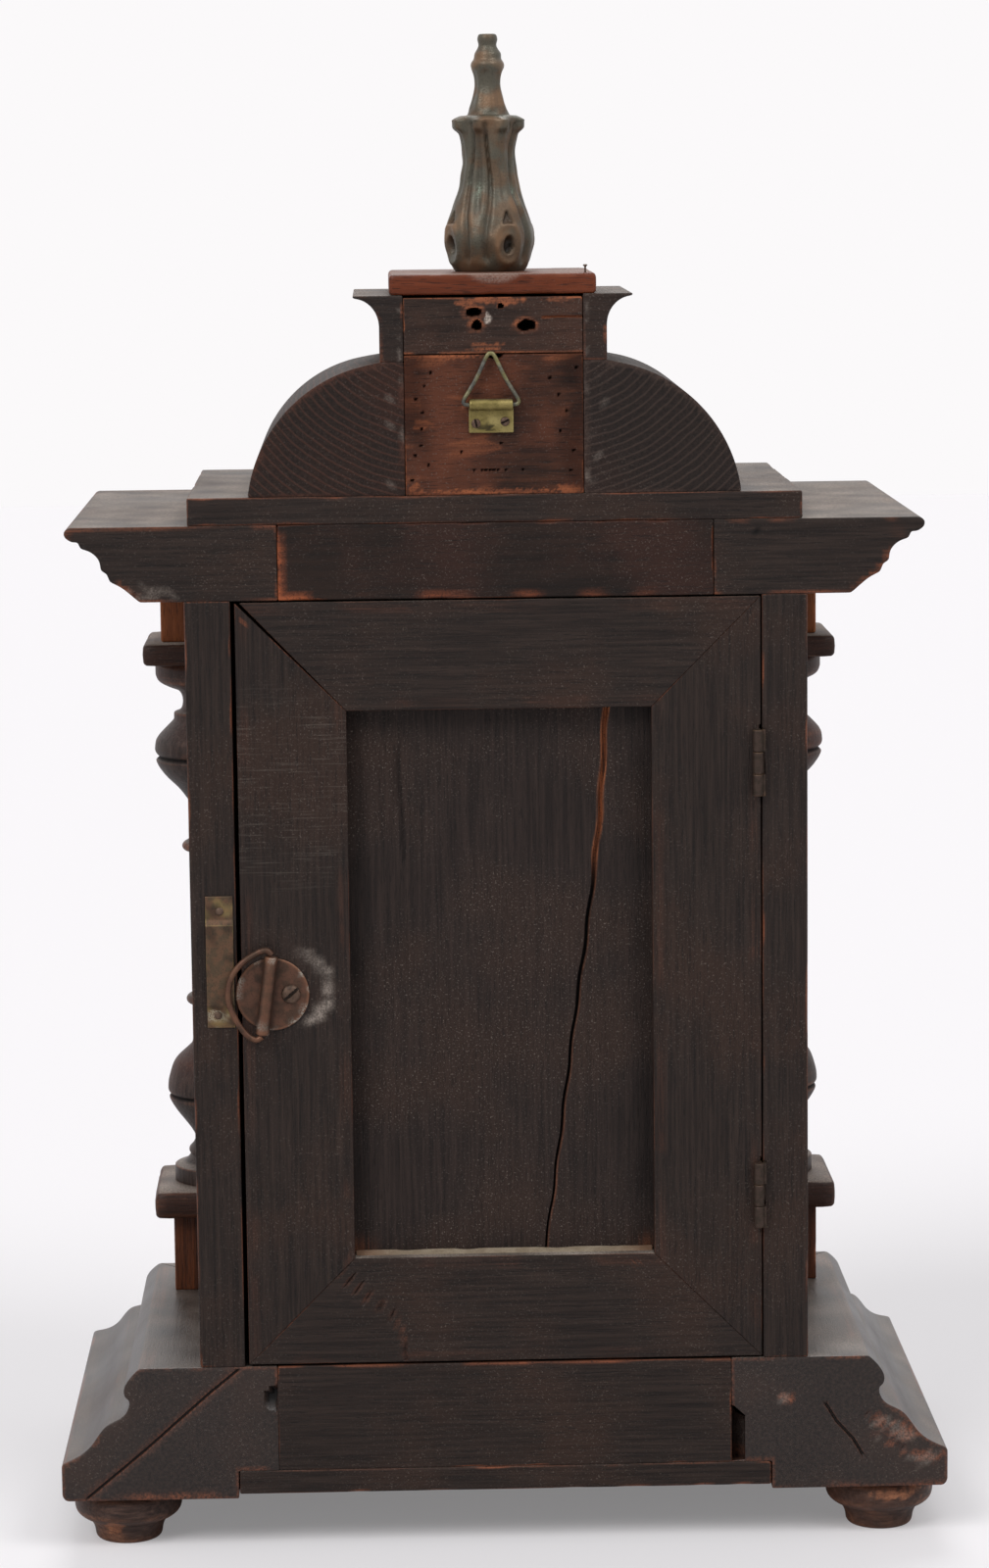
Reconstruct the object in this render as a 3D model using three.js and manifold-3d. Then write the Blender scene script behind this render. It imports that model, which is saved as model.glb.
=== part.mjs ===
// Bracket clock: a dark-stained wooden case on a moulded base, with a domed crown, a cast finial,
// a glazed front door between two turned columns, a panelled rear door and a spring-driven movement.
// Millimetres, +Z up. The dial faces -Y and the rear door faces +Y; left and right are seen from the front.
import * as THREE from "three";
import { RoundedBoxGeometry } from "three/addons/geometries/RoundedBoxGeometry.js";
import { mergeVertices } from "three/addons/utils/BufferGeometryUtils.js";
import Module from "manifold-3d";

// ---------------------------------------------------------------- driving dimensions

const TOUCH_GAP = 0.3; // between pieces that are cut to one another
const SLIP_GAP = 0.15; // between boards fitted edge to edge
const LAP = 0.5; // depth to which solids of one piece run into one another

// Case carcass. Depths are measured forward from the back plane of the case.
const FOOT_HEIGHT = 17;
const FOOT_RADIUS = 17;
const FOOT_INSET = 19.5; // foot centre from the outer faces of the base
const BASE_HALF_WIDTH = 139;
const BASE_DEPTH = 155;
const BASE_HEIGHT = 42.5;
const BASE_BLOCK = 68; // how far the base blocks run in from the outer face
const BOTTOM_BOARD = 7.5;
const BOTTOM_BOARD_LIFT = 1.4;
const BOTTOM_REBATE = 12.7;
const RAIL_THICKNESS = 15;
const CHIP_WIDTH = 4.2; // broken corner of the left base block, beside the rail
const CHIP_HEIGHT = 15;
const CHIP_DEPTH = 5;
const SIDE_HALF_WIDTH = 95;
const SIDE_THICKNESS = 14;
const SIDE_HEIGHT = 240;
const SIDE_DEPTH = 88;

// Cornice, dome and crown.
const CORNICE_HALF_WIDTH = 131;
const CORNICE_DEPTH = 147.5;
const CORNICE_HEIGHT = 23;
const CORNICE_BLOCK = 64.5;
const CORNICE_BOARD = 8.5;
const CORNICE_BOARD_HALF_WIDTH = 93.5;
const CORNICE_BOARD_DEPTH = 118.5;
const DOME_HALF_WIDTH = 75;
const DOME_DEPTH = 100;
const DOME_ROUND = 45.8; // radius of the quarter-round
const DOME_HEIGHT = 40.3;
const CROWN_HALF_WIDTH = 27.2; // clear width between the dome blocks, halved
const CROWN_BOARD = 12;
const CROWN_SPLIT = 42.3; // height of the lower crown board
const NECK_HALF_WIDTH = 34.4;
const NECK_HEIGHT = 20;
const CAVETTO_OVERHANG = 7.9;
const CAVETTO_HEIGHT = 9.4;
const CAVETTO_EDGE = 0.8;
const CAP_HALF_WIDTH = 31.3;
const CAP_THICKNESS = 6.2;
const CAP_ROUND = 1.6;
const CROWN_DROP = 0.8; // the upper crown board stops this far below the cap

// Columns, pedestals and capitals in front of the side boards.
const COLUMN_INSET = 3; // column axes inside the outer faces of the side boards
const BLOCK_SIZE = 30;
const SLAB_SIZE = 42;
const PEDESTAL_BLOCK_HEIGHT = 25.4;
const PEDESTAL_SLAB_HEIGHT = 9.3;
const CAPITAL_BLOCK_HEIGHT = 22.8;
const CAPITAL_SLAB_HEIGHT = 7.5;
const SLAB_ROUND = 2.6;

// Rear door with its hinges and its latch.
const DOOR_GAP_HINGE = 0.4;
const DOOR_GAP_LATCH = 1.3;
const DOOR_GAP_BOTTOM = 0.7;
const DOOR_GAP_TOP = 0.6;
const DOOR_MEMBER = 33.5;
const DOOR_THICKNESS = 14;
const PANEL_RECESS = 6.5;
const PANEL_THICKNESS = 4;
const PANEL_REBATE = 7;
const MITRE_OPENING = 1.5; // the shrunken joint at the top of the latch stile
const HINGE_LENGTH = 20.6;
const HINGE_FROM_TOP = 51.1; // middle of the upper hinge below the top of the door
const HINGE_FROM_BOTTOM = 51.9;
const HINGE_BARREL = 1.7;
const HINGE_PIN = 0.65;
const HINGE_PIN_OUT = 1.9; // pin centre behind the back plane
const HINGE_PIN_IN = 1.4; // pin centre inside the face of the left side board
const LEAF_THICKNESS = 0.9;
const LEAF_DEPTH = 10;
const TURN_RADIUS = 11.4;
const TURN_THROW = 5.65; // from the screw to the centre of the turn plate
const TURN_SHEET = 0.7;
const TURN_SCREW_INSET = 15.1; // from the latch edge of the door
const TURN_RISE = 117.7; // latch screw above the bottom of the door
const RIB_RADIUS = 2.15;
const RIB_LENGTH = 24.6;
const RIB_OFFSET = 1.7; // rib axis beyond the centre of the plate
const RIB_TILT = -0.13;
const RING_WIRE = 1;
const RING_REACH = 11.6;
const SCREW_HEAD = 3.1;
const SCREW_SHANK = 1.3;
const SCREW_LENGTH = 10;
const KEEPER_WIDTH = 8.4;
const KEEPER_LENGTH = 41.3;
const KEEPER_DROP = 10.4; // lower end of the keeper below the latch screw
const KEEPER_SHEET = 0.6;
const KEEPER_RISE = 1.2;
const KEEPER_REACH_GAP = 0.35; // between the rim of the turn plate and the keeper

// Hanging plate and ring on the lower crown board.
const HANGER_X = 0.9;
const HANGER_RISE = 18.7; // above the cornice board
const HANGER_WIDTH = 13.6;
const HANGER_HEIGHT = 7.1;
const HANGER_SHEET = 1;
const HANGER_ROLL = 1.9;
const HANGER_WIRE = 0.75;
const HANGER_RING_WIDTH = 17.8;
const HANGER_RING_RISE = 16;

// Front door and dial.
const FRONT_GAP = 1; // at the sides of the front door
const FRONT_GAP_ENDS = 0.6; // above and below it
const FRONT_MEMBER = 17;
const FRONT_THICKNESS = 13;
const FRONT_STAND = 0.4; // between the side boards and the closed front door
const GLASS_THICKNESS = 2;
const GLASS_REBATE = 4;
const DIAL_DROP = 77.5; // dial centre below the cornice
const DIAL_RADIUS = 50;
const DIAL_THICKNESS = 1.2;
const MASK_THICKNESS = 6;
const MASK_SETBACK = 8; // from the front edges of the side boards
const MASK_HOLE = 32;

// Movement: two plates, a going train and a pendulum behind the back plate.
const PLATE_THICKNESS = 2;
const PLATE_HALF_WIDTH = 38;
const PLATE_BOTTOM = -67; // below the dial centre
const PLATE_TOP = 50;
const PLATE_SPACE = 34;
const PLATE_TO_MASK = 6;
const PILLAR_RADIUS = 3;
const PILLAR_INSET = 5;
const ARBOR_RADIUS = 1.1;
const PIVOT_RADIUS = 0.6;
const END_SHAKE = 0.4; // between the shoulders of an arbor and the plates
const PIVOT_INSET = 0.3; // ends of the pivots inside the outer faces of the plates
const BARREL_TEETH = 72;
const CENTRE_LEAVES = 8;
const BARREL_MODULE = 0.82;
const CENTRE_TEETH = 72;
const THIRD_LEAVES = 6;
const CENTRE_MODULE = 0.58;
const THIRD_TEETH = 66;
const ESCAPE_LEAVES = 6;
const THIRD_MODULE = 0.52;
const ESCAPE_TEETH = 34;
const ESCAPE_RADIUS = 13;
const CANNON_LEAVES = 12;
const MINUTE_TEETH = 36;
const MINUTE_LEAVES = 10;
const HOUR_TEETH = 40;
const MOTION_DISTANCE = 12;
const BARREL_DRUM = 26;
const WINDING_RADIUS = 3;
const WINDING_SQUARE = 4;
const KEY_HOLE = 4.5; // radius of the holes for the key in the dial and the mask
const PALLET_CLEARANCE = 1.6; // pallet tips stand this far outside the escape wheel
const PALLET_BORE = 2.5; // hole in the back plate and the cock for the pallet arbor
const CRUTCH_LENGTH = 34;
const CRUTCH_SHEET = 1.2;
const PENDULUM_LENGTH = 165;
const PENDULUM_BACK = 22; // depth of the pendulum rod
const PENDULUM_ROD = 1.2;
const BOB_RADIUS = 20;
const BOB_THICKNESS = 9;
const NUT_RADIUS = 3.6;
const NUT_HEIGHT = 3;
const HOUR_PIPE = 4; // outer radius of the hour wheel's pipe
const MINUTE_ARBOR = 1.6;
const CANNON_RADIUS = 2.2;
const STUD_RADIUS = 1.2;
const HOUR_HAND = { length: 30, eye: 6.4, width: 3.4 };
const MINUTE_HAND = { length: 43, eye: 3.8, width: 2.4 };
const HAND_THICKNESS = 0.8;
const HOUR_AT_REST = 304; // degrees clockwise from twelve
const MINUTE_AT_REST = 48;

// Round pieces are cut to these numbers of sides.
const SIDES_LARGE = 36;
const SIDES_MEDIUM = 16;
const SIDES_SMALL = 10;
const ARC_STEPS = 9;
const CAVETTO_STEPS = 6;

// ---------------------------------------------------------------- derived places

const RIB_OUT = TOUCH_GAP + TURN_SHEET + RIB_RADIUS; // rib axis behind the back plane
const HARDWARE_OUT = RIB_OUT + RIB_RADIUS;
const BACK_Y = (BASE_DEPTH - HARDWARE_OUT) / 2;
const BASE_TOP = FOOT_HEIGHT + BASE_HEIGHT;
const SIDE_INNER = SIDE_HALF_WIDTH - SIDE_THICKNESS;
const CORNICE_Z = BASE_TOP + SIDE_HEIGHT;
const CORNICE_TOP = CORNICE_Z + CORNICE_HEIGHT;
const DOME_Z = CORNICE_TOP + CORNICE_BOARD;
const NECK_Z = DOME_Z + DOME_HEIGHT;
const CAP_Z = NECK_Z + NECK_HEIGHT;
const FINIAL_Z = CAP_Z + CAP_THICKNESS;
const NECK_DEPTH = DOME_DEPTH - (DOME_HALF_WIDTH - NECK_HALF_WIDTH);
const COLUMN_X = SIDE_HALF_WIDTH - COLUMN_INSET;
const COLUMN_DEPTH = SIDE_DEPTH + SLAB_SIZE / 2;
const DIAL_Z = CORNICE_Z - DIAL_DROP;
const HANGER_Z = DOME_Z + HANGER_RISE;
const BOARD_TOP = FOOT_HEIGHT + BOTTOM_BOARD_LIFT + BOTTOM_BOARD;

const depthY = (depth) => BACK_Y - depth;

// ---------------------------------------------------------------- finishes

function finish(color, roughness, metalness = 0) {
  return new THREE.MeshStandardMaterial({ color, roughness, metalness });
}

const EBONISED = finish("#2b2422", 0.55);
const WALNUT = finish("#5a3018", 0.5);
const MAHOGANY = finish("#6b2f1a", 0.5);
const BOARD_BROWN = finish("#4a2a1e", 0.7);
const BRONZE = finish("#4b4230", 0.5, 0.8);
const BRASS = finish("#9a7f45", 0.4, 1);
const TARNISHED = finish("#6f6247", 0.5, 1);
const STEEL = finish("#6d6f72", 0.35, 1);
const ZINC = finish("#8a8a80", 0.5, 1);
const GLASS = new THREE.MeshStandardMaterial({
  color: "#dfe8ea",
  roughness: 0.05,
  metalness: 0,
  transparent: true,
  opacity: 0.25,
});
const ENAMEL = finish("#efe9da", 0.3);
const BLUED = finish("#1d2330", 0.35, 1);

// ---------------------------------------------------------------- solids

const wasm = await Module();
wasm.setup();

// Welds a geometry, drops its empty triangles and turns its faces outward.
function closed(geometry) {
  const bare = new THREE.BufferGeometry();
  bare.setAttribute("position", geometry.getAttribute("position"));
  bare.setIndex(geometry.getIndex());
  const welded = mergeVertices(bare);
  const index = welded.getIndex().array;
  const position = welded.getAttribute("position");
  const kept = [];
  let volume = 0;
  const [a, b, c] = [new THREE.Vector3(), new THREE.Vector3(), new THREE.Vector3()];
  for (let i = 0; i < index.length; i += 3) {
    const [p, q, r] = [index[i], index[i + 1], index[i + 2]];
    if (p !== q && q !== r && r !== p) {
      kept.push([p, q, r]);
      a.fromBufferAttribute(position, p);
      b.fromBufferAttribute(position, q);
      c.fromBufferAttribute(position, r);
      volume += a.dot(b.cross(c));
    }
  }
  const turned = kept.map(([p, q, r]) => (volume < 0 ? [p, r, q] : [p, q, r]));
  welded.setIndex(turned.flat());
  return welded;
}

function toManifold(geometry) {
  const welded = closed(geometry);
  return new wasm.Manifold(
    new wasm.Mesh({
      numProp: 3,
      vertProperties: new Float32Array(welded.getAttribute("position").array),
      triVerts: new Uint32Array(welded.getIndex().array),
    }),
  );
}

function toGeometry(manifold) {
  const mesh = manifold.getMesh();
  const geometry = new THREE.BufferGeometry();
  geometry.setAttribute("position", new THREE.BufferAttribute(mesh.vertProperties, mesh.numProp));
  geometry.setIndex(new THREE.BufferAttribute(mesh.triVerts, 1));
  return geometry;
}

function join(...pieces) {
  return toGeometry(pieces.map(toManifold).reduce((whole, piece) => whole.add(piece)));
}

function cut(stock, ...tools) {
  return toGeometry(tools.map(toManifold).reduce((left, tool) => left.subtract(tool), toManifold(stock)));
}

// A box between two corners given as [x, depth, z].
function box([x0, depth0, z0], [x1, depth1, z1]) {
  const geometry = new THREE.BoxGeometry(x1 - x0, depth1 - depth0, z1 - z0);
  return geometry.translate((x0 + x1) / 2, depthY((depth0 + depth1) / 2), (z0 + z1) / 2);
}

// A flat piece drawn as a shape in x and z, running from one depth to another.
function slab(shape, from, to) {
  const options = { depth: to - from, bevelEnabled: false };
  return new THREE.ExtrudeGeometry(shape, options).rotateX(Math.PI / 2).translate(0, depthY(from), 0);
}

// A round bar along the depth of the clock.
function bar(radius, from, to, x, z, sides = SIDES_SMALL) {
  const geometry = new THREE.CylinderGeometry(radius, radius, to - from, sides);
  return geometry.translate(x, depthY((from + to) / 2), z);
}

// A turned piece on a vertical axis; its profile is [radius, height] and starts and ends on the axis.
function turned(profile, x, depth, z, sides = SIDES_MEDIUM) {
  const points = profile.map(([radius, height]) => new THREE.Vector2(radius, height));
  return new THREE.LatheGeometry(points, sides).rotateX(Math.PI / 2).translate(x, depthY(depth), z);
}

function outlineShape(points, holes = []) {
  const shape = new THREE.Shape(points.map(([x, z]) => new THREE.Vector2(x, z)));
  holes.forEach((hole) => shape.holes.push(new THREE.Path(hole.map(([x, z]) => new THREE.Vector2(x, z)))));
  return shape;
}

function circlePoints(radius, x, z, sides, stretch = 1) {
  return Array.from({ length: sides }, (_, i) => {
    const angle = (i / sides) * 2 * Math.PI;
    return [x + radius * Math.cos(angle), z + radius * stretch * Math.sin(angle)];
  });
}

// Carries a closed outline through stations; a station turns an outline point into [x, depth, z].
function sweep(outline, stations, ring = false) {
  const flat = outline.map(([u, v]) => new THREE.Vector2(u, v));
  const points = THREE.ShapeUtils.isClockWise(flat) ? flat.reverse() : flat;
  const size = points.length;
  const corners = stations.flatMap((station) => points.map((point) => station(point.x, point.y)));
  const faces = [];
  const spans = ring ? stations.length : stations.length - 1;
  for (let span = 0; span < spans; span += 1) {
    const near = span * size;
    const far = ((span + 1) % stations.length) * size;
    for (let i = 0; i < size; i += 1) {
      const next = (i + 1) % size;
      faces.push([near + i, near + next, far + next], [near + i, far + next, far + i]);
    }
  }
  if (!ring) {
    const last = (stations.length - 1) * size;
    THREE.ShapeUtils.triangulateShape(points, []).forEach(([a, b, c]) => {
      const clockwise = THREE.ShapeUtils.isClockWise([points[a], points[b], points[c]]);
      const [p, q, r] = clockwise ? [a, c, b] : [a, b, c];
      faces.push([p, r, q], [last + p, last + q, last + r]);
    });
  }
  const geometry = new THREE.BufferGeometry();
  const position = corners.flatMap(([x, depth, z]) => [x, depthY(depth), z]);
  geometry.setAttribute("position", new THREE.Float32BufferAttribute(position, 3));
  geometry.setIndex(faces.flat());
  return geometry;
}

// A round wire along a smooth path of [x, depth, z] points.
function wire(points, radius, steps, sides = SIDES_SMALL, tension = 0.5) {
  const path = new THREE.CatmullRomCurve3(
    points.map(([x, depth, z]) => new THREE.Vector3(x, depthY(depth), z)),
    false,
    "catmullrom",
    tension,
  );
  const section = outlineShape(circlePoints(radius, 0, 0, sides));
  return new THREE.ExtrudeGeometry(section, { steps, extrudePath: path, bevelEnabled: false });
}

const clock = new THREE.Group();
clock.name = "bracket_clock";

function add(name, geometry, material) {
  const mesh = new THREE.Mesh(closed(geometry), material);
  mesh.name = name;
  clock.add(mesh);
}

// ---------------------------------------------------------------- base and feet

// Outlines of the mouldings are [inset from the outermost face, rise].
const baseOutline = [
  [1.6, 0],
  [0, 1.8],
  [0, 11.6],
  [0.6, 12.5],
  [3, 13.2],
  [6.4, 15.2],
  [9.5, 18],
  [12, 21.6],
  [14.5, 24.4],
  [18.8, 26.6],
  [20.8, 28.6],
  [21.6, 30.9],
  [21.6, 32.2],
  [20.3, 33.4],
  [20.1, 36.6],
  [22.2, 39.6],
  [24.9, BASE_HEIGHT],
  [BASE_BLOCK, BASE_HEIGHT],
  [BASE_BLOCK, BOTTOM_BOARD_LIFT + BOTTOM_BOARD],
  [BASE_BLOCK - BOTTOM_REBATE, BOTTOM_BOARD_LIFT + BOTTOM_BOARD],
  [BASE_BLOCK - BOTTOM_REBATE, 0],
];

// Stations of a moulding that turns round the case with mitred front corners.
function mouldingStations(halfWidth, depth, bottom) {
  return [
    (inset, rise) => [-(halfWidth - inset), 0, bottom + rise],
    (inset, rise) => [-(halfWidth - inset), depth - inset, bottom + rise],
    (inset, rise) => [halfWidth - inset, depth - inset, bottom + rise],
    (inset, rise) => [halfWidth - inset, 0, bottom + rise],
  ];
}

function addBase() {
  const stations = mouldingStations(BASE_HALF_WIDTH, BASE_DEPTH, FOOT_HEIGHT);
  const [backLeft, frontLeft, frontRight, backRight] = stations;
  const inner = BASE_HALF_WIDTH - BASE_BLOCK;
  const chipLow = [-inner - CHIP_WIDTH, -1, BOARD_TOP + 0.2];
  const chip = box(chipLow, [-inner + 1, CHIP_DEPTH, BOARD_TOP + CHIP_HEIGHT]);
  add("base_moulding_left", cut(sweep(baseOutline, [backLeft, frontLeft]), chip), EBONISED);
  add("base_moulding_right", sweep(baseOutline, [frontRight, backRight]), EBONISED);
  add("base_moulding_front", sweep(baseOutline, [frontLeft, frontRight]), EBONISED);
  add("base_back_rail", box([-inner, 0, BOARD_TOP], [inner, RAIL_THICKNESS, BASE_TOP]), EBONISED);
  const boardHalf = inner + BOTTOM_REBATE - TOUCH_GAP;
  const boardFront = BASE_DEPTH - BASE_BLOCK + BOTTOM_REBATE - TOUCH_GAP;
  const boardBottom = FOOT_HEIGHT + BOTTOM_BOARD_LIFT;
  add("bottom_board", box([-boardHalf, 0, boardBottom], [boardHalf, boardFront, BOARD_TOP]), BOARD_BROWN);
}

function addFeet() {
  const profile = [
    [0, 0],
    [0.64, 0],
    [0.6, 0.22],
    [0.72, 0.38],
    [0.97, 0.48],
    [1, 0.78],
    [0.82, 1],
    [0, 1],
  ].map(([radius, height]) => [radius * FOOT_RADIUS, height * FOOT_HEIGHT]);
  const x = BASE_HALF_WIDTH - FOOT_INSET;
  const places = {
    foot_back_left: [-x, FOOT_INSET],
    foot_back_right: [x, FOOT_INSET],
    foot_front_left: [-x, BASE_DEPTH - FOOT_INSET],
    foot_front_right: [x, BASE_DEPTH - FOOT_INSET],
  };
  Object.entries(places).forEach(([name, [footX, depth]]) => {
    add(name, turned(profile, footX, depth, 0, SIDES_MEDIUM), EBONISED);
  });
}

// ---------------------------------------------------------------- carcass, cornice and crown

const doorLeft = -SIDE_INNER + DOOR_GAP_HINGE;
const doorRight = SIDE_INNER - DOOR_GAP_LATCH;
const doorBottom = BASE_TOP + DOOR_GAP_BOTTOM;
const doorTop = CORNICE_Z - DOOR_GAP_TOP;
const hingeHeights = { upper: doorTop - HINGE_FROM_TOP, lower: doorBottom + HINGE_FROM_BOTTOM };
const turnHeight = doorBottom + TURN_RISE;

// The shallow recess that takes a hinge leaf, wall being the face that it is let into.
function leafRecess(wall, sign, middle) {
  const half = HINGE_LENGTH / 2 + SLIP_GAP;
  const bottom = LEAF_THICKNESS + SLIP_GAP;
  const [x0, x1] = sign < 0 ? [wall - bottom, wall + 1] : [wall - 1, wall + bottom];
  return box([x0, -1, middle - half], [x1, LEAF_DEPTH + SLIP_GAP, middle + half]);
}

function addSides() {
  const recesses = Object.values(hingeHeights).map((middle) => leafRecess(-SIDE_INNER, -1, middle));
  const left = box([-SIDE_HALF_WIDTH, 0, BASE_TOP], [-SIDE_INNER, SIDE_DEPTH, CORNICE_Z]);
  const right = box([SIDE_INNER, 0, BASE_TOP], [SIDE_HALF_WIDTH, SIDE_DEPTH, CORNICE_Z]);
  add("side_board_left", cut(left, ...recesses), EBONISED);
  add("side_board_right", right, EBONISED);
}

const corniceOutline = [
  [22.6, 0],
  [20, 2.3],
  [17, 4.7],
  [13.8, 6.3],
  [12.8, 8.8],
  [11, 9.9],
  [10.8, 12.4],
  [9.6, 14.3],
  [7.6, 15.8],
  [5.1, 16.5],
  [4.3, 18.5],
  [2.4, 18.6],
  [0.5, 19.8],
  [0, 21.2],
  [0.6, 22.5],
  [1.9, CORNICE_HEIGHT],
  [CORNICE_BLOCK, CORNICE_HEIGHT],
  [CORNICE_BLOCK, 0],
];

function addCornice() {
  const stations = mouldingStations(CORNICE_HALF_WIDTH, CORNICE_DEPTH, CORNICE_Z);
  add("cornice_moulding", sweep(corniceOutline, stations), EBONISED);
  const railHalf = CORNICE_HALF_WIDTH - CORNICE_BLOCK - SLIP_GAP;
  add("back_top_rail", box([-railHalf, 0, CORNICE_Z], [railHalf, RAIL_THICKNESS, CORNICE_TOP]), EBONISED);
  const half = CORNICE_BOARD_HALF_WIDTH;
  add("cornice_board", box([-half, 0, CORNICE_TOP], [half, CORNICE_BOARD_DEPTH, DOME_Z]), EBONISED);
}

function domeOutline() {
  const centre = DOME_HALF_WIDTH - Math.sqrt(DOME_ROUND ** 2 - (DOME_ROUND - DOME_HEIGHT) ** 2);
  const drop = DOME_ROUND - DOME_HEIGHT;
  const start = Math.asin(drop / DOME_ROUND);
  const stop = Math.acos((NECK_HALF_WIDTH - centre) / DOME_ROUND);
  const arc = Array.from({ length: ARC_STEPS + 1 }, (_, i) => {
    const angle = start + ((stop - start) * i) / ARC_STEPS;
    const x = centre + DOME_ROUND * Math.cos(angle);
    return [DOME_HALF_WIDTH - x, DOME_ROUND * Math.sin(angle) - drop];
  });
  const shoulder = arc[arc.length - 1];
  const inner = DOME_HALF_WIDTH - CROWN_HALF_WIDTH;
  return [...arc.slice(0, -1), [shoulder[0], DOME_HEIGHT], [inner, DOME_HEIGHT], [inner, 0]];
}

function capOutline() {
  const straight = NECK_HEIGHT - CAVETTO_HEIGHT;
  const hollow = CAVETTO_HEIGHT - CAVETTO_EDGE;
  const cavetto = Array.from({ length: CAVETTO_STEPS + 1 }, (_, i) => {
    const angle = ((i / CAVETTO_STEPS) * Math.PI) / 2;
    return [CAVETTO_OVERHANG * Math.cos(angle), straight + hollow * Math.sin(angle)];
  });
  const inner = NECK_HALF_WIDTH + CAVETTO_OVERHANG - CROWN_HALF_WIDTH;
  return [[CAVETTO_OVERHANG, 0], ...cavetto, [0, NECK_HEIGHT], [inner, NECK_HEIGHT], [inner, 0]];
}

// Torn nail and screw holes in the upper crown board: [x, z below the cap, half width, half height].
const tornHoles = [
  [5.9, 5.3, 2.2, 1.4],
  [5.1, 9.4, 1.8, 1.3],
  [-10, 9.4, 2.4, 1.7],
];

function addCrown() {
  const domeStations = mouldingStations(DOME_HALF_WIDTH, DOME_DEPTH, DOME_Z);
  add("dome_moulding", sweep(domeOutline(), domeStations), EBONISED);
  const capHalf = NECK_HALF_WIDTH + CAVETTO_OVERHANG;
  const capStations = mouldingStations(capHalf, NECK_DEPTH + CAVETTO_OVERHANG, NECK_Z);
  add("cap_moulding", sweep(capOutline(), capStations), EBONISED);
  const half = CROWN_HALF_WIDTH - SLIP_GAP;
  const split = DOME_Z + CROWN_SPLIT;
  add("crown_board_lower", box([-half, 0, DOME_Z], [half, CROWN_BOARD, split]), BOARD_BROWN);
  const [low, high] = [split + TOUCH_GAP, CAP_Z - CROWN_DROP];
  const frame = [
    [-half, low],
    [half, low],
    [half, high],
    [-half, high],
  ];
  const holes = tornHoles.map(([x, below, w, h]) => circlePoints(w, x, CAP_Z - below, 8, h / w));
  add("crown_board_upper", slab(outlineShape(frame, holes), 0, CROWN_BOARD), BOARD_BROWN);
  const capDepth = NECK_DEPTH - (NECK_HALF_WIDTH - CAP_HALF_WIDTH);
  const cap = new RoundedBoxGeometry(2 * CAP_HALF_WIDTH, capDepth, CAP_THICKNESS, 2, CAP_ROUND);
  add("cap_board", cap.translate(0, depthY(capDepth / 2), CAP_Z + CAP_THICKNESS / 2), MAHOGANY);
}

function addFinial() {
  const profile = [
    [0, 0],
    [11.2, 0],
    [13.3, 5.2],
    [14.1, 10.2],
    [13.4, 15.4],
    [10.6, 23.5],
    [9.2, 31],
    [8.8, 38.5],
    [10, 45],
    [9.2, 46.6],
    [6.1, 47.4],
    [4.6, 52.4],
    [3.95, 57.5],
    [5, 63],
    [3.1, 66.6],
    [2.7, 69.8],
    [0, 72],
  ];
  add("finial", turned(profile, 0, NECK_DEPTH / 2, FINIAL_Z, SIDES_MEDIUM), BRONZE);
}

// ---------------------------------------------------------------- columns

function squareBlock(size, bottom, top, x) {
  const half = size / 2;
  return box([x - half, COLUMN_DEPTH - half, bottom], [x + half, COLUMN_DEPTH + half, top]);
}

function roundedSlab(bottom, top, x) {
  const slabBox = new RoundedBoxGeometry(SLAB_SIZE, SLAB_SIZE, top - bottom, 1, SLAB_ROUND);
  return slabBox.translate(x, depthY(COLUMN_DEPTH), (bottom + top) / 2);
}

const PEDESTAL_TOP = BASE_TOP + PEDESTAL_BLOCK_HEIGHT + PEDESTAL_SLAB_HEIGHT;
const CAPITAL_BOTTOM = CORNICE_Z - CAPITAL_BLOCK_HEIGHT - CAPITAL_SLAB_HEIGHT;

// Radii of the turning against height; the foot seats on the pedestal and the top stops at the capital.
const columnTurning = [
  [14.9, 0],
  [14.9, 5.2],
  [9.4, 8.6],
  [10.2, 10.6],
  [7.8, 14.4],
  [14, 24],
  [16.4, 28.6],
  [15.3, 29.3],
  [16.6, 30.2],
  [16.4, 34.6],
  [14.2, 40.6],
  [8.2, 46.4],
  [7.4, 59.4],
  [10, 61.4],
  [7.4, 63.6],
  [7, 87],
  [7.4, 110.8],
  [10.4, 113],
  [7.8, 115.2],
  [7.8, 128.4],
  [11, 132.6],
  [17, 139.4],
  [18.4, 142],
  [17, 143.4],
  [18.5, 145],
  [17.4, 149.8],
  [12, 155.4],
  [12, 157.8],
  [9, 160.6],
  [9, 162.8],
  [13.6, 166.4],
  [17.8, 170.4],
  [17.8, 173.2],
  [16.4, 175],
];

function addColumns() {
  const height = CAPITAL_BOTTOM - PEDESTAL_TOP;
  const drawn = columnTurning[columnTurning.length - 1][1];
  const turning = columnTurning.map(([radius, rise]) => [radius, (rise * height) / drawn]);
  const profile = [[0, 0], ...turning, [0, height]];
  Object.entries({ left: -COLUMN_X, right: COLUMN_X }).forEach(([side, x]) => {
    const slabBottom = BASE_TOP + PEDESTAL_BLOCK_HEIGHT;
    const pedestalBlock = squareBlock(BLOCK_SIZE, BASE_TOP, slabBottom + 0.5, x);
    add(`pedestal_${side}`, join(pedestalBlock, roundedSlab(slabBottom, PEDESTAL_TOP, x)), WALNUT);
    add(`column_${side}`, turned(profile, x, COLUMN_DEPTH, PEDESTAL_TOP), EBONISED);
    const slabTop = CAPITAL_BOTTOM + CAPITAL_SLAB_HEIGHT;
    const capitalBlock = squareBlock(BLOCK_SIZE, slabTop - 0.5, CORNICE_Z, x);
    add(`capital_${side}`, join(roundedSlab(CAPITAL_BOTTOM, slabTop, x), capitalBlock), WALNUT);
  });
}

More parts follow.
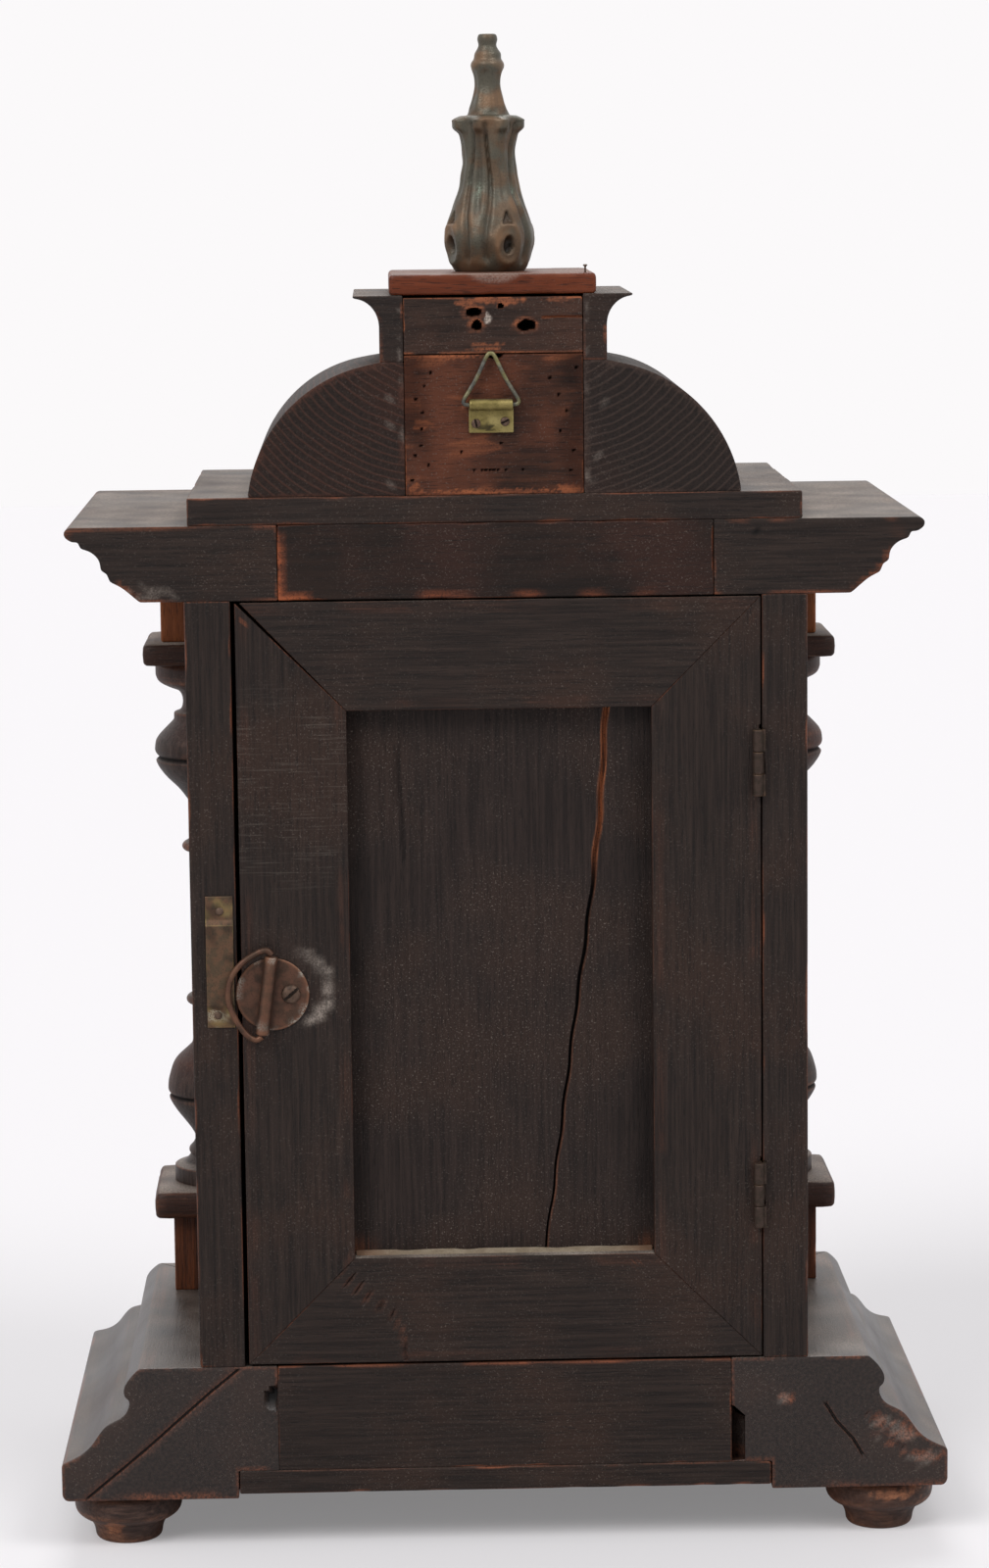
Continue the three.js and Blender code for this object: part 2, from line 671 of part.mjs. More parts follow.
// ---------------------------------------------------------------- rear door

// Outline of a door member: [inset from the outer edge, depth], with the rebate that takes the panel.
const doorOutline = [
  [0, 0],
  [DOOR_MEMBER, 0],
  [DOOR_MEMBER, PANEL_RECESS],
  [DOOR_MEMBER - PANEL_REBATE, PANEL_RECESS],
  [DOOR_MEMBER - PANEL_REBATE, DOOR_THICKNESS],
  [0, DOOR_THICKNESS],
];

const turnScrewX = doorRight - TURN_SCREW_INSET;
const turnPlateX = turnScrewX + TURN_THROW;

function addRearDoor() {
  const opening = (inset) => MITRE_OPENING * (1 - inset / DOOR_MEMBER);
  const top = [
    (inset, depth) => [doorLeft + inset, depth, doorTop - inset],
    (inset, depth) => [doorRight - inset - opening(inset), depth, doorTop - inset],
  ];
  const bottom = [
    (inset, depth) => [doorLeft + inset, depth, doorBottom + inset],
    (inset, depth) => [doorRight - inset, depth, doorBottom + inset],
  ];
  const hingeStile = [
    (inset, depth) => [doorLeft + inset, depth, doorBottom + inset],
    (inset, depth) => [doorLeft + inset, depth, doorTop - inset],
  ];
  const latchStile = [
    (inset, depth) => [doorRight - inset, depth, doorBottom + inset],
    (inset, depth) => [doorRight - inset, depth, doorTop - inset],
  ];
  const recesses = Object.values(hingeHeights).map((middle) => leafRecess(doorLeft, 1, middle));
  const screwHole = bar(SCREW_SHANK + TOUCH_GAP, -1, SCREW_LENGTH + TOUCH_GAP, turnScrewX, turnHeight);
  add("door_rail_top", sweep(doorOutline, top), EBONISED);
  add("door_rail_bottom", sweep(doorOutline, bottom), EBONISED);
  add("door_stile_hinge", cut(sweep(doorOutline, hingeStile), ...recesses), EBONISED);
  add("door_stile_latch", cut(sweep(doorOutline, latchStile), screwHole), EBONISED);
  const edge = DOOR_MEMBER - PANEL_REBATE + TOUCH_GAP;
  const panelBack = PANEL_RECESS + PANEL_THICKNESS;
  const lower = [doorLeft + edge, PANEL_RECESS, doorBottom + edge];
  add("door_panel", box(lower, [doorRight - edge, panelBack, doorTop - edge]), EBONISED);
}

// An upright tube or pin of the hinge.
function upright(radius, bottom, top, x, depth, sides = SIDES_SMALL) {
  const geometry = new THREE.CylinderGeometry(radius, radius, top - bottom, sides).rotateX(Math.PI / 2);
  return geometry.translate(x, depthY(depth), (bottom + top) / 2);
}

function addHinges() {
  const pinX = -SIDE_INNER + HINGE_PIN_IN;
  const third = HINGE_LENGTH / 3;
  const slack = 0.1;
  Object.entries(hingeHeights).forEach(([place, middle]) => {
    const [z0, z3] = [middle - HINGE_LENGTH / 2, middle + HINGE_LENGTH / 2];
    const [z1, z2] = [z0 + third, z3 - third];
    const tabDepth = -HINGE_PIN_OUT;
    const leafStart = SLIP_GAP;
    const caseX = -SIDE_INNER - LEAF_THICKNESS;
    const caseLeaf = join(
      box([caseX, leafStart, z0], [-SIDE_INNER, LEAF_DEPTH, z3]),
      box([caseX, tabDepth, z0], [-SIDE_INNER, leafStart + 1, z1 - slack]),
      box([caseX, tabDepth, z2 + slack], [-SIDE_INNER, leafStart + 1, z3]),
      upright(HINGE_BARREL, z0, z1 - slack, pinX, -HINGE_PIN_OUT),
      upright(HINGE_BARREL, z2 + slack, z3, pinX, -HINGE_PIN_OUT),
      upright(HINGE_PIN, z0 + 1, z3 - 1, pinX, -HINGE_PIN_OUT, 8),
    );
    add(`${place}_hinge_case_leaf`, caseLeaf, TARNISHED);
    const doorX = doorLeft + LEAF_THICKNESS;
    const doorLeaf = join(
      box([doorLeft, leafStart, z0], [doorX, LEAF_DEPTH, z3]),
      box([doorLeft, tabDepth, z1 + slack], [doorX, leafStart + 1, z2 - slack]),
      upright(HINGE_BARREL, z1 + slack, z2 - slack, pinX, -HINGE_PIN_OUT),
    );
    const bore = upright(HINGE_PIN + TOUCH_GAP, z0, z3, pinX, -HINGE_PIN_OUT, 8);
    add(`${place}_hinge_door_leaf`, cut(doorLeaf, bore), TARNISHED);
  });
}

// ---------------------------------------------------------------- latch

const turnFace = -TOUCH_GAP - TURN_SHEET; // outer face of the turn plate

function addLatch() {
  const disc = bar(TURN_RADIUS, turnFace, -TOUCH_GAP, turnPlateX, turnHeight, SIDES_LARGE);
  const ribX = turnPlateX + RIB_OFFSET;
  const placeRib = (geometry) =>
    geometry.rotateX(Math.PI / 2).rotateY(RIB_TILT).translate(ribX, depthY(-RIB_OUT), turnHeight);
  const rib = placeRib(new THREE.CylinderGeometry(RIB_RADIUS, RIB_RADIUS, RIB_LENGTH, SIDES_SMALL));
  const boreRadius = RING_WIRE + TOUCH_GAP;
  const bore = placeRib(new THREE.CylinderGeometry(boreRadius, boreRadius, RIB_LENGTH + 2, SIDES_SMALL));
  const [webX, webHalf] = [RIB_RADIUS * 0.55, RIB_LENGTH / 2 - 1]; // solder between the rib and the disc
  const web = placeRib(new THREE.BoxGeometry(2 * webX, 2 * webHalf, 1)).translate(0, -RIB_RADIUS + 0.2, 0);
  const screwHole = bar(SCREW_SHANK + TOUCH_GAP, -5, 1, turnScrewX, turnHeight);
  add("turn_plate", cut(join(disc, rib, web), bore, screwHole), TARNISHED);

  const headSeat = turnFace - 0.1;
  const headProfile = [
    [0, 0],
    [SCREW_HEAD, 0],
    [SCREW_HEAD * 0.94, 0.7],
    [SCREW_HEAD * 0.66, 1.2],
    [0, 1.4],
  ].map(([radius, height]) => new THREE.Vector2(radius, height));
  const head = new THREE.LatheGeometry(headProfile, SIDES_MEDIUM);
  head.translate(turnScrewX, depthY(headSeat), turnHeight);
  const shank = bar(SCREW_SHANK, headSeat - 0.5, SCREW_LENGTH, turnScrewX, turnHeight);
  const slot = new THREE.BoxGeometry(3 * SCREW_HEAD, 2, 0.8).rotateY(0.7);
  slot.translate(turnScrewX, depthY(headSeat - 1.7), turnHeight);
  add("turn_screw", cut(join(head, shank), slot), STEEL);

  // The ring's ends meet inside the rib, and its bow lies over the keeper.
  const half = RIB_LENGTH / 2;
  const [lean, rise] = [Math.sin(-RIB_TILT), Math.cos(RIB_TILT)];
  const along = (offset, reach) => [
    ribX + offset * -lean + reach * rise,
    -RIB_OUT,
    turnHeight + offset * rise + reach * lean,
  ];
  const ring = [
    along(0.3, 0),
    along(half * 0.5, 0),
    along(half, 0),
    along(half + 1.9, 1.4),
    along(half + 1, 4),
    along(half * 0.62, 9.2),
    along(half * 0.2, RING_REACH),
    along(-half * 0.3, RING_REACH),
    along(-half * 0.72, 9),
    along(-half - 0.8, 4.2),
    along(-half - 1.9, 1.4),
    along(-half, 0),
    along(-half * 0.5, 0),
    along(-0.3, 0),
  ];
  add("pull_ring", wire(ring, RING_WIRE, 40, 8), TARNISHED);

  const keeperX = turnPlateX + TURN_RADIUS + KEEPER_REACH_GAP;
  const z0 = turnHeight - KEEPER_DROP;
  const z3 = z0 + KEEPER_LENGTH;
  const [padLow, padHigh, slope] = [z0 + 6.1, z3 - 8.1, 1.4];
  const [outer, raised] = [-KEEPER_SHEET, -KEEPER_RISE];
  const strap = [
    [0, z0],
    [0, padLow],
    [raised, padLow + slope],
    [raised, padHigh - slope],
    [0, padHigh],
    [0, z3],
    [outer, z3],
    [outer, padHigh - 0.3],
    [raised + outer, padHigh - slope - 0.3],
    [raised + outer, padLow + slope + 0.3],
    [outer, padLow + 0.3],
    [outer, z0],
  ];
  const across = [(depth, z) => [keeperX, depth, z], (depth, z) => [keeperX + KEEPER_WIDTH, depth, z]];
  add("keeper", sweep(strap, across), BRASS);
}

// ---------------------------------------------------------------- wall hanger

function addHanger() {
  const rollZ = HANGER_Z + HANGER_HEIGHT + HANGER_ROLL - 0.4;
  const rollDepth = -HANGER_ROLL;
  const [x0, x1] = [HANGER_X - HANGER_WIDTH / 2, HANGER_X + HANGER_WIDTH / 2];
  const plate = box([x0, -HANGER_SHEET, HANGER_Z], [x1, 0, rollZ]);
  const lying = (radius, length) =>
    new THREE.CylinderGeometry(radius, radius, length, SIDES_SMALL)
      .rotateZ(Math.PI / 2)
      .translate(HANGER_X, depthY(rollDepth), rollZ);
  const roll = lying(HANGER_ROLL, HANGER_WIDTH - 1);
  const bore = lying(HANGER_WIRE + TOUCH_GAP, HANGER_WIDTH + 2);
  add("hanger_plate", cut(join(plate, roll), bore), BRASS);
  const half = HANGER_RING_WIDTH / 2;
  const corner = 1.6;
  const at = (x, rise) => [HANGER_X + x, rollDepth, rollZ + rise];
  const side = (share) => at(half * (1 - share), HANGER_RING_RISE * share);
  const mirrored = (share) => at(-half * (1 - share), HANGER_RING_RISE * share);
  const ring = [
    at(0.3, 0),
    at(half * 0.5, 0),
    at(half - corner, 0),
    at(half - 0.2, 0.35),
    side(0.12),
    side(0.5),
    side(0.9),
    at(0, HANGER_RING_RISE * 0.97),
    mirrored(0.9),
    mirrored(0.5),
    mirrored(0.12),
    at(-half + 0.2, 0.35),
    at(-half + corner, 0),
    at(-half * 0.5, 0),
    at(-0.3, 0),
  ];
  add("hanger_ring", wire(ring, HANGER_WIRE, 42, 6), ZINC);
}

// ---------------------------------------------------------------- front door, dial and hands

const frontStart = SIDE_DEPTH + FRONT_STAND;
const maskFront = SIDE_DEPTH - MASK_SETBACK;
const maskBack = maskFront - MASK_THICKNESS;
const dialFront = maskFront + DIAL_THICKNESS;
const hourHandFrom = dialFront + 1;
const minuteHandFrom = hourHandFrom + 2.6;

function addFrontDoor() {
  const outerHalf = COLUMN_X - SLAB_SIZE / 2 - FRONT_GAP;
  const [z0, z1] = [BASE_TOP + FRONT_GAP_ENDS, CORNICE_Z - FRONT_GAP_ENDS];
  const front = frontStart + FRONT_THICKNESS;
  const seat = frontStart + GLASS_REBATE + GLASS_THICKNESS;
  const outline = [
    [0, frontStart],
    [0, front - 2],
    [2, front],
    [FRONT_MEMBER - 4.5, front],
    [FRONT_MEMBER - 2.6, front - 2.4],
    [FRONT_MEMBER, front - 3.6],
    [FRONT_MEMBER, seat],
    [FRONT_MEMBER - GLASS_REBATE, seat],
    [FRONT_MEMBER - GLASS_REBATE, frontStart],
  ];
  const around = [
    (inset, depth) => [-outerHalf + inset, depth, z0 + inset],
    (inset, depth) => [outerHalf - inset, depth, z0 + inset],
    (inset, depth) => [outerHalf - inset, depth, z1 - inset],
    (inset, depth) => [-outerHalf + inset, depth, z1 - inset],
  ];
  add("front_door_frame", sweep(outline, around, true), EBONISED);
  const edge = FRONT_MEMBER - GLASS_REBATE + TOUCH_GAP;
  const lower = [-outerHalf + edge, seat - GLASS_THICKNESS, z0 + edge];
  add("front_door_glass", box(lower, [outerHalf - edge, seat, z1 - edge]), GLASS);
}

// A hand that points to an angle clockwise from twelve, with a round eye on its pipe or arbor.
function hand({ length, eye, width }, bore, degrees, from) {
  const to = from + HAND_THICKNESS;
  const angle = THREE.MathUtils.degToRad(-degrees);
  const blade = [
    [-width * 0.35, eye * 0.8],
    [width * 0.35, eye * 0.8],
    [width * 0.35, length * 0.55],
    [width, length * 0.72],
    [0, length],
    [-width, length * 0.72],
    [-width * 0.35, length * 0.55],
  ];
  const turn = ([x, z]) => [
    x * Math.cos(angle) - z * Math.sin(angle),
    x * Math.sin(angle) + z * Math.cos(angle) + DIAL_Z,
  ];
  const bladeSolid = slab(outlineShape(blade.map(turn)), from, to);
  const eyeSolid = bar(eye, from, to, 0, DIAL_Z, SIDES_MEDIUM);
  return cut(join(bladeSolid, eyeSolid), bar(bore, from - 1, to + 1, 0, DIAL_Z, SIDES_MEDIUM));
}

const barrelDistance = (BARREL_MODULE * (BARREL_TEETH + CENTRE_LEAVES)) / 2;
const barrelZ = DIAL_Z - barrelDistance;

function addDial() {
  const half = SIDE_INNER - TOUCH_GAP;
  const [z0, z1] = [BASE_TOP, CORNICE_Z];
  const sheet = [
    [-half, z0],
    [half, z0],
    [half, z1],
    [-half, z1],
  ];
  const workHole = bar(MASK_HOLE, maskBack - 1, maskFront + 1, 0, DIAL_Z, SIDES_LARGE);
  const keyWay = bar(KEY_HOLE, maskBack - 1, maskFront + 1, 0, barrelZ);
  add("dial_mask", cut(slab(outlineShape(sheet), maskBack, maskFront), workHole, keyWay), EBONISED);
  const face = outlineShape(circlePoints(DIAL_RADIUS, 0, DIAL_Z, SIDES_LARGE), [
    circlePoints(HOUR_PIPE + 0.8, 0, DIAL_Z, SIDES_MEDIUM),
    circlePoints(KEY_HOLE, 0, barrelZ, SIDES_SMALL),
  ]);
  add("dial", slab(face, maskFront, dialFront), ENAMEL);
  const hourBore = HOUR_PIPE + TOUCH_GAP;
  const minuteBore = MINUTE_ARBOR + TOUCH_GAP;
  add("hour_hand", hand(HOUR_HAND, hourBore, HOUR_AT_REST, hourHandFrom), BLUED);
  add("minute_hand", hand(MINUTE_HAND, minuteBore, MINUTE_AT_REST, minuteHandFrom), BLUED);
}

// ---------------------------------------------------------------- movement

const frontPlateBack = maskBack - PLATE_TO_MASK - PLATE_THICKNESS;
const frontPlateFront = frontPlateBack + PLATE_THICKNESS;
const backPlateFront = frontPlateBack - PLATE_SPACE;
const backPlateBack = backPlateFront - PLATE_THICKNESS;

// Places of the arbors as [x, z].
const thirdDistance = (CENTRE_MODULE * (CENTRE_TEETH + THIRD_LEAVES)) / 2;
const escapeDistance = (THIRD_MODULE * (THIRD_TEETH + ESCAPE_LEAVES)) / 2;
const thirdX = -thirdDistance * Math.SQRT1_2;
const centreAt = [0, DIAL_Z];
const barrelAt = [0, barrelZ];
const thirdAt = [thirdX, DIAL_Z - thirdX];
const escapeAt = [0, thirdAt[1] + Math.sqrt(escapeDistance ** 2 - thirdX ** 2)];
const palletAt = [0, escapeAt[1] + Math.SQRT2 * (ESCAPE_RADIUS + PALLET_CLEARANCE)];
const minuteAt = [MOTION_DISTANCE, DIAL_Z];

// Layers of the train as [from, to] depths.
const layer = {
  greatWheel: [frontPlateBack - 8, frontPlateBack - 5.5],
  centreWheel: [frontPlateBack - 3.4, frontPlateBack - 1.9],
  thirdWheel: [backPlateFront + 12, backPlateFront + 13.5],
  escapeWheel: [backPlateFront + 18, backPlateFront + 19.2],
  minuteWheel: [frontPlateFront + 1.2, frontPlateFront + 2.2],
  hourWheel: [frontPlateFront + 3.6, frontPlateFront + 4.6],
};

// Teeth round a circle, thin enough to run clear in mesh; one tooth points along the phase angle.
function toothed(teeth, module, phase, [x, z], leaf = false) {
  const pitch = (module * teeth) / 2;
  const addendum = (leaf ? 0.6 : 0.85) * module;
  const [tip, root] = [pitch + addendum, pitch - 1.2 * module];
  const space = Math.PI * module;
  const rootHalf = (leaf ? 0.17 : 0.22) * space;
  const corners = [
    [root, -rootHalf / root],
    [tip, 0],
    [root, rootHalf / root],
  ];
  return Array.from({ length: teeth }, (_, i) => {
    const middle = phase + (i / teeth) * 2 * Math.PI;
    return corners.map(([radius, offset]) => [
      x + radius * Math.cos(middle + offset),
      z + radius * Math.sin(middle + offset),
    ]);
  }).flat();
}

function direction([x0, z0], [x1, z1]) {
  return Math.atan2(z1 - z0, x1 - x0);
}

// Phases that put a leaf of the pinion into a gap of the wheel on the line between their centres.
const wheelPhase = (teeth, from, to) => direction(from, to) + Math.PI / teeth;
const leafPhase = (from, to) => direction(to, from);

function gear(points, from, to) {
  return slab(outlineShape(points), from, to);
}

// An arbor between the plates with a pivot in each.
function arbor([x, z], radius = ARBOR_RADIUS) {
  const [from, to] = [backPlateFront + END_SHAKE, frontPlateBack - END_SHAKE];
  const body = bar(radius, from, to, x, z);
  return join(body, bar(PIVOT_RADIUS, backPlateBack + PIVOT_INSET, frontPlateFront - PIVOT_INSET, x, z, 8));
}

function addPlates() {
  const [z0, z1] = [DIAL_Z + PLATE_BOTTOM, DIAL_Z + PLATE_TOP];
  const half = PLATE_HALF_WIDTH;
  const sheet = [
    [-half, z0],
    [half, z0],
    [half, z1],
    [-half, z1],
  ];
  const pivotHole = ([x, z]) => circlePoints(PIVOT_RADIUS + TOUCH_GAP, x, z, 8);
  const windingHole = circlePoints(WINDING_RADIUS + TOUCH_GAP, ...barrelAt, SIDES_SMALL);
  const corners = [
    [-half + PILLAR_INSET, z0 + PILLAR_INSET],
    [half - PILLAR_INSET, z0 + PILLAR_INSET],
    [-half + PILLAR_INSET, z1 - PILLAR_INSET],
    [half - PILLAR_INSET, z1 - PILLAR_INSET],
  ];
  const centreHole = circlePoints(CANNON_RADIUS + TOUCH_GAP, ...centreAt, SIDES_SMALL);
  const frontHoles = [windingHole, centreHole, pivotHole(thirdAt), pivotHole(escapeAt), pivotHole(palletAt)];
  const frontSheet = slab(outlineShape(sheet, frontHoles), frontPlateBack, frontPlateFront);
  const feet = corners.map(([x, z]) => bar(PILLAR_RADIUS, frontPlateFront - LAP, maskBack, x, z));
  const stud = bar(STUD_RADIUS, frontPlateFront - LAP, layer.hourWheel[1] + 1, ...minuteAt);
  add("front_plate", join(frontSheet, stud, ...feet), BRASS);
  const palletHole = circlePoints(PALLET_BORE, ...palletAt, SIDES_SMALL);
  const backHoles = [windingHole, pivotHole(centreAt), pivotHole(thirdAt), pivotHole(escapeAt), palletHole];
  const backSheet = slab(outlineShape(sheet, backHoles), backPlateBack, backPlateFront);
  const pillars = corners.map(([x, z]) => bar(PILLAR_RADIUS, backPlateFront - LAP, frontPlateBack, x, z));
  add("back_plate", join(backSheet, ...pillars), BRASS);
}

function addTrain() {
  const [greatFrom, greatTo] = layer.greatWheel;
  const greatPhase = wheelPhase(BARREL_TEETH, barrelAt, centreAt);
  const greatPoints = toothed(BARREL_TEETH, BARREL_MODULE, greatPhase, barrelAt);
  const drum = bar(BARREL_DRUM, backPlateFront + 4, greatFrom + LAP, ...barrelAt, SIDES_LARGE);
  const windingBore = bar(WINDING_RADIUS + TOUCH_GAP, backPlateFront, greatTo + 1, ...barrelAt);
  add("barrel", cut(join(gear(greatPoints, greatFrom, greatTo), drum), windingBore), BRASS);

  const half = WINDING_SQUARE / 2;
  const squareFrom = [barrelAt[0] - half, frontPlateFront - LAP, barrelAt[1] - half];
  const square = box(squareFrom, [barrelAt[0] + half, maskFront - LAP, barrelAt[1] + half]);
  const round = bar(WINDING_RADIUS, backPlateBack + PIVOT_INSET, frontPlateFront + 0.3, ...barrelAt);
  add("winding_arbor", join(round, square), STEEL);

  const centreLeaves = toothed(CENTRE_LEAVES, BARREL_MODULE, leafPhase(barrelAt, centreAt), centreAt, true);
  const centrePhase = wheelPhase(CENTRE_TEETH, centreAt, thirdAt);
  const centreTeeth = toothed(CENTRE_TEETH, CENTRE_MODULE, centrePhase, centreAt);
  const cannonModule = (2 * MOTION_DISTANCE) / (CANNON_LEAVES + MINUTE_TEETH);
  const cannonPhase = leafPhase(minuteAt, centreAt);
  const cannonLeaves = toothed(CANNON_LEAVES, cannonModule, cannonPhase, centreAt, true);
  const cannonTo = layer.minuteWheel[1] + 0.3;
  const centreSolid = join(
    arbor(centreAt),
    gear(centreLeaves, greatFrom - 0.5, greatTo + 0.5),
    gear(centreTeeth, ...layer.centreWheel),
    bar(CANNON_RADIUS, layer.centreWheel[1] - LAP, frontPlateFront + 1, ...centreAt),
    gear(cannonLeaves, frontPlateFront + 0.7, cannonTo),
    bar(MINUTE_ARBOR, cannonTo - LAP, minuteHandFrom + 2, ...centreAt),
  );
  add("centre_wheel", centreSolid, BRASS);

  const thirdLeaves = toothed(THIRD_LEAVES, CENTRE_MODULE, leafPhase(centreAt, thirdAt), thirdAt, true);
  const thirdTeeth = toothed(THIRD_TEETH, THIRD_MODULE, wheelPhase(THIRD_TEETH, thirdAt, escapeAt), thirdAt);
  const [centreFrom, centreTo] = layer.centreWheel;
  const thirdPinion = gear(thirdLeaves, centreFrom - 0.6, centreTo + 0.6);
  add("third_wheel", join(arbor(thirdAt), thirdPinion, gear(thirdTeeth, ...layer.thirdWheel)), BRASS);

  const escapeLeaves = toothed(ESCAPE_LEAVES, THIRD_MODULE, leafPhase(thirdAt, escapeAt), escapeAt, true);
  const escapePoints = Array.from({ length: ESCAPE_TEETH }, (_, i) => {
    const start = (i / ESCAPE_TEETH) * 2 * Math.PI;
    const step = (2 * Math.PI) / ESCAPE_TEETH;
    return [
      [ESCAPE_RADIUS, start],
      [ESCAPE_RADIUS - 1.7, start + step * 0.7],
    ].map(([radius, angle]) => [radius * Math.cos(angle), escapeAt[1] + radius * Math.sin(angle)]);
  }).flat();
  const [thirdFrom, thirdTo] = layer.thirdWheel;
  const escapePinion = gear(escapeLeaves, thirdFrom - 0.6, thirdTo + 0.6);
  const escapeWheel = gear(escapePoints, ...layer.escapeWheel);
  add("escape_wheel", join(arbor(escapeAt, 1), escapePinion, escapeWheel), BRASS);
}

function addMotionWork() {
  const cannonModule = (2 * MOTION_DISTANCE) / (CANNON_LEAVES + MINUTE_TEETH);
  const hourModule = (2 * MOTION_DISTANCE) / (MINUTE_LEAVES + HOUR_TEETH);
  const minutePhase = wheelPhase(MINUTE_TEETH, minuteAt, centreAt);
  const minuteTeeth = toothed(MINUTE_TEETH, cannonModule, minutePhase, minuteAt);
  const minuteLeaves = toothed(MINUTE_LEAVES, hourModule, leafPhase(centreAt, minuteAt), minuteAt, true);
  const [hourFrom, hourTo] = layer.hourWheel;
  const minuteSolid = join(
    gear(minuteTeeth, ...layer.minuteWheel),
    gear(minuteLeaves, layer.minuteWheel[1] - 0.3, hourTo + 0.4),
  );
  const studBore = bar(STUD_RADIUS + TOUCH_GAP, frontPlateFront, hourTo + 2, ...minuteAt);
  add("minute_wheel", cut(minuteSolid, studBore), BRASS);
  const hourTeeth = toothed(HOUR_TEETH, hourModule, wheelPhase(HOUR_TEETH, centreAt, minuteAt), centreAt);
  const pipe = bar(HOUR_PIPE, hourFrom, hourHandFrom + 1.2, ...centreAt, SIDES_MEDIUM);
  const pipeBore = bar(MINUTE_ARBOR + 0.9, hourFrom - 1, dialFront + 4, ...centreAt, SIDES_MEDIUM);
  add("hour_wheel", cut(join(gear(hourTeeth, hourFrom, hourTo), pipe), pipeBore), BRASS);
}

function addEscapement() {
  const [x, z] = palletAt;
  const reach = (ESCAPE_RADIUS + PALLET_CLEARANCE) * Math.SQRT1_2;
  const tipZ = escapeAt[1] + reach;
  // The two halves of the anchor mirror one another about the pallet arbor.
  const anchor = [
    [-2.6, z - 1],
    [-reach + 0.6, tipZ + 3.4],
    [-reach - 1.6, tipZ + 0.8],
    [-reach, tipZ],
    [-reach + 2.6, tipZ + 2.6],
    [0, z - 3.4],
    [reach - 2.6, tipZ + 2.6],
    [reach, tipZ],
    [reach + 1.6, tipZ + 0.8],
    [reach - 0.6, tipZ + 3.4],
    [2.6, z - 1],
    [1.6, z + 1.8],
    [-1.6, z + 1.8],
  ];
  const crutchDepth = backPlateBack - 3.2;
  const forkZ = z - CRUTCH_LENGTH;
  const forkHalf = PENDULUM_ROD + 0.5;
  const prong = forkHalf + 0.9;
  const rearEnd = PENDULUM_BACK + PENDULUM_ROD + 1.4;
  const solid = join(
    slab(outlineShape(anchor), ...layer.escapeWheel),
    bar(ARBOR_RADIUS, crutchDepth, frontPlateBack - END_SHAKE, x, z),
    bar(PIVOT_RADIUS, frontPlateBack - 1, frontPlateFront - PIVOT_INSET, x, z, 8),
    box([-0.8, crutchDepth, forkZ], [0.8, crutchDepth + CRUTCH_SHEET, z]),
    box([-prong, crutchDepth, forkZ - 1.6], [prong, crutchDepth + CRUTCH_SHEET, forkZ + 0.4]),
    box([-prong, PENDULUM_BACK - 2, forkZ - 1.6], [-forkHalf, crutchDepth + LAP, forkZ]),
    box([forkHalf, PENDULUM_BACK - 2, forkZ - 1.6], [prong, crutchDepth + LAP, forkZ]),
  );
  add("pallets", solid, STEEL);

  const cockHole = bar(PALLET_BORE, rearEnd - 3, backPlateBack + 1, x, z);
  const armZ = z + 3.8;
  const cock = join(
    box([-8, backPlateBack - 1.5, z - 5], [8, backPlateBack, armZ + 3]),
    box([-5, PENDULUM_BACK - 3, armZ], [5, backPlateBack - 1, armZ + 3]),
  );
  add("suspension_cock", cut(cock, cockHole), BRASS);

  const bobZ = z - PENDULUM_LENGTH;
  const [rodTop, rodBottom] = [z - 4, bobZ - BOB_RADIUS - 6];
  const spring = box([-2, PENDULUM_BACK - 0.2, rodTop - 1], [2, PENDULUM_BACK + 0.2, armZ - TOUCH_GAP]);
  const rod = upright(PENDULUM_ROD, rodBottom, rodTop, 0, PENDULUM_BACK);
  const nutTop = bobZ - BOB_RADIUS - 0.6;
  const nut = upright(NUT_RADIUS, nutTop - NUT_HEIGHT, nutTop, 0, PENDULUM_BACK, SIDES_MEDIUM);
  add("pendulum_rod", join(spring, rod, nut), BRASS);
  const lens = [
    [0, -BOB_THICKNESS / 2],
    [8, -BOB_THICKNESS * 0.47],
    [14.5, -BOB_THICKNESS * 0.34],
    [BOB_RADIUS, -0.6],
    [BOB_RADIUS, 0.6],
    [14.5, BOB_THICKNESS * 0.34],
    [8, BOB_THICKNESS * 0.47],
    [0, BOB_THICKNESS / 2],
  ].map(([radius, height]) => new THREE.Vector2(radius, height));
  const bob = new THREE.LatheGeometry(lens, SIDES_LARGE).translate(0, depthY(PENDULUM_BACK), bobZ);
  const boreHalf = BOB_RADIUS + 10;
  const bobBore = upright(PENDULUM_ROD + TOUCH_GAP, bobZ - boreHalf, bobZ + boreHalf, 0, PENDULUM_BACK);
  add("pendulum_bob", cut(bob, bobBore), BRASS);
}

addBase();
addFeet();
addSides();
addCornice();
addCrown();
addFinial();
addColumns();
addRearDoor();
addHinges();
addLatch();
addHanger();
addFrontDoor();
addDial();
addPlates();
addTrain();
addMotionWork();
addEscapement();

export default clock;
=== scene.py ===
# %% [markdown]
# # A dark bracket clock, seen from behind
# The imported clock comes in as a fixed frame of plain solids. This lesson dresses it: worn ebonised
# boards, swept mouldings, turned columns, a cast finial and tarnished brass. Each visible solid gets
# a finer piece that fills the same place, and the hidden movement keeps its solids with better metals.

import math

import bmesh
import bpy
import numpy as np
from mathutils import Matrix, Vector, geometry


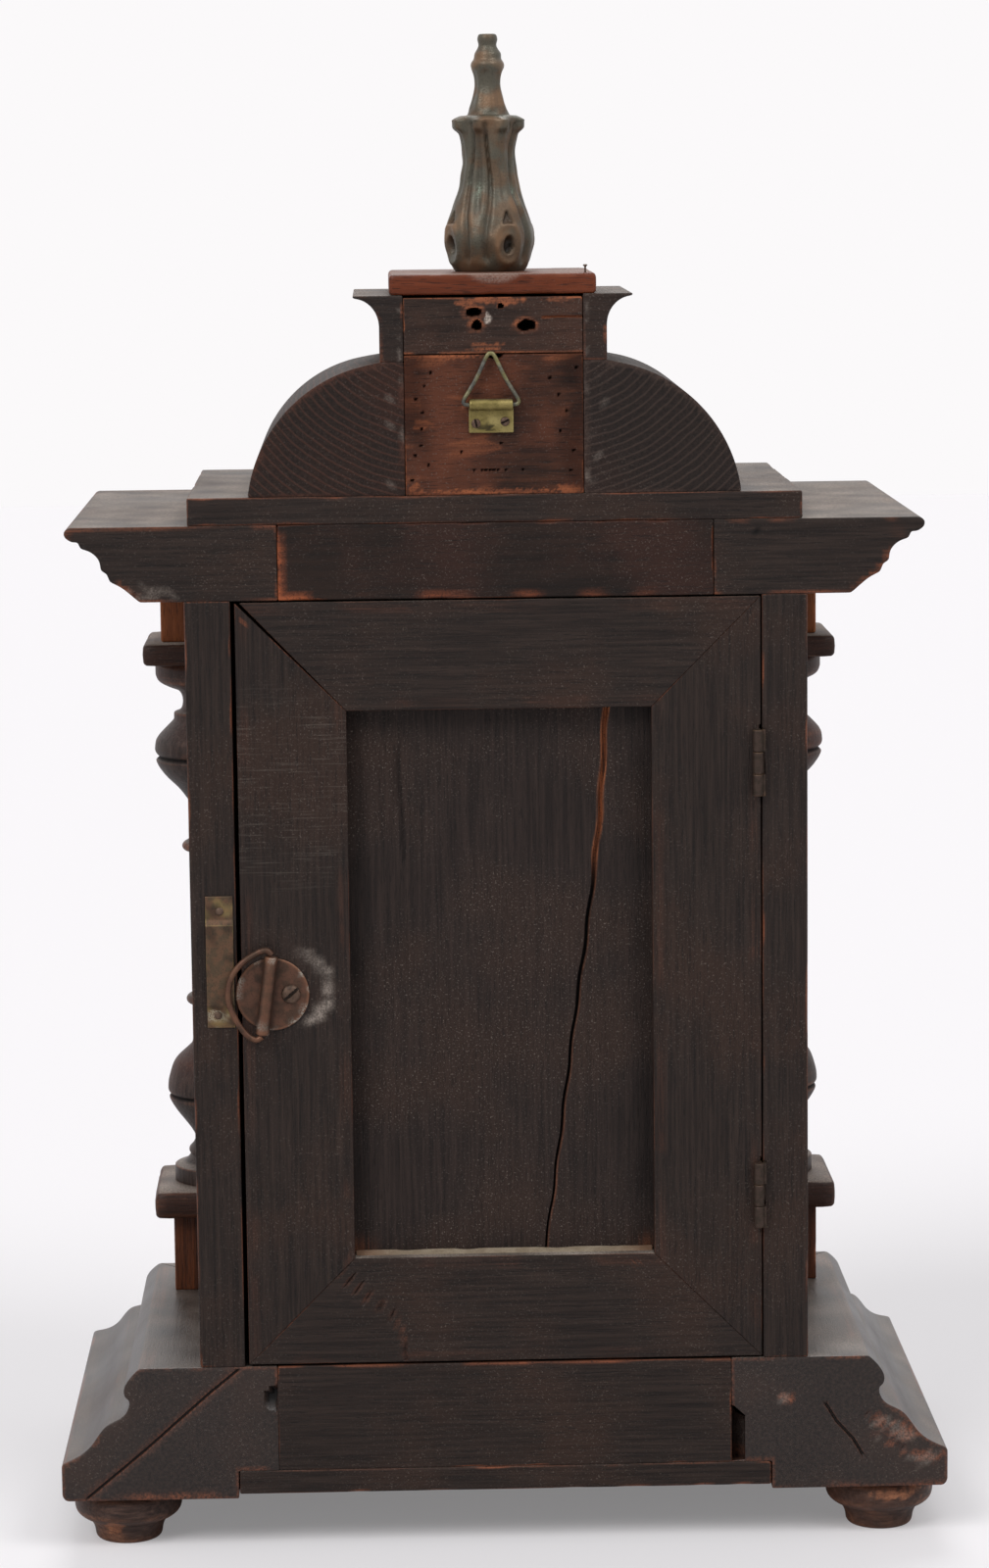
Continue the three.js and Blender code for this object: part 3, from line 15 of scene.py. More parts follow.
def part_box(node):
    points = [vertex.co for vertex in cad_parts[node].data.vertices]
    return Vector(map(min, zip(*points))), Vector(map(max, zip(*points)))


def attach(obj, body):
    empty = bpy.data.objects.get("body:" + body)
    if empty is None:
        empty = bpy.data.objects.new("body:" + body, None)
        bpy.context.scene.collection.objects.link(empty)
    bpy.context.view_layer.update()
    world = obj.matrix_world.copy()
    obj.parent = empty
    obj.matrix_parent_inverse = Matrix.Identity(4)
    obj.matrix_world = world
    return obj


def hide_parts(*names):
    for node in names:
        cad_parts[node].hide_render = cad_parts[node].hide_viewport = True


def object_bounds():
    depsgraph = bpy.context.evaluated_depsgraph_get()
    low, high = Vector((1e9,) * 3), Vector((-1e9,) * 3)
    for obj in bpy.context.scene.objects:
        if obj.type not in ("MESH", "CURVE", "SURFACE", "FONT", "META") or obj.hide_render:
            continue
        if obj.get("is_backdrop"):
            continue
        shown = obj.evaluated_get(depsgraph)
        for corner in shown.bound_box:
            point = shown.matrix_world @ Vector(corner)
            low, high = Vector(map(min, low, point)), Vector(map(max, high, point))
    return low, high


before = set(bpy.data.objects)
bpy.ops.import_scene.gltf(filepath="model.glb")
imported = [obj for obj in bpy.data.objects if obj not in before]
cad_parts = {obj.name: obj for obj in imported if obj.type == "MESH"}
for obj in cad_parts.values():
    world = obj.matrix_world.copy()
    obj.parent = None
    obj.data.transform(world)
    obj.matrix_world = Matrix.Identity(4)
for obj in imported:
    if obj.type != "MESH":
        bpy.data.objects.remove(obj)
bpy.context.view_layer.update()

# %% [markdown]
# ## Camera
# The photograph was taken from behind the clock, a little to its right and from above, with a long
# lens. A camera fitted to the clock's symmetric edges gives the place and the three directions below,
# so no eye is needed to match the view. The picture is 1009 by 1600 pixels and stands upright.

# %% Camera
MM = 0.001
BACK = 74.85  # the clock's back plane lies at this y, in millimetres
FOCAL_PIXELS = 4413.4
PICTURE_HEIGHT = 1600
right = Vector((-0.999573, 0.026955, -0.011278))
up = -Vector((0.015079, 0.145236, -0.989282))
towards_viewer = -Vector((-0.025028, -0.98903, -0.145581))
camera_data = bpy.data.cameras.new("camera")
camera_data.sensor_fit = "VERTICAL"
camera_data.sensor_height = 36
camera_data.lens = 36 * FOCAL_PIXELS / PICTURE_HEIGHT
camera = bpy.data.objects.new("camera", camera_data)
bpy.context.scene.collection.objects.link(camera)
turn = Matrix((right, up, towards_viewer)).transposed().to_4x4()
camera.matrix_world = Matrix.Translation(Vector((34.3, 1310.5 + BACK, 435.1)) * MM) @ turn
bpy.context.scene.camera = camera
print("lens", round(camera_data.lens, 1), "mm")

# %% [markdown]
# ## Colours and nodes
# Colours are picked as sRGB hex values, but shaders work in linear light, so one function turns the
# one into the other. Building a material by hand repeats one act, adding a node with its settings and
# links, and a second small function does that.

# %% Colour and node helpers
def linear(hex_colour):
    """Turns an sRGB hex value such as #a0b1c2 into linear red, green, blue and alpha."""
    parts = [int(hex_colour[i : i + 2], 16) / 255 for i in (1, 3, 5)]
    return [c / 12.92 if c <= 0.04045 else ((c + 0.055) / 1.055) ** 2.4 for c in parts] + [1.0]


def add(tree, kind, sockets=None, out=0, **settings):
    """Adds a node with its settings, values and links, and gives back one of its outputs."""
    made = tree.nodes.new(kind)
    for name, value in settings.items():
        setattr(made, name, value)
    for name, value in (sockets or {}).items():
        if isinstance(value, bpy.types.NodeSocket):
            tree.links.new(value, made.inputs[name])
        else:
            made.inputs[name].default_value = value
    return made.outputs[out] if made.outputs else None


def new_material(name):
    """An empty material, and the tree that its nodes go in."""
    material = bpy.data.materials.new(name)
    material.use_nodes = True
    material.node_tree.nodes.clear()
    return material, material.node_tree


# %% [markdown]
# ## Light and floor
# A clock like this is photographed in a white tent: soft light from both upper sides and a white
# ground. Two wide suns and an even sky do that, and they light every part of the floor the same. Only
# rays from the camera see the pure white ground; the object itself gets a plain level of light.

# %% Light
scene = bpy.context.scene
scene.view_settings.view_transform = "Standard"
world = bpy.data.worlds.new("tent")
scene.world = world
world.use_nodes = True
sky = world.node_tree
sky.nodes.clear()
CAMERA_RAY, GLOSSY_RAY, PASSED_RAY = "Is Camera Ray", "Is Glossy Ray", "Is Transmission Ray"
place = add(sky, "ShaderNodeTexCoord", out="Generated")
across = add(sky, "ShaderNodeSeparateXYZ", {0: place}, "Y")
dim = add(
    sky, "ShaderNodeMapRange",
    {"Value": across, "From Min": -0.3, "From Max": 0.7, "To Min": 1.0, "To Max": 0.5},
)
glossy = add(sky, "ShaderNodeLightPath", out=GLOSSY_RAY)
passed = add(sky, "ShaderNodeLightPath", out=PASSED_RAY)
direct = add(sky, "ShaderNodeLightPath", out=CAMERA_RAY)
reflected = add(sky, "ShaderNodeMath", {0: glossy, 1: dim}, operation="MULTIPLY")
seen = add(sky, "ShaderNodeMath", {0: direct, 1: passed}, operation="MAXIMUM")
either = add(sky, "ShaderNodeMath", {0: seen, 1: reflected}, operation="MAXIMUM")
ground = add(sky, "ShaderNodeBackground", {"Color": linear("#fbf9fa"), "Strength": 1.0})
soft = add(sky, "ShaderNodeBackground", {"Color": linear("#f6f5f7"), "Strength": 0.4})
mixed = add(sky, "ShaderNodeMixShader", {0: either, 1: soft, 2: ground})
add(sky, "ShaderNodeOutputWorld", {"Surface": mixed})

for name, azimuth, height, strength in (
    ("key", 40, 42, 1.42), ("fill", -48, 46, 0.94), ("front", 180, 52, 0.9)
):
    sun = bpy.data.lights.new(name, "SUN")
    sun.energy = strength
    sun.angle = math.radians(28)
    lamp = bpy.data.objects.new(name, sun)
    scene.collection.objects.link(lamp)
    side, lift = math.radians(azimuth), math.radians(height)
    towards = Vector((math.sin(side) * math.cos(lift), math.cos(side) * math.cos(lift), math.sin(lift)))
    lamp.rotation_euler = towards.to_track_quat("Z", "Y").to_euler()
    print("sun", name, "from", [round(v, 2) for v in towards])

# %% Floor
paper, tree = new_material("white paper ground")
direct = add(tree, "ShaderNodeLightPath", out=CAMERA_RAY)
matt = add(tree, "ShaderNodeBsdfDiffuse", {"Color": linear("#d6d4d6")})
lift = add(tree, "ShaderNodeEmission", {"Color": linear("#fbf9fa"), "Strength": 0.22})
none = add(tree, "ShaderNodeEmission", {"Strength": 0.0})
lifted = add(tree, "ShaderNodeMixShader", {0: direct, 1: none, 2: lift})
total = add(tree, "ShaderNodeAddShader", {0: matt, 1: lifted})
add(tree, "ShaderNodeOutputMaterial", {"Surface": total})
sheet = bpy.data.meshes.new("floor")
sheet.from_pydata([(-4, -4, 0), (4, -4, 0), (4, 4, 0), (-4, 4, 0)], [], [(0, 1, 2, 3)])
sheet.materials.append(paper)
floor = bpy.data.objects.new("floor", sheet)
scene.collection.objects.link(floor)
floor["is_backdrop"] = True

# %% [markdown]
# ## Old wood
# The case is fruitwood or beech, stained black to pass for ebony and then worn for over a century.
# Four things show: streaks of stain along the grain, fine dark pores, pale grit caught in the polish,
# and orange bare wood where an arris has rubbed through. The pieces carry a colour attribute called
# state: red says how bare the wood is, green adds dark dirt in joints and painted shade in cracks,
# holes, grooves and creases, blue adds dust, and on the cap a painted highlight. Grain sizes are in
# millimetres. Pores of real beech are under 0.1 mm wide, so they are drawn at 0.3 mm to show.

# %% Wood finish
AXES = {"x": 0, "y": 1, "z": 2}
RGBA = {"data_type": "RGBA"}
SMOOTH = {"interpolation_type": "SMOOTHSTEP"}
TIMES = {"operation": "MULTIPLY"}
# Sockets of a colour mix: its factor, the colour under it, the colour over it, and the result.
FACTOR, UNDER, OVER, MIXED = 0, 6, 7, 2
# The crevice colour is dark dirt in joints and painted shade in cracks, holes and grooves; the powder
# colour is dust, and on the cap a painted highlight.
PORE, GRIT, SCRATCH, POWDER_AND_HIGHLIGHT, CREVICE_DIRT_AND_SHADE = "#120e0d", "#776d65", "#6e665e", "#b3a69b", "#070505"
MIX, RANGE, MATH, NOISE = "ShaderNodeMix", "ShaderNodeMapRange", "ShaderNodeMath", "ShaderNodeTexNoise"


def stretch(along, length, width):
    """Scale of a mapping whose noise of scale 1 has lumps this long along the grain, in mm."""
    scale = [1 / (width * MM)] * 3
    scale[AXES[along]] = 1 / (length * MM)
    return scale


def old_wood(
    name, along, dark, mid, under, bare, gloss=0.45, under_share=0.55, streak=(36, 1.1), grit=0.4,
    ring=None, relief=0.12, specular=0.2, comb=None,
):
    """Stained wood with its grain along one axis; ring is the pith's x and z for a face of end grain, and
    comb the two heights between which level scratches cross the grain."""
    material, tree = new_material(name)
    place = add(tree, "ShaderNodeTexCoord", out="Object")
    marks = add(tree, "ShaderNodeAttribute", out="Color", attribute_name="state")
    bare_at = add(tree, "ShaderNodeSeparateColor", {0: marks}, "Red")
    dirt_and_shade_at = add(tree, "ShaderNodeSeparateColor", {0: marks}, "Green")
    dust_and_highlight_at = add(tree, "ShaderNodeSeparateColor", {0: marks}, "Blue")
    # Streaks: the stain took unevenly between early and late wood.
    long_place = add(tree, "ShaderNodeMapping", {"Vector": place, "Scale": stretch(along, *streak)})
    fibre = add(tree, NOISE, {"Vector": long_place, "Scale": 1, "Detail": 7, "Roughness": 0.62})
    cloud = add(tree, NOISE, {"Vector": place, "Scale": 1 / (38 * MM), "Detail": 4})
    light_streak = add(tree, RANGE, {"Value": fibre, "From Min": 0.27, "From Max": 0.76}, **SMOOTH)
    thin_stain = add(
        tree, RANGE, {"Value": cloud, "From Min": 0.44, "From Max": 0.66, "To Max": under_share}, **SMOOTH
    )
    body = add(tree, MIX, {FACTOR: light_streak, UNDER: linear(dark), OVER: linear(mid)}, MIXED, **RGBA)
    body = add(tree, MIX, {FACTOR: thin_stain, UNDER: body, OVER: linear(under)}, MIXED, **RGBA)
    height = fibre
    if ring:
        # End grain: year rings are circles round the pith, a little bent.
        flat = add(tree, "ShaderNodeVectorMath", {0: place, 1: (1, 0, 1)}, operation="MULTIPLY")
        centre = (ring[0] * MM, 0, ring[1] * MM)
        reach = add(tree, "ShaderNodeVectorMath", {0: flat, 1: centre}, "Value", operation="DISTANCE")
        bent = add(tree, MATH, {0: cloud, 1: 6 * MM, 2: reach}, operation="MULTIPLY_ADD")
        turns = add(tree, MATH, {0: bent, 1: 2 * math.pi / (2.3 * MM)}, **TIMES)
        year = add(tree, MATH, {0: turns}, operation="SINE")
        line = add(
            tree, RANGE, {"Value": year, "From Min": 0.35, "From Max": 1.0, "To Max": 0.38}, **SMOOTH
        )
        body = add(tree, MIX, {FACTOR: line, UNDER: body, OVER: linear(bare)}, MIXED, **RGBA)
        height = add(tree, MATH, {0: line, 1: 1.2, 2: fibre}, operation="MULTIPLY_ADD")
    # Pores: short dark scratches along the grain.
    pore_place = add(tree, "ShaderNodeMapping", {"Vector": place, "Scale": stretch(along, 5, 0.3)})
    pore = add(tree, NOISE, {"Vector": pore_place, "Scale": 1, "Detail": 2})
    pores = add(tree, RANGE, {"Value": pore, "From Min": 0.56, "From Max": 0.7, "To Max": 0.6}, **SMOOTH)
    body = add(tree, MIX, {FACTOR: pores, UNDER: body, OVER: linear(PORE)}, MIXED, **RGBA)
    # Grit: pale specks of dust set in the polish, thick in some places and thin in others.
    fleck = add(tree, NOISE, {"Vector": place, "Scale": 1 / (0.6 * MM), "Detail": 2, "Roughness": 0.7})
    speck = add(tree, RANGE, {"Value": fleck, "From Min": 0.57, "From Max": 0.74, "To Max": grit}, **SMOOTH)
    thick = add(tree, RANGE, {"Value": cloud, "From Min": 0.34, "From Max": 0.6}, **SMOOTH)
    caught = add(tree, MATH, {0: speck, 1: thick}, **TIMES)
    body = add(tree, MIX, {FACTOR: caught, UNDER: body, OVER: linear(GRIT)}, MIXED, **RGBA)
    if comb:
        level = add(tree, "ShaderNodeMapping", {"Vector": place, "Scale": stretch("x", 12, 0.6)})
        lines = add(tree, NOISE, {"Vector": level, "Scale": 1, "Detail": 3})
        lines = add(
            tree, RANGE, {"Value": lines, "From Min": 0.54, "From Max": 0.74, "To Max": 0.24}, **SMOOTH
        )
        height_at = add(tree, "ShaderNodeSeparateXYZ", {0: place}, "Z")
        for bound, inner in ((comb[0], comb[0] + 14), (comb[1], comb[1] - 14)):
            fade = add(
                tree, RANGE, {"Value": height_at, "From Min": bound * MM, "From Max": inner * MM}, **SMOOTH
            )
            lines = add(tree, MATH, {0: lines, 1: fade}, **TIMES)
        body = add(tree, MIX, {FACTOR: lines, UNDER: body, OVER: linear(SCRATCH)}, MIXED, **RGBA)
    # Bare wood, dust, dark joints and the painted shade of cracks and holes, wherever the piece's state
    # says so.
    fresh = add(tree, RANGE, {"Value": fibre, "From Min": 0.3, "From Max": 0.7}, **SMOOTH)
    rubbed = add(tree, MIX, {FACTOR: fresh, UNDER: linear(under), OVER: linear(bare)}, MIXED, **RGBA)
    ragged = add(tree, RANGE, {"Value": fleck, "From Min": 0.25, "From Max": 0.5}, **SMOOTH)
    torn = add(tree, MATH, {0: bare_at, 1: ragged}, **TIMES)
    body = add(tree, MIX, {FACTOR: torn, UNDER: body, OVER: rubbed}, MIXED, **RGBA)
    grains = add(tree, RANGE, {"Value": fleck, "From Min": 0.36, "From Max": 0.62, "To Min": 0.4}, **SMOOTH)
    powder = add(tree, MATH, {0: dust_and_highlight_at, 1: grains}, **TIMES)
    # Pale powder: dust, and on the cap a painted highlight.
    body = add(tree, MIX, {FACTOR: powder, UNDER: body, OVER: linear(POWDER_AND_HIGHLIGHT)}, MIXED, **RGBA)
    body = add(tree, MIX, {FACTOR: dirt_and_shade_at, UNDER: body, OVER: linear(CREVICE_DIRT_AND_SHADE)}, MIXED, **RGBA)
    # Polish: handled places shine a little, dust and cracks don't.
    rough = add(tree, MATH, {0: cloud, 1: 0.3, 2: gloss - 0.12}, operation="MULTIPLY_ADD")
    rough = add(tree, MATH, {0: powder, 1: 0.35, 2: rough}, operation="MULTIPLY_ADD")
    rough = add(tree, MATH, {0: dirt_and_shade_at, 1: 0.4, 2: rough}, operation="MULTIPLY_ADD", use_clamp=True)
    lumps = add(tree, MATH, {0: fleck, 1: 0.5, 2: height}, operation="MULTIPLY_ADD")
    lumps = add(tree, MATH, {0: pores, 1: -0.8, 2: lumps}, operation="MULTIPLY_ADD")
    bump = add(tree, "ShaderNodeBump", {"Height": lumps, "Distance": relief * MM, "Strength": 1.0})
    surface = add(
        tree, "ShaderNodeBsdfPrincipled",
        {"Base Color": body, "Roughness": rough, "Normal": bump, "Specular IOR Level": specular},
    )
    add(tree, "ShaderNodeOutputMaterial", {"Surface": surface})
    return material


# Ebonised beech: iron and logwood stain under shellac, which gives a brown-black with a dull shine.
EBONY = {"dark": "#181210", "mid": "#342924", "under": "#37261e", "bare": "#8e5136"}
ebonised = {axis: old_wood(f"ebonised beech, grain along {axis}", axis, **EBONY) for axis in AXES}
print("wood materials:", [m.name for m in ebonised.values()])

# %% More woods
# Mouldings are handled and waxed, so their slopes mirror the white tent at a glancing angle.
waxed = {
    axis: old_wood(
        f"ebonised beech, waxed, grain along {axis}", axis, **EBONY, gloss=0.32, specular=0.38, relief=0.05
    )
    for axis in "xy"
}
# The panel is the same wood flatly sawn, and its dust makes it look greyer than the frame.
stile_wood = old_wood("ebonised beech, scratched across", "z", **EBONY, comb=(204, 280))
# No grit settles behind the glass, so the dial mask is the same wood, smooth and evenly dark.
mask_wood = old_wood("ebonised mask, behind glass", "z", **EBONY, grit=0.0, relief=0.01, streak=(36, 2.4))
panel_wood = old_wood(
    "ebonised panel, dusty", "z", "#1a1311", "#322723", "#35261f", "#a8623c", grit=0.75, gloss=0.55
)
# Pine takes stain in broad bands, so the cornice rail shows red-brown stripes.
rail_wood = old_wood(
    "ebonised pine rail", "x", "#150e0b", "#2a1d17", "#38211a", "#9c5433", under_share=0.6, streak=(60, 3.2)
)
# The crown boards never had more than one thin coat: coarse orange-brown pine, rough and dull.
crown_wood = old_wood(
    "brown pine crown board", "x", "#1d100b", "#442719", "#5c3322", "#9c5a38",
    under_share=0.9, streak=(22, 1.6), gloss=0.6, grit=0.35,
)
crown_upper_wood = old_wood(
    "brown pine crown board, upper", "x", "#1d1410", "#3b2b24", "#4d3227", "#a8623f",
    under_share=0.7, streak=(24, 1.4), gloss=0.6, grit=0.5,
)
# The capital blocks are polished walnut, the brightest wood of the case.
block_wood = old_wood(
    "polished walnut block", "z", "#66361c", "#93542f", "#7a4526", "#ad6c42", streak=(30, 2.0), grit=0.12
)
# Slabs and pedestals are the same walnut under old dark wax.
slab_wood = old_wood("dark walnut slab", "x", "#241815", "#43291f", "#35221b", "#8a5233", grit=0.25)
pedestal_wood = old_wood("dull walnut block", "z", "#341c12", "#64361f", "#4a2819", "#9a5a34", grit=0.2)
# The cap board under the finial is red mahogany, waxed, so it glows warm against the black.
cap_wood = old_wood(
    "polished mahogany", "x", "#54240f", "#6e3620", "#7c3f26", "#a8613c", streak=(50, 2.4), grit=0.12,
    gloss=0.4
)
# Turned beech: the stain is thin on the crests of the turning, which look redder.
turned_wood = old_wood(
    "turned beech, stained", "z", "#221916", "#453833", "#4f3028", "#8a5638", streak=(30, 1.2), grit=0.3,
    gloss=0.42
)
foot_wood = old_wood(
    "turned foot, worn", "x", "#2c201c", "#56423a", "#6c4634", "#a87050", streak=(12, 1.2), grit=0.3,
    gloss=0.42
)
# The dome's ends are sawn across the trunk and show their year rings.
dome_left_wood = old_wood(
    "end grain block, latch side", "y", "#18100d", "#2d211c", "#362018", "#54352a", ring=(14, 398),
    grit=0.3, gloss=0.6
)
dome_right_wood = old_wood(
    "end grain block, hinge side", "y", "#17110f", "#2a201c", "#2f201b", "#4b3c35", ring=(-10, 404),
    grit=0.35, gloss=0.6
)

# %% [markdown]
# ## Old metal
# The finial is cast spelter or bronze with brown-grey patina, green in its hollows. Latch, keeper,
# hinges and hanger are sheet brass, tarnished to different degrees, and the screws are iron. All of
# them share one build: a metal whose colour and roughness wander with noise, plus the same state
# attribute, here red for bright rubbed metal, green for dirt and painted shade in hollows and creases
# and blue for pale bloom.

# %% Metal finish
def old_metal(
    name, base, patch, rubbed, bloom, dirt_and_shade="#15100c", metallic=0.8, rough=0.5, lump=3.0, relief=0.05
):
    """Tarnished metal whose patches are about lump millimetres across."""
    material, tree = new_material(name)
    place = add(tree, "ShaderNodeTexCoord", out="Object")
    marks = add(tree, "ShaderNodeAttribute", out="Color", attribute_name="state")
    bright_at = add(tree, "ShaderNodeSeparateColor", {0: marks}, "Red")
    grime_and_shade_at = add(tree, "ShaderNodeSeparateColor", {0: marks}, "Green")
    bloom_at = add(tree, "ShaderNodeSeparateColor", {0: marks}, "Blue")
    cloud = add(tree, NOISE, {"Vector": place, "Scale": 1 / (lump * MM), "Detail": 5})
    grain = add(tree, NOISE, {"Vector": place, "Scale": 1 / (0.5 * MM), "Detail": 3})
    patches = add(tree, RANGE, {"Value": cloud, "From Min": 0.42, "From Max": 0.62}, **SMOOTH)
    body = add(tree, MIX, {FACTOR: patches, UNDER: linear(base), OVER: linear(patch)}, MIXED, **RGBA)
    pits = add(tree, RANGE, {"Value": grain, "From Min": 0.5, "From Max": 0.72, "To Max": 0.35}, **SMOOTH)
    body = add(tree, MIX, {FACTOR: pits, UNDER: body, OVER: linear(dirt_and_shade)}, MIXED, **RGBA)
    body = add(tree, MIX, {FACTOR: bright_at, UNDER: body, OVER: linear(rubbed)}, MIXED, **RGBA)
    powder = add(tree, RANGE, {"Value": grain, "From Min": 0.35, "From Max": 0.6}, **SMOOTH)
    pale = add(tree, MATH, {0: bloom_at, 1: powder}, **TIMES)
    body = add(tree, MIX, {FACTOR: pale, UNDER: body, OVER: linear(bloom)}, MIXED, **RGBA)
    # Dark dirt, which in hollows and creases is painted shade as well.
    body = add(tree, MIX, {FACTOR: grime_and_shade_at, UNDER: body, OVER: linear(dirt_and_shade)}, MIXED, **RGBA)
    shine = add(tree, MATH, {0: cloud, 1: 0.4, 2: rough - 0.2}, operation="MULTIPLY_ADD")
    covered = add(
        tree, MATH, {0: pale, 1: -metallic, 2: metallic}, operation="MULTIPLY_ADD", use_clamp=True
    )
    lumps = add(tree, MATH, {0: grain, 1: 0.6, 2: cloud}, operation="MULTIPLY_ADD")
    bump = add(tree, "ShaderNodeBump", {"Height": lumps, "Distance": relief * MM, "Strength": 1.0})
    surface = add(
        tree, "ShaderNodeBsdfPrincipled",
        {"Base Color": body, "Roughness": shine, "Metallic": covered, "Normal": bump},
    )
    add(tree, "ShaderNodeOutputMaterial", {"Surface": surface})
    return material


# Cast finial: brown-grey lacquer and patina over bronze, so it reads as old paint more than metal.
patina = old_metal(
    "patinated cast finial", "#565246", "#5e4c3a", "#86664a", "#93a08c", metallic=0.45, rough=0.44, lump=6,
    relief=0.2
)
# Latch and keeper: sheet brass gone brown, with yellow where fingers rub it.
latch_brass = old_metal("tarnished latch brass", "#5c3f31", "#4a362a", "#8a6048", "#a5a297", metallic=0.6)
keeper_brass = old_metal(
    "tarnished keeper brass", "#634936", "#544433", "#a8935a", "#b9b29a", metallic=0.55, rough=0.55, lump=2
)
hinge_brass = old_metal(
    "dull hinge brass", "#3f3028", "#33281f", "#7a5c40", "#8f8a7c", metallic=0.5, rough=0.6, lump=2
)
# Hanger: a later, stamped part, yellow-olive plate and dull grey wire.
plate_brass = old_metal(
    "yellow passivated plate", "#7d7040", "#938450", "#b8aa74", "#8f7d68", metallic=0.7, rough=0.4, lump=4
)
wire_zinc = old_metal("grey zinc wire", "#565550", "#6f6e66", "#b3a84e", "#a5a193", metallic=0.7, lump=1.5)
# Screws and nails: iron under thin brown rust.
iron = old_metal(
    "iron screw", "#584539", "#685345", "#96887a", "#8d8478", metallic=0.6, rough=0.55, lump=1.5
)
# Movement: brass under lacquer, kept clean in the closed case, with polished steel arbors.
movement_brass = old_metal(
    "lacquered movement brass", "#a98c4a", "#967838", "#c8ad6a", "#b5aa84", metallic=1.0, rough=0.42,
    lump=12, relief=0.01
)
steel = old_metal(
    "grey steel", "#6d6e70", "#5c5d60", "#9a9b9d", "#8d8d8a", metallic=1.0, rough=0.4, lump=8, relief=0.01
)
# Hands: steel heated until it turns deep blue.
blued = old_metal(
    "blued steel", "#161d33", "#1d2740", "#3a4664", "#444a55", metallic=1.0, rough=0.35, lump=10,
    relief=0.005
)

# %% Enamel and glass
# Dial: cream vitreous enamel, smooth and faintly clouded. Its numerals are fired on in matt black.
enamel = old_metal(
    "cream enamel", "#e6dfcd", "#ece6d6", "#f4f0e4", "#cfc6b0", dirt_and_shade="#b8ac92", metallic=0.0, rough=0.42,
    lump=18, relief=0.004
)
numeral_black = old_metal(
    "fired black numerals", "#16130f", "#1c1914", "#2a261f", "#2a261f", metallic=0.0, relief=0.002
)
# Glass: plain window glass, which shows the dial and a thin gleam. Lamps shine straight through it,
# because light bent by a thin flat pane would only add noise. Its IOR is under the usual 1.5, so that
# the white tent's reflection doesn't hide the dial.
glass, tree = new_material("old window glass")
pane = add(
    tree, "ShaderNodeBsdfPrincipled",
    {"Base Color": linear("#f4f8f6"), "Roughness": 0.0, "IOR": 1.3, "Transmission Weight": 1.0},
)
open_air = add(tree, "ShaderNodeBsdfTransparent")
shadow = add(tree, "ShaderNodeLightPath", out="Is Shadow Ray")
clear = add(tree, "ShaderNodeMixShader", {0: shadow, 1: pane, 2: open_air})
add(tree, "ShaderNodeOutputMaterial", {"Surface": clear})
print("materials:", len(bpy.data.materials))

# %% [markdown]
# ## Shapes in millimetres
# Every piece below starts as points in millimetres and becomes a mesh at the very end. Wear is never
# even, so one cheap noise is needed everywhere: a sum of sine waves in seeded directions. It is
# smooth, it is the same on every run, and its lump size is a real length.

# %% Noise and masks
def ripple(points, size, seed):
    """Smooth noise between about -1 and 1 at each point, with lumps about size millimetres across."""
    waves = 20
    chance = np.random.default_rng(seed)
    direction = chance.normal(size=(waves, 3))
    direction /= np.linalg.norm(direction, axis=1)[:, None]
    rate = math.pi / size * chance.uniform(0.5, 1.5, (waves, 1))
    phase = chance.uniform(0, 2 * math.pi, waves)
    return np.sin(np.asarray(points) @ (direction * rate).T + phase).sum(1) / math.sqrt(waves / 2) * 0.6


def rise(value, low, high):
    """0 below low, 1 above high and a smooth step between them."""
    share = np.clip((value - low) / (high - low), 0, 1)
    return share * share * (3 - 2 * share)


def near_line(points, knots, half_width):
    """1 on a broken line through (x, z) knots, falling to 0 at half_width from it."""
    x, z = points[:, 0], points[:, 2]
    gap = np.full(len(x), 1e9)
    for (x0, z0), (x1, z1) in zip(knots[:-1], knots[1:]):
        run, climb = x1 - x0, z1 - z0
        share = np.clip(((x - x0) * run + (z - z0) * climb) / (run * run + climb * climb), 0, 1)
        gap = np.minimum(gap, np.hypot(x - x0 - share * run, z - z0 - share * climb))
    return 1 - rise(gap, 0.35 * half_width, half_width)


def blotch(points, x, z, wide, high, seed, ragged=0.35):
    """1 inside a ragged patch round (x, z) with these half sizes."""
    away = np.hypot((points[:, 0] - x) / wide, (points[:, 2] - z) / high)
    return 1 - rise(away + ragged * ripple(points, 0.8 * min(wide, high), seed), 0.7, 1.1)


def mark(state, column, amount):
    """Raises one column of a state: 0 bare or bright, 1 dirt and painted shade, 2 dust and painted
    highlight.
    """
    state[:, column] = np.maximum(state[:, column], amount)


def span(node):
    """Lowest and highest corner of a solid of the frame, in millimetres."""
    low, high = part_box(node)
    return np.array(low) / MM, np.array(high) / MM


print("front base moulding from", *(np.round(v, 1).tolist() for v in span("base_moulding_front")))

# %% [markdown]
# ## From points to a piece
# A shape is a list of three things: points, faces and the state at each point. A closed skin whose
# faces point inwards has a negative volume, so the sign of the volume says when to flip them. Dust is
# added wherever a surface looks up, and smooth shading is kept off sharp arrises by their angle.

# %% Shape to piece
# Column 0 is rubbed wear, column 1 dirt and painted shade in cracks, holes and creases, column 2 dust and,
# on the cap, a painted highlight.
BARE, DIRT_AND_SHADE, DUST_AND_HIGHLIGHT = 0, 1, 2


def volume(points, faces):
    """The volume inside the faces; it is negative when they point inwards."""
    fans = [(f[0], f[i], f[i + 1]) for f in faces for i in range(1, len(f) - 1)]
    a, b, c = (points[list(corner)] for corner in zip(*fans))
    return float(np.einsum("ij,ij->i", a, np.cross(b, c)).sum() / 6)


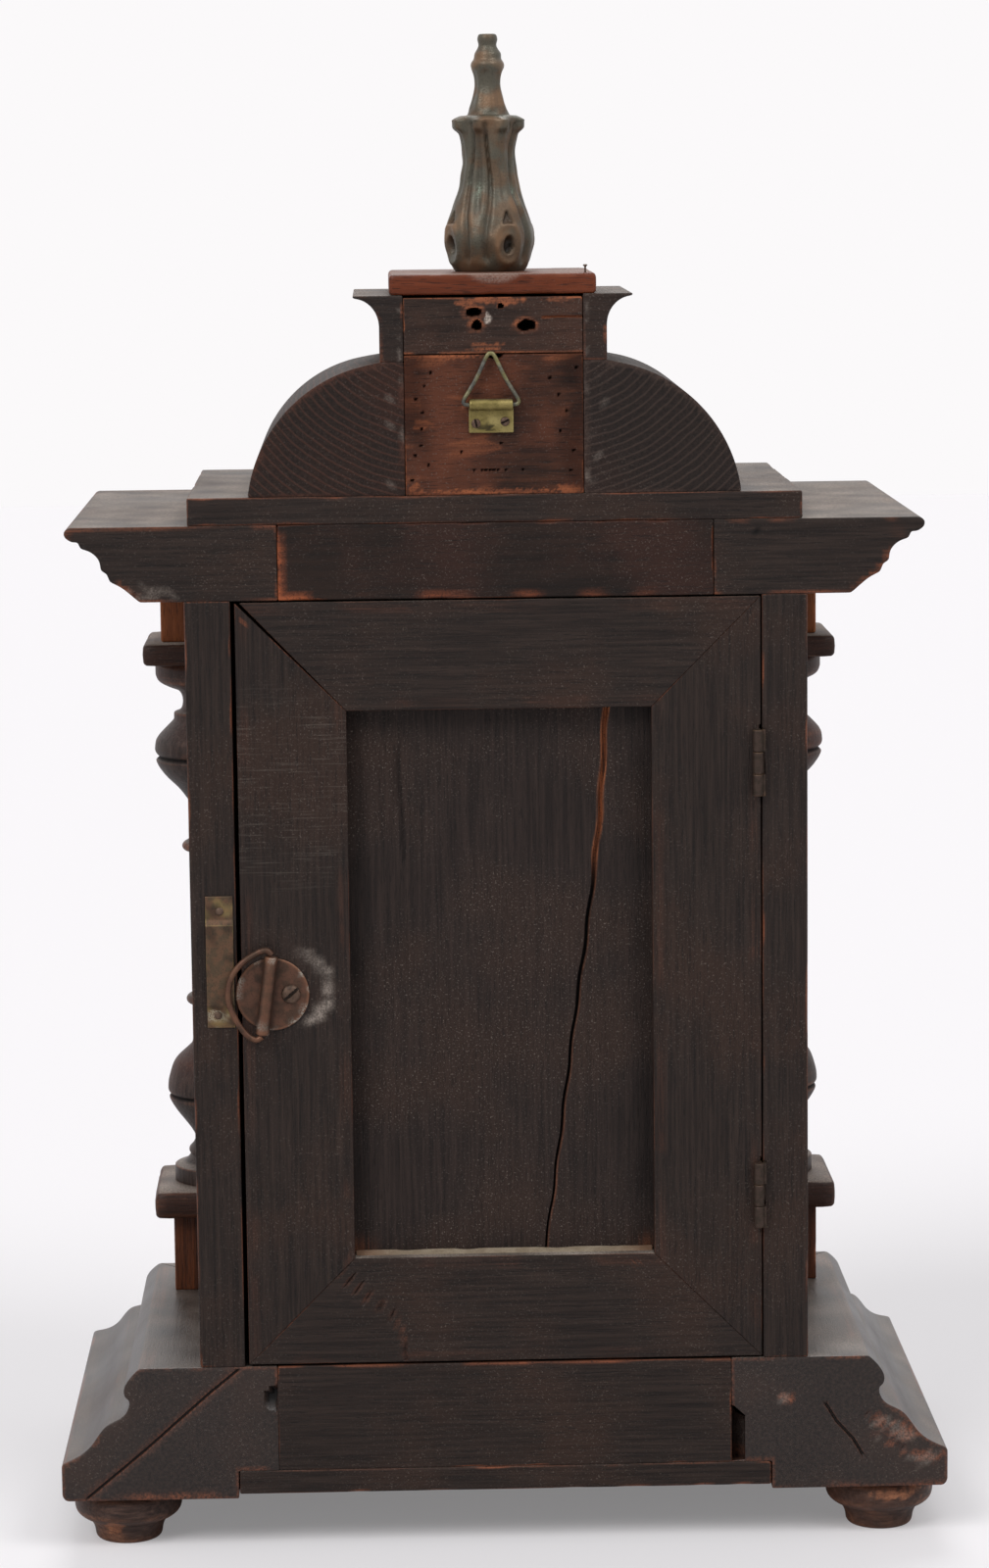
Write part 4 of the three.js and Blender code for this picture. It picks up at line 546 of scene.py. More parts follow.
def combine(*shapes):
    """Puts several closed shapes into one, each with its faces outwards."""
    all_points, all_faces, all_state, first = [], [], [], 0
    for points, faces, state in shapes:
        centre = points.mean(0)
        turn = -1 if volume(points - centre, faces) < 0 else 1
        all_faces += [[first + i for i in face][::turn] for face in faces]
        all_points.append(points)
        all_state.append(state)
        first += len(points)
    return np.vstack(all_points), all_faces, np.vstack(all_state)


def metre_mesh(name, points, faces, state):
    """A mesh in metres from points in millimetres, and its state as one colour for each point."""
    mesh = bpy.data.meshes.new(name)
    mesh.from_pydata((points * MM).tolist(), [], faces)
    colours = np.ones((len(points), 4), np.float32)
    colours[:, :3] = state
    return mesh, colours


def store_state(mesh, colours):
    """Keeps the state on the mesh, where the materials read it."""
    marks = mesh.attributes.new("state", "FLOAT_COLOR", "POINT")
    marks.data.foreach_set("color", colours.ravel())


def piece(name, shape, material, nodes=(), body="case", carve=None, sharp=38, dust=0.0):
    """Makes a piece of the clock from a shape; carve(points, state) may cut it and mark it first."""
    points, faces, state = combine(shape)
    if carve:
        carve(points, state)
    mesh, colours = metre_mesh(name, points, faces, state)
    mesh.shade_smooth()
    mesh.set_sharp_from_angle(angle=math.radians(sharp))
    normals = np.zeros(len(points) * 3, np.float32)
    mesh.vertices.foreach_get("normal", normals)
    patchy = 0.65 + 0.35 * ripple(points, 9, 5)
    colours[:, DUST_AND_HIGHLIGHT] += dust * rise(normals.reshape(-1, 3)[:, 2], 0.75, 0.98) * patchy
    store_state(mesh, np.clip(colours, 0, 1))
    mesh.materials.append(material)
    made = bpy.data.objects.new(name, mesh)
    scene.collection.objects.link(made)
    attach(made, body)
    if nodes:
        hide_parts(*nodes)
    shells = bmesh.new()
    shells.from_mesh(mesh)
    loose = sum(not edge.is_contiguous for edge in shells.edges)
    shells.free()
    print(f"{name}: {len(faces)} faces, {loose} open edges")
    return made


# %% [markdown]
# ## Worn boards
# A board is a block, but a plain box has razor edges that no plane leaves. Here the block's skin is a
# grid that is dense at its arrises. Each point near an arris is pulled onto a small round whose radius
# wanders along the board, as wear and knocks make it, and the rounder it is, the barer the wood.

# %% Board shape
def grid_lines(low, high, step, extra=()):
    """Grid lines across one side of a board: every step, and close together at its arrises."""
    near = np.array([0, 0.2, 0.45, 0.8, 1.3])
    near = near[near < max((high - low) * 0.3, 1e-3)]
    inner = np.linspace(low + near[-1], high - near[-1], max(2, math.ceil((high - low) / step)))
    kept = [v for v in extra if low < v < high]
    return np.unique(np.round(np.concatenate([low + near, inner, high - near, kept]), 3))


def box_skin(xs, ys, zs):
    """The closed skin of a block whose faces carry the given grid lines."""
    nx, ny, nz = len(xs), len(ys), len(zs)
    quads = []
    for fixed, last in ((0, nx - 1), (1, ny - 1), (2, nz - 1)):
        one, two = [n for k, n in enumerate((nx, ny, nz)) if k != fixed]
        i, j = np.meshgrid(range(one), range(two), indexing="ij")
        for place in (0, last):
            grid = [i, j]
            grid.insert(fixed, 0 * i + place)
            code = (grid[0] * ny + grid[1]) * nz + grid[2]
            four = np.stack([code[:-1, :-1], code[1:, :-1], code[1:, 1:], code[:-1, 1:]], -1).reshape(-1, 4)
            quads.append(four if (place == 0) == (fixed == 1) else four[:, ::-1])
    codes, faces = np.unique(np.vstack(quads), return_inverse=True)
    points = np.stack([xs[codes // (ny * nz)], ys[codes // nz % ny], zs[codes % nz]], 1)
    return points, faces.reshape(-1, 4).tolist()


def worn_block(low, high, step=4.0, radius=0.45, seed=1, lines=None, bare=1.0):
    """A block with worn arrises: their radius wanders, and torn stretches show bare wood."""
    low, high = np.array(low, float), np.array(high, float)
    grids = [grid_lines(low[i], high[i], step, (lines or {}).get(axis, ())) for i, axis in enumerate("xyz")]
    points, faces = box_skin(*grids)
    torn = rise(ripple(points, 6, seed), 0.4, 0.95)
    round_by = radius + 0.1 * ripple(points, 20, seed + 1) + min(0.5, 1.2 * radius) * torn
    round_by = np.clip(round_by, 0.1 * radius, (high - low).min() * 0.45)[:, None]
    core = np.clip(points, low + round_by, high - round_by)
    out = points - core
    shaped = core + out / np.linalg.norm(out, axis=1, keepdims=True) * round_by
    second = np.sort(np.abs(out) / round_by, axis=1)[:, 1]
    patchy = 0.75 * rise(ripple(points, 14, seed + 2), -0.2, 0.7) + torn
    state = np.zeros((len(points), 3))
    state[:, BARE] = rise(second, 0.1, 0.7) * np.clip(patchy, 0, 1) * bare
    return shaped, faces, state


def on_back(points, depth=3.0):
    """True for points within depth millimetres of the clock's back plane."""
    return points[:, 1] > BACK - depth


# %% Side boards
LEAVES = ("upper_hinge_case_leaf", "lower_hinge_case_leaf")


def hinge_recesses(points, state):
    """Lets the two hinge leaves into the inner face of the left side board."""
    for leaf in LEAVES:
        low, high = span(leaf)
        inside = on_back(points, 10.2) & (points[:, 2] > low[2] - 0.18) & (points[:, 2] < high[2] + 0.18)
        points[inside & (points[:, 0] > -81.5), 0] = -82.05


leaf_edges = [
    z + out * gap
    for leaf in LEAVES
    for z, out in zip((span(leaf)[0][2], span(leaf)[1][2]), (-1, 1))
    for gap in (0.15, 0.2)
]
left_shape = worn_block(
    *span("side_board_left"), seed=11, bare=0.8, lines={"z": leaf_edges, "y": [BACK - 10.25, BACK - 10.15]}
)
piece(
    "side_board_left_worn", left_shape, ebonised["z"], ["side_board_left"],
    carve=hinge_recesses
)
right_shape = worn_block(*span("side_board_right"), seed=12, bare=0.8)
piece("side_board_right_worn", right_shape, ebonised["z"], ["side_board_right"])

# %% Base rail, bottom board and cornice boards
def rail_marks(points, state):
    """The rail's top arris has lost its stain along most of its length."""
    top = rise(points[:, 2], 58.3, 59.3) * on_back(points, 2)
    mark(state, BARE, top * rise(ripple(points, 12, 21), -0.5, 0.3))


piece(
    "base_back_rail_worn", worn_block(*span("base_back_rail"), seed=13), ebonised["x"],
    ["base_back_rail"], carve=rail_marks
)
piece(
    "bottom_board_worn", worn_block(*span("bottom_board"), radius=0.6, seed=14), ebonised["x"],
    ["bottom_board"], dust=0.5
)


def chipped_rail(points, state):
    """Orange wear along the rail's lower arris, most of it at the latch end."""
    lower = 1 - rise(points[:, 2] - 299.5, 0.6, 2.4)
    latch_end = rise(points[:, 0], 15, 60)
    mark(state, BARE, lower * rise(ripple(points, 9, 31) + latch_end, 0.0, 0.8))
    tip = rise(points[:, 0], 64.0, 66.0) * on_back(points, 4)
    mark(state, BARE, tip * rise(ripple(points, 5, 32), -0.2, 0.5))


piece(
    "back_top_rail_worn", worn_block(*span("back_top_rail"), step=2.0, seed=15, bare=0.45), rail_wood,
    ["back_top_rail"], carve=chipped_rail
)
piece(
    "cornice_board_worn", worn_block(*span("cornice_board"), radius=0.6, seed=16), ebonised["x"],
    ["cornice_board"], dust=0.6
)

# %% [markdown]
# ## Crown boards
# The two pine boards that close the crown from behind are the roughest: the upper one has three torn
# nail holes, the lower one rows of pin holes and orange patches where old paper tore the surface. A
# fine grid lets the holes be real pits.

# %% Crown boards
TORN = [(5.9, 386.0, 2.3, 1.5), (5.1, 381.9, 1.9, 1.4), (-10.0, 381.9, 2.5, 1.7), (-2.3, 387.9, 0.7, 0.6)]
PALE_PATCHES = [(-0.5, 389.5, 8, 1.5), (9, 389, 2.2, 1.2), (2, 375.5, 5, 1.4), (-20, 389.6, 4, 0.8)]


def torn_holes(points, state):
    """Presses the torn nail holes into the upper board, with pale lips and fibres round them."""
    back = on_back(points)
    for n, (x, z, wide, high) in enumerate(TORN):
        away = np.hypot(
            (points[:, 0] - x) / wide, (points[:, 2] - z) / high
        ) + 0.22 * ripple(points, 1.6, 40 + n)
        upper_lip = 0.4 + 0.6 * rise(points[:, 2] - z, -0.5, 1.5)
        mark(state, BARE, back * (1 - rise(away, 1.1, 1.9)) * upper_lip)
        # Painted shade inside each hole.
        mark(state, DIRT_AND_SHADE, back * (1 - rise(away, 0.85, 1.05)))
        points[:, 1] -= 9 * back * (1 - rise(away, 0.8, 1.0))
    for n, (x, z, wide, high) in enumerate(PALE_PATCHES):
        mark(state, BARE, 0.8 * back * blotch(points, x, z, wide, high, 50 + n, 0.35))
    crack = near_line(points, [(-15, 384.2), (-20, 384.5), (-27, 384.3)], 0.45) * back
    points[:, 1] -= 0.8 * crack
    mark(state, BARE, 0.9 * crack)
    mark(
        state, BARE,
        back * (1 - rise(points[:, 2] - 373.6, 0.3, 0.9)) * rise(ripple(points, 8, 57), -0.4, 0.2)
    )
    mark(state, DUST_AND_HIGHLIGHT, 1.2 * back * blotch(points, 1.4, 384.2, 1.0, 1.8, 58, 0.3))


upper = worn_block(*span("crown_board_upper"), step=0.5, radius=0.35, seed=17)
piece(
    "crown_board_upper_torn", upper, crown_upper_wood, ["crown_board_upper"],
    carve=torn_holes
)

PIN_HOLES = [(x, 338.4) for x in (6.2, 3.8, 2.6, 1.4, 0.2, -1.0, -3.4, -8.6)] + [
    (22, 351), (22.3, 346), (21.6, 356), (23.6, 360), (24, 343), (25, 335.5), (20, 340), (21, 364),
    (19, 368),
    (-20, 350), (-22, 356), (-24, 344), (-19.6, 361), (-23, 338), (-17, 366), (-25, 369), (10, 344),
    (-2, 346.5),
]
TORN_PAPER = [(0, 331.8, 22, 0.8), (-23, 332.3, 4, 1.6), (24.5, 333, 2, 2.6), (15, 372.6, 12, 0.7)]


def pins_and_patches(points, state):
    """Presses the pin holes into the lower board and marks its torn, papery patches."""
    back = on_back(points)
    for x, z in PIN_HOLES:
        pit = back * (1 - rise(np.hypot(points[:, 0] - x, points[:, 2] - z), 0.25, 0.55))
        points[:, 1] -= 1.2 * pit
        # Painted shade in each pin hole.
        mark(state, DIRT_AND_SHADE, pit)
    stripes = rise(
        ripple(points * [0.25, 1, 1], 2.2, 61), 0.25, 0.9
    ) * rise(ripple(points, 14, 62), -0.3, 0.5)
    mark(state, BARE, back * 0.45 * stripes)
    for n, (x, z, wide, high) in enumerate(TORN_PAPER):
        mark(state, BARE, back * blotch(points, x, z, wide, high, 63 + n, 0.5))
    mark(state, BARE, 0.7 * back * blotch(points, 21.5, 352.5, 2.6, 1.8, 68, 0.35))
    margin = rise(np.abs(points[:, 0]), 16, 24) * rise(ripple(points, 10, 69), -0.9, 0.3)
    mark(state, DIRT_AND_SHADE, 0.5 * back * margin)
    # A pit at the apex, with painted shade in it.
    apex = back * (1 - rise(np.hypot((points[:, 0] + 0.2) / 2.6, (points[:, 2] - 373.2) / 1.3), 0.8, 1.1))
    points[:, 1] -= 4 * apex
    mark(state, DIRT_AND_SHADE, apex)


lower = worn_block(*span("crown_board_lower"), step=0.5, radius=0.35, seed=18)
piece(
    "crown_board_lower_worn", lower, crown_wood, ["crown_board_lower"],
    carve=pins_and_patches
)


def old_polish(points, state):
    """A painted highlight: a pale arch low on the back edge of the cap, in the dust colour."""
    arch = np.hypot((points[:, 0] + 0.8) / 9.5, (points[:, 2] - 399.6) / 5.2)
    mark(state, DUST_AND_HIGHLIGHT, 0.32 * (1 - rise(arch, 0.75, 1.05)) * on_back(points, 2))


cap = worn_block(*span("cap_board"), step=1.5, radius=1.3, seed=19, bare=0.15)
piece("cap_board_polished", cap, cap_wood, ["cap_board"], carve=old_polish, dust=0.5)

# %% [markdown]
# ## Swept mouldings
# Base, cornice, dome and cap mouldings were run with a shaped plane: one outline carried round three
# sides of the case. Outlines are given as runs of knots. Inside a run a smooth curve goes through the
# knots, and two runs meet at a crisp corner, which is then eased a little, as a scraper does. Where
# easing moves a point inwards the outline is convex, and that is where hands and dusters rub it bare.

# %% Outlines
def smooth_run(knots, spacing):
    """Points about spacing apart on a smooth curve through knots; two knots give a straight line."""
    knots = np.asarray(knots, float)
    if len(knots) == 2:
        length = np.linalg.norm(knots[1] - knots[0])
        share = grid_lines(0, length, 5 * spacing)[:, None] / length
        return knots[0] + (knots[1] - knots[0]) * np.clip(share, 0, 1)
    ends = np.vstack([2 * knots[0] - knots[1], knots, 2 * knots[-1] - knots[-2]])
    parts = []
    for p, q, r, s in zip(ends[:-3], ends[1:-2], ends[2:-1], ends[3:]):
        count = max(1, math.ceil(np.linalg.norm(r - q) / spacing))
        t = np.arange(count)[:, None] / count
        cubic = 2 * q + (r - p) * t + (2 * p - 5 * q + 4 * r - s) * t**2 + (3 * q - p - 3 * r + s) * t**3
        parts.append(0.5 * cubic)
    return np.vstack(parts + [knots[-1:]])


def area(line):
    """Area inside a closed line, negative if it runs clockwise."""
    after = np.roll(line, -1, 0)
    return float((line[:, 0] * after[:, 1] - after[:, 0] * line[:, 1]).sum() / 2)


def eased(values, passes):
    """Averages each value of a closed line with its neighbours, several times."""
    for _ in range(passes):
        values = 0.25 * np.roll(values, 1, 0) + 0.5 * values + 0.25 * np.roll(values, -1, 0)
    return values


def outward(line):
    """Normals of a closed line, pointing out of it; at corners they are averaged, so also shorter."""
    ahead = np.roll(line, -1, 0) - np.roll(line, 1, 0)
    normals = np.stack([ahead[:, 1], -ahead[:, 0]], 1) * np.sign(area(line))
    return eased(normals / np.maximum(np.linalg.norm(normals, axis=1, keepdims=True), 1e-9), 8)


def section(*runs, spacing=0.7, passes=4):
    """A closed outline from runs of knots, eased at its corners, and how convex it is at each point."""
    line = np.vstack([smooth_run(knots, spacing)[:-1] for knots in runs])
    soft_line = eased(line, passes)
    shift = ((line - soft_line) * outward(soft_line)).sum(1)
    return soft_line, rise(shift, 0.02, 0.12)


# %% Sweep
def inside(line, spots):
    """Says which spots lie inside a closed line."""
    x, y = spots[:, 0][:, None], spots[:, 1][:, None]
    a, b = line, np.roll(line, -1, 0)
    crosses = (a[:, 1] > y) != (b[:, 1] > y)
    climb = np.where(b[:, 1] == a[:, 1], 1e-9, b[:, 1] - a[:, 1])
    reach = a[:, 0] + (y - a[:, 1]) * (b[:, 0] - a[:, 0]) / climb
    return (crosses & (x < reach)).sum(1) % 2 == 1


def filled(line, spacing, extra):
    """Triangles that fill a closed line, anticlockwise, with inner spots on a grid and at extra."""
    low, high = line.min(0), line.max(0)
    sides = (np.arange(a + spacing / 2, b, spacing) for a, b in zip(low, high))
    spots = np.stack(np.meshgrid(*sides), -1).reshape(-1, 2)
    if len(extra):
        clear = np.linalg.norm(spots[:, None] - extra[None], axis=2).min(1) > 0.6 * spacing
        spots = np.vstack([spots[clear], extra])
    spots = spots[inside(line, spots)]
    spots = spots[np.linalg.norm(spots[:, None] - line[None], axis=2).min(1) > 0.35]
    corners = [Vector(p) for p in np.vstack([line, spots]).tolist()]
    edges = [(i, (i + 1) % len(line)) for i in range(len(line))]
    _, _, triangles, sources, _, _ = geometry.delaunay_2d_cdt(corners, edges, [], 1, 1e-5)
    source = [ids[0] for ids in sources]
    triangles = [[source[i] for i in triangle] for triangle in triangles]
    a, b, c = (corners[i] for i in triangles[0])
    turn = 1 if (b - a).cross(c - a) > 0 else -1
    return spots, [triangle[::turn] for triangle in triangles]


def swept(
    outline, stations, step=4.0, seed=1, ring=False, bare=1.0, fill=3.0, extra=(), mitre=0.5, end_round=0.45
):
    """Carries an outline through stations; a station turns outline points into x, y, z points."""
    line, convex = outline
    normals, count = outward(line), len(line)
    closing = stations[:1] if ring else []
    legs = list(zip(stations[:-1] + (stations[-1:] if ring else []), stations[1:] + closing))
    rings, worn, deep = [], [], []
    for n, (start, stop) in enumerate(legs):
        length = np.linalg.norm(stop(line) - start(line), axis=1).mean()
        free_start, free_stop = not ring and n == 0, not ring and n == len(legs) - 1
        places = grid_lines(0, length, step)
        for at in places if free_stop else places[:-1]:
            away = min(at if free_start else 1e9, length - at if free_stop else 1e9)
            in_by = 0.0
            if away < end_round:
                in_by = end_round - math.sqrt(max(0.0, end_round**2 - (end_round - away) ** 2))
            thin = line - normals * in_by
            rings.append(start(thin) * (1 - at / length) + stop(thin) * (at / length))
            worn.append(np.maximum(convex, 1.0 if away < end_round else 0.0))
            deep.append(np.full(count, mitre if at < 0.1 and not free_start else 0.0))
    points, faces = np.vstack(rings), []
    here = np.arange(count)
    after = np.roll(here, -1)
    for i in range(len(rings) if ring else len(rings) - 1):
        this, then = i * count, (i + 1) % len(rings) * count
        faces += np.stack([here + this, after + this, after + then, here + then], 1).tolist()
    worn, deep = np.concatenate(worn), np.concatenate(deep)
    if not ring:
        flat = line - normals * end_round
        spots, triangles = filled(flat, fill, extra)
        runs_left = area(line) > 0
        for station, first, far in (
            (stations[0], 0, False), (stations[-1], (len(rings) - 1) * count, True)
        ):
            turn = 1 if runs_left == far else -1
            offset = len(points)
            points = np.vstack([points, station(spots)])
            worn, deep = (np.concatenate([v, np.zeros(len(spots))]) for v in (worn, deep))
            faces += [
                [first + i if i < count else offset + i - count for i in t][::turn] for t in triangles
            ]
    torn = rise(ripple(points, 7, seed), 0.3, 0.9)
    patchy = 0.8 * rise(ripple(points, 18, seed + 1), -0.3, 0.6) + torn
    state = np.stack([worn * np.clip(patchy, 0, 1) * bare, deep, 0 * deep], 1)
    return points, faces, state


def round_case(half_width, depth, bottom):
    """Stations that carry [inset, rise] along the left side, the front and the right side of the case."""
    def station(side, front):
        def place(spots):
            x = side * (half_width - spots[:, 0])
            y = BACK - (depth - spots[:, 0]) if front else np.full(len(spots), BACK)
            return np.stack([x, y, bottom + spots[:, 1]], 1)
        return place
    return [station(-1, False), station(-1, True), station(1, True), station(1, False)]


# %% Base moulding
low, high = span("base_moulding_front")
BASE_HALF, BASE_BOTTOM, BASE_HEIGHT = high[0], low[2], high[2] - low[2]
base_outline = section(
    [(1.6, 0), (0.5, 0.5), (0, 1.8)], [(0, 1.8), (0, 11.4)], [(0, 11.4), (0.5, 12.4), (2.2, 13.0)],
    [
        (2.2, 13.0), (6.4, 15.2), (9.5, 18), (12, 21.6), (14.5, 24.4), (18.8, 26.6), (20.8, 28.6),
        (21.6, 30.9), (21.6, 32.2)
    ],
    [(21.6, 32.2), (20.3, 33.2)],
    [(20.3, 33.2), (19.8, 35.0), (20.3, 37.0), (22.2, 39.8), (24.9, BASE_HEIGHT)],
    [(24.9, BASE_HEIGHT), (68, BASE_HEIGHT)], [(68, BASE_HEIGHT), (68, 8.9)], [(68, 8.9), (55.3, 8.9)],
    [(55.3, 8.9), (55.3, 0)], [(55.3, 0), (1.6, 0)],
)
base_stations = round_case(BASE_HALF, BACK - low[1], BASE_BOTTOM)
GLUE_LINE = [(83.5, 58.4), (92, 51.5), (101, 43.6), (113, 33), (131.6, 17.6)]
CRACK_LINE = [(-100.7, 44), (-104, 38.5), (-109, 33), (-112.5, 27)]


def spots_along(knots):
    """Outline spots on and beside a line of (x, z) knots, so that a crack stays crisp in the fill."""
    gap = 0.9
    spots = []
    for (x0, z0), (x1, z1) in zip(knots[:-1], knots[1:]):
        run = np.array([x1 - x0, z1 - z0])
        aside = np.array([-run[1], run[0]]) / np.linalg.norm(run)
        for share in np.arange(0, 1, gap / np.linalg.norm(run)):
            for offset in (-1.0, -0.5, -0.22, 0, 0.22, 0.5, 1.0):
                x, z = np.array([x0, z0]) + run * share + aside * offset
                spots.append((BASE_HALF - abs(x), z - BASE_BOTTOM))
    return np.array(spots)


def open_crack(points, state, knots, width, deep, bare):
    """Opens a joint or crack on a back face: a narrow groove with rubbed lips and painted shade inside."""
    back = on_back(points, 1.5)
    core = near_line(points, knots, width) * back
    mark(state, BARE, bare * near_line(points, knots, 2.2 * width) * back)
    points[:, 1] -= 0.9 * core
    mark(state, DIRT_AND_SHADE, deep * rise(core, 0.3, 0.8))


GILT_RUBS = [(-125, 34.5, 6, 1.8), (-132, 26.5, 4.5, 1.8), (-118, 38, 4, 1.4), (-88, 46, 2.4, 0.9)]


def hinge_side_marks(points, state):
    """The hinge side: two thin cracks, pale abrasion on the toe and a chip beside the back rail."""
    open_crack(points, state, CRACK_LINE, 0.5, 0.9, 0.2)
    open_crack(points, state, [(-113.5, 41), (-119, 36), (-126, 28.5)], 0.5, 0.6, 0.3)
    back = on_back(points, 6)
    for n, (x, z, wide, high) in enumerate(GILT_RUBS):
        mark(state, DUST_AND_HIGHLIGHT, 0.2 * back * blotch(points, x, z, wide, high, 71 + n, 0.8))
        mark(state, BARE, 0.75 * back * blotch(points, x, z, wide, high, 76 + n, 0.9))
    lower = (1 - rise(points[:, 2] - BASE_BOTTOM, 0.5, 1.6)) * back * rise(ripple(points, 9, 80), -0.2, 0.5)
    mark(state, BARE, 0.8 * lower)
    chip = on_back(points, 5) & (points[:, 0] > -75.2) & (points[:, 2] > 26.2) & (points[:, 2] < 41)
    points[chip, 0] = -75.2


def latch_side_marks(points, state):
    """The latch side: the glue line from the toe to the door's corner has opened."""
    open_crack(points, state, GLUE_LINE, 0.62, 1.0, 0.5)
    back = on_back(points, 4)
    along = rise(points[:, 0], 85, 95) * (1 - rise(points[:, 0], 112, 126))
    lower = (
        1 - rise(points[:, 2] - BASE_BOTTOM, 0.8, 3.2)
    ) * back * rise(ripple(points * [1, 1, 0.5], 5, 82), -0.6, 0.4)
    mark(state, BARE, 0.8 * lower * along)
    # A dent at the door's corner, with painted shade in it.
    corner = back * blotch(points, 72.5, 49.5, 2.2, 2.6, 83, 0.3)
    points[:, 1] -= 2.5 * corner
    mark(state, DIRT_AND_SHADE, corner)


hinge_side = swept(
    base_outline, base_stations[0:2], seed=81, bare=0.5, extra=spots_along(CRACK_LINE), fill=1.6
)
latch_side = swept(
    base_outline, base_stations[2:4], seed=82, bare=0.5, extra=spots_along(GLUE_LINE), fill=1.6
)
front_side = swept(base_outline, base_stations[1:3], seed=83, bare=0.5)
piece(
    "base_moulding_left_run", hinge_side, waxed["y"], ["base_moulding_left"],
    carve=hinge_side_marks, dust=0.5
)
piece(
    "base_moulding_right_run", latch_side, waxed["y"], ["base_moulding_right"],
    carve=latch_side_marks, dust=0.35
)
piece(
    "base_moulding_front_run", front_side, waxed["x"], ["base_moulding_front"], dust=0.35
)

# %% Cornice moulding
low, high = span("cornice_moulding")
rim = high[2] - low[2]
cornice_outline = section(
    [(22.6, 0), (20, 2.3), (17, 4.7), (13.8, 6.3)], [(13.8, 6.3), (12.8, 8.8)], [(12.8, 8.8), (11, 9.9)],
    [(11, 9.9), (10.8, 12.4), (9.6, 14.3), (7.6, 15.8), (5.1, 16.5)], [(5.1, 16.5), (4.3, 18.5)],
    [(4.3, 18.5), (2.4, 18.6)], [(2.4, 18.6), (0.5, 19.8), (0, 21.2), (0.6, 22.5), (1.9, rim)],
    [(1.9, rim), (64.5, rim)], [(64.5, rim), (64.5, 0)], [(64.5, 0), (22.6, 0)],
)


def cornice_marks(points, state):
    """Rubbed ends, one dark nail spot and a little dust on the cornice's back."""
    back = on_back(points, 4)
    tip = back * rise(np.abs(points[:, 0]), 119, 130) * rise(points[:, 2] - 299.5, 14, 20)
    mark(state, BARE, 0.45 * tip * rise(ripple(points, 6, 90), -0.4, 0.5))
    mark(state, DIRT_AND_SHADE, back * (1 - rise(np.hypot(points[:, 0] + 79, points[:, 2] - 318.5), 0.6, 1.2)))
    mark(state, DUST_AND_HIGHLIGHT, 0.2 * back * blotch(points, 106, 302, 9, 1.6, 91, 0.9))


cornice = swept(cornice_outline, round_case(high[0], BACK - low[1], low[2]), seed=91, fill=2.0, bare=0.7)
piece(
    "cornice_moulding_run", cornice, ebonised["x"], ["cornice_moulding"],
    carve=cornice_marks, dust=0.6
)

# %% Dome moulding
low, high = span("dome_moulding")
DOME_HALF, DOME_RADIUS, DOME_HEIGHT, DOME_IN = high[0], 45.8, high[2] - low[2], 47.8
drop = DOME_RADIUS - DOME_HEIGHT
first = math.asin(drop / DOME_RADIUS)
centre = DOME_HALF - DOME_RADIUS * math.cos(first)
arc = [
    (DOME_HALF - centre - DOME_RADIUS * math.cos(a), DOME_RADIUS * math.sin(a) - drop)
    for a in np.linspace(first, math.radians(83.9), 16)
]
arc[-1] = (arc[-1][0], DOME_HEIGHT)
dome_outline = section(
    arc, [arc[-1], (DOME_IN, DOME_HEIGHT)], [(DOME_IN, DOME_HEIGHT), (DOME_IN, 0)], [(DOME_IN, 0), arc[0]]
)
dome_stations = round_case(DOME_HALF, BACK - low[1], low[2])


def dome_specks(points, state):
    """A few pale specks on the back of the dome."""
    specks = on_back(points, 2) * rise(ripple(points, 1.6, 95), 0.75, 1.0) * (np.abs(points[:, 0]) < 34)
    mark(state, DUST_AND_HIGHLIGHT, 0.22 * specks)


for side, part, wood in (
    ("left", slice(0, 2), dome_right_wood), ("front", slice(1, 3), ebonised["x"]),
    ("right", slice(2, 4), dome_left_wood)
):
    shape = swept(dome_outline, dome_stations[part], seed=92, fill=2.0)
    piece(
        f"dome_moulding_{side}_run", shape, wood, ["dome_moulding"], carve=dome_specks,
        dust=0.15
    )

# %% Cap moulding
low, high = span("cap_moulding")
cap_half, cap_height, CAP_IN = high[0], high[2] - low[2], 15.1
hollow = [(7.9 * math.cos(a), 10.6 + 8.6 * math.sin(a)) for a in np.linspace(0, math.pi / 2, 9)]
cap_outline = section(
    [(7.9, 0), (7.9, 10.6)], hollow, [hollow[-1], (0, cap_height)], [(0, cap_height), (CAP_IN, cap_height)],
    [(CAP_IN, cap_height), (CAP_IN, 0)], [(CAP_IN, 0), (7.9, 0)],
)


def neck_joint(points, state):
    """Whitish glue dots run down the joint beside the crown boards."""
    edge = np.abs(np.abs(points[:, 0]) - 28.3)
    mark(
        state, DUST_AND_HIGHLIGHT,
        0.2 * on_back(points, 2) * (1 - rise(edge, 0.2, 0.9)) * rise(ripple(points, 1.8, 97), 0.2, 0.7)
    )


neck = swept(cap_outline, round_case(cap_half, BACK - low[1], low[2]), seed=96, fill=1.2)
piece(
    "cap_moulding_run", neck, ebonised["x"], ["cap_moulding"], carve=neck_joint, dust=0.5
)

# %% [markdown]
# ## Turned pieces
# Columns, feet and small knobs come off a lathe: one profile spun round an axis. The crests of a
# turning stand proud and get rubbed, so the same convexity that eases the profile also bares it.

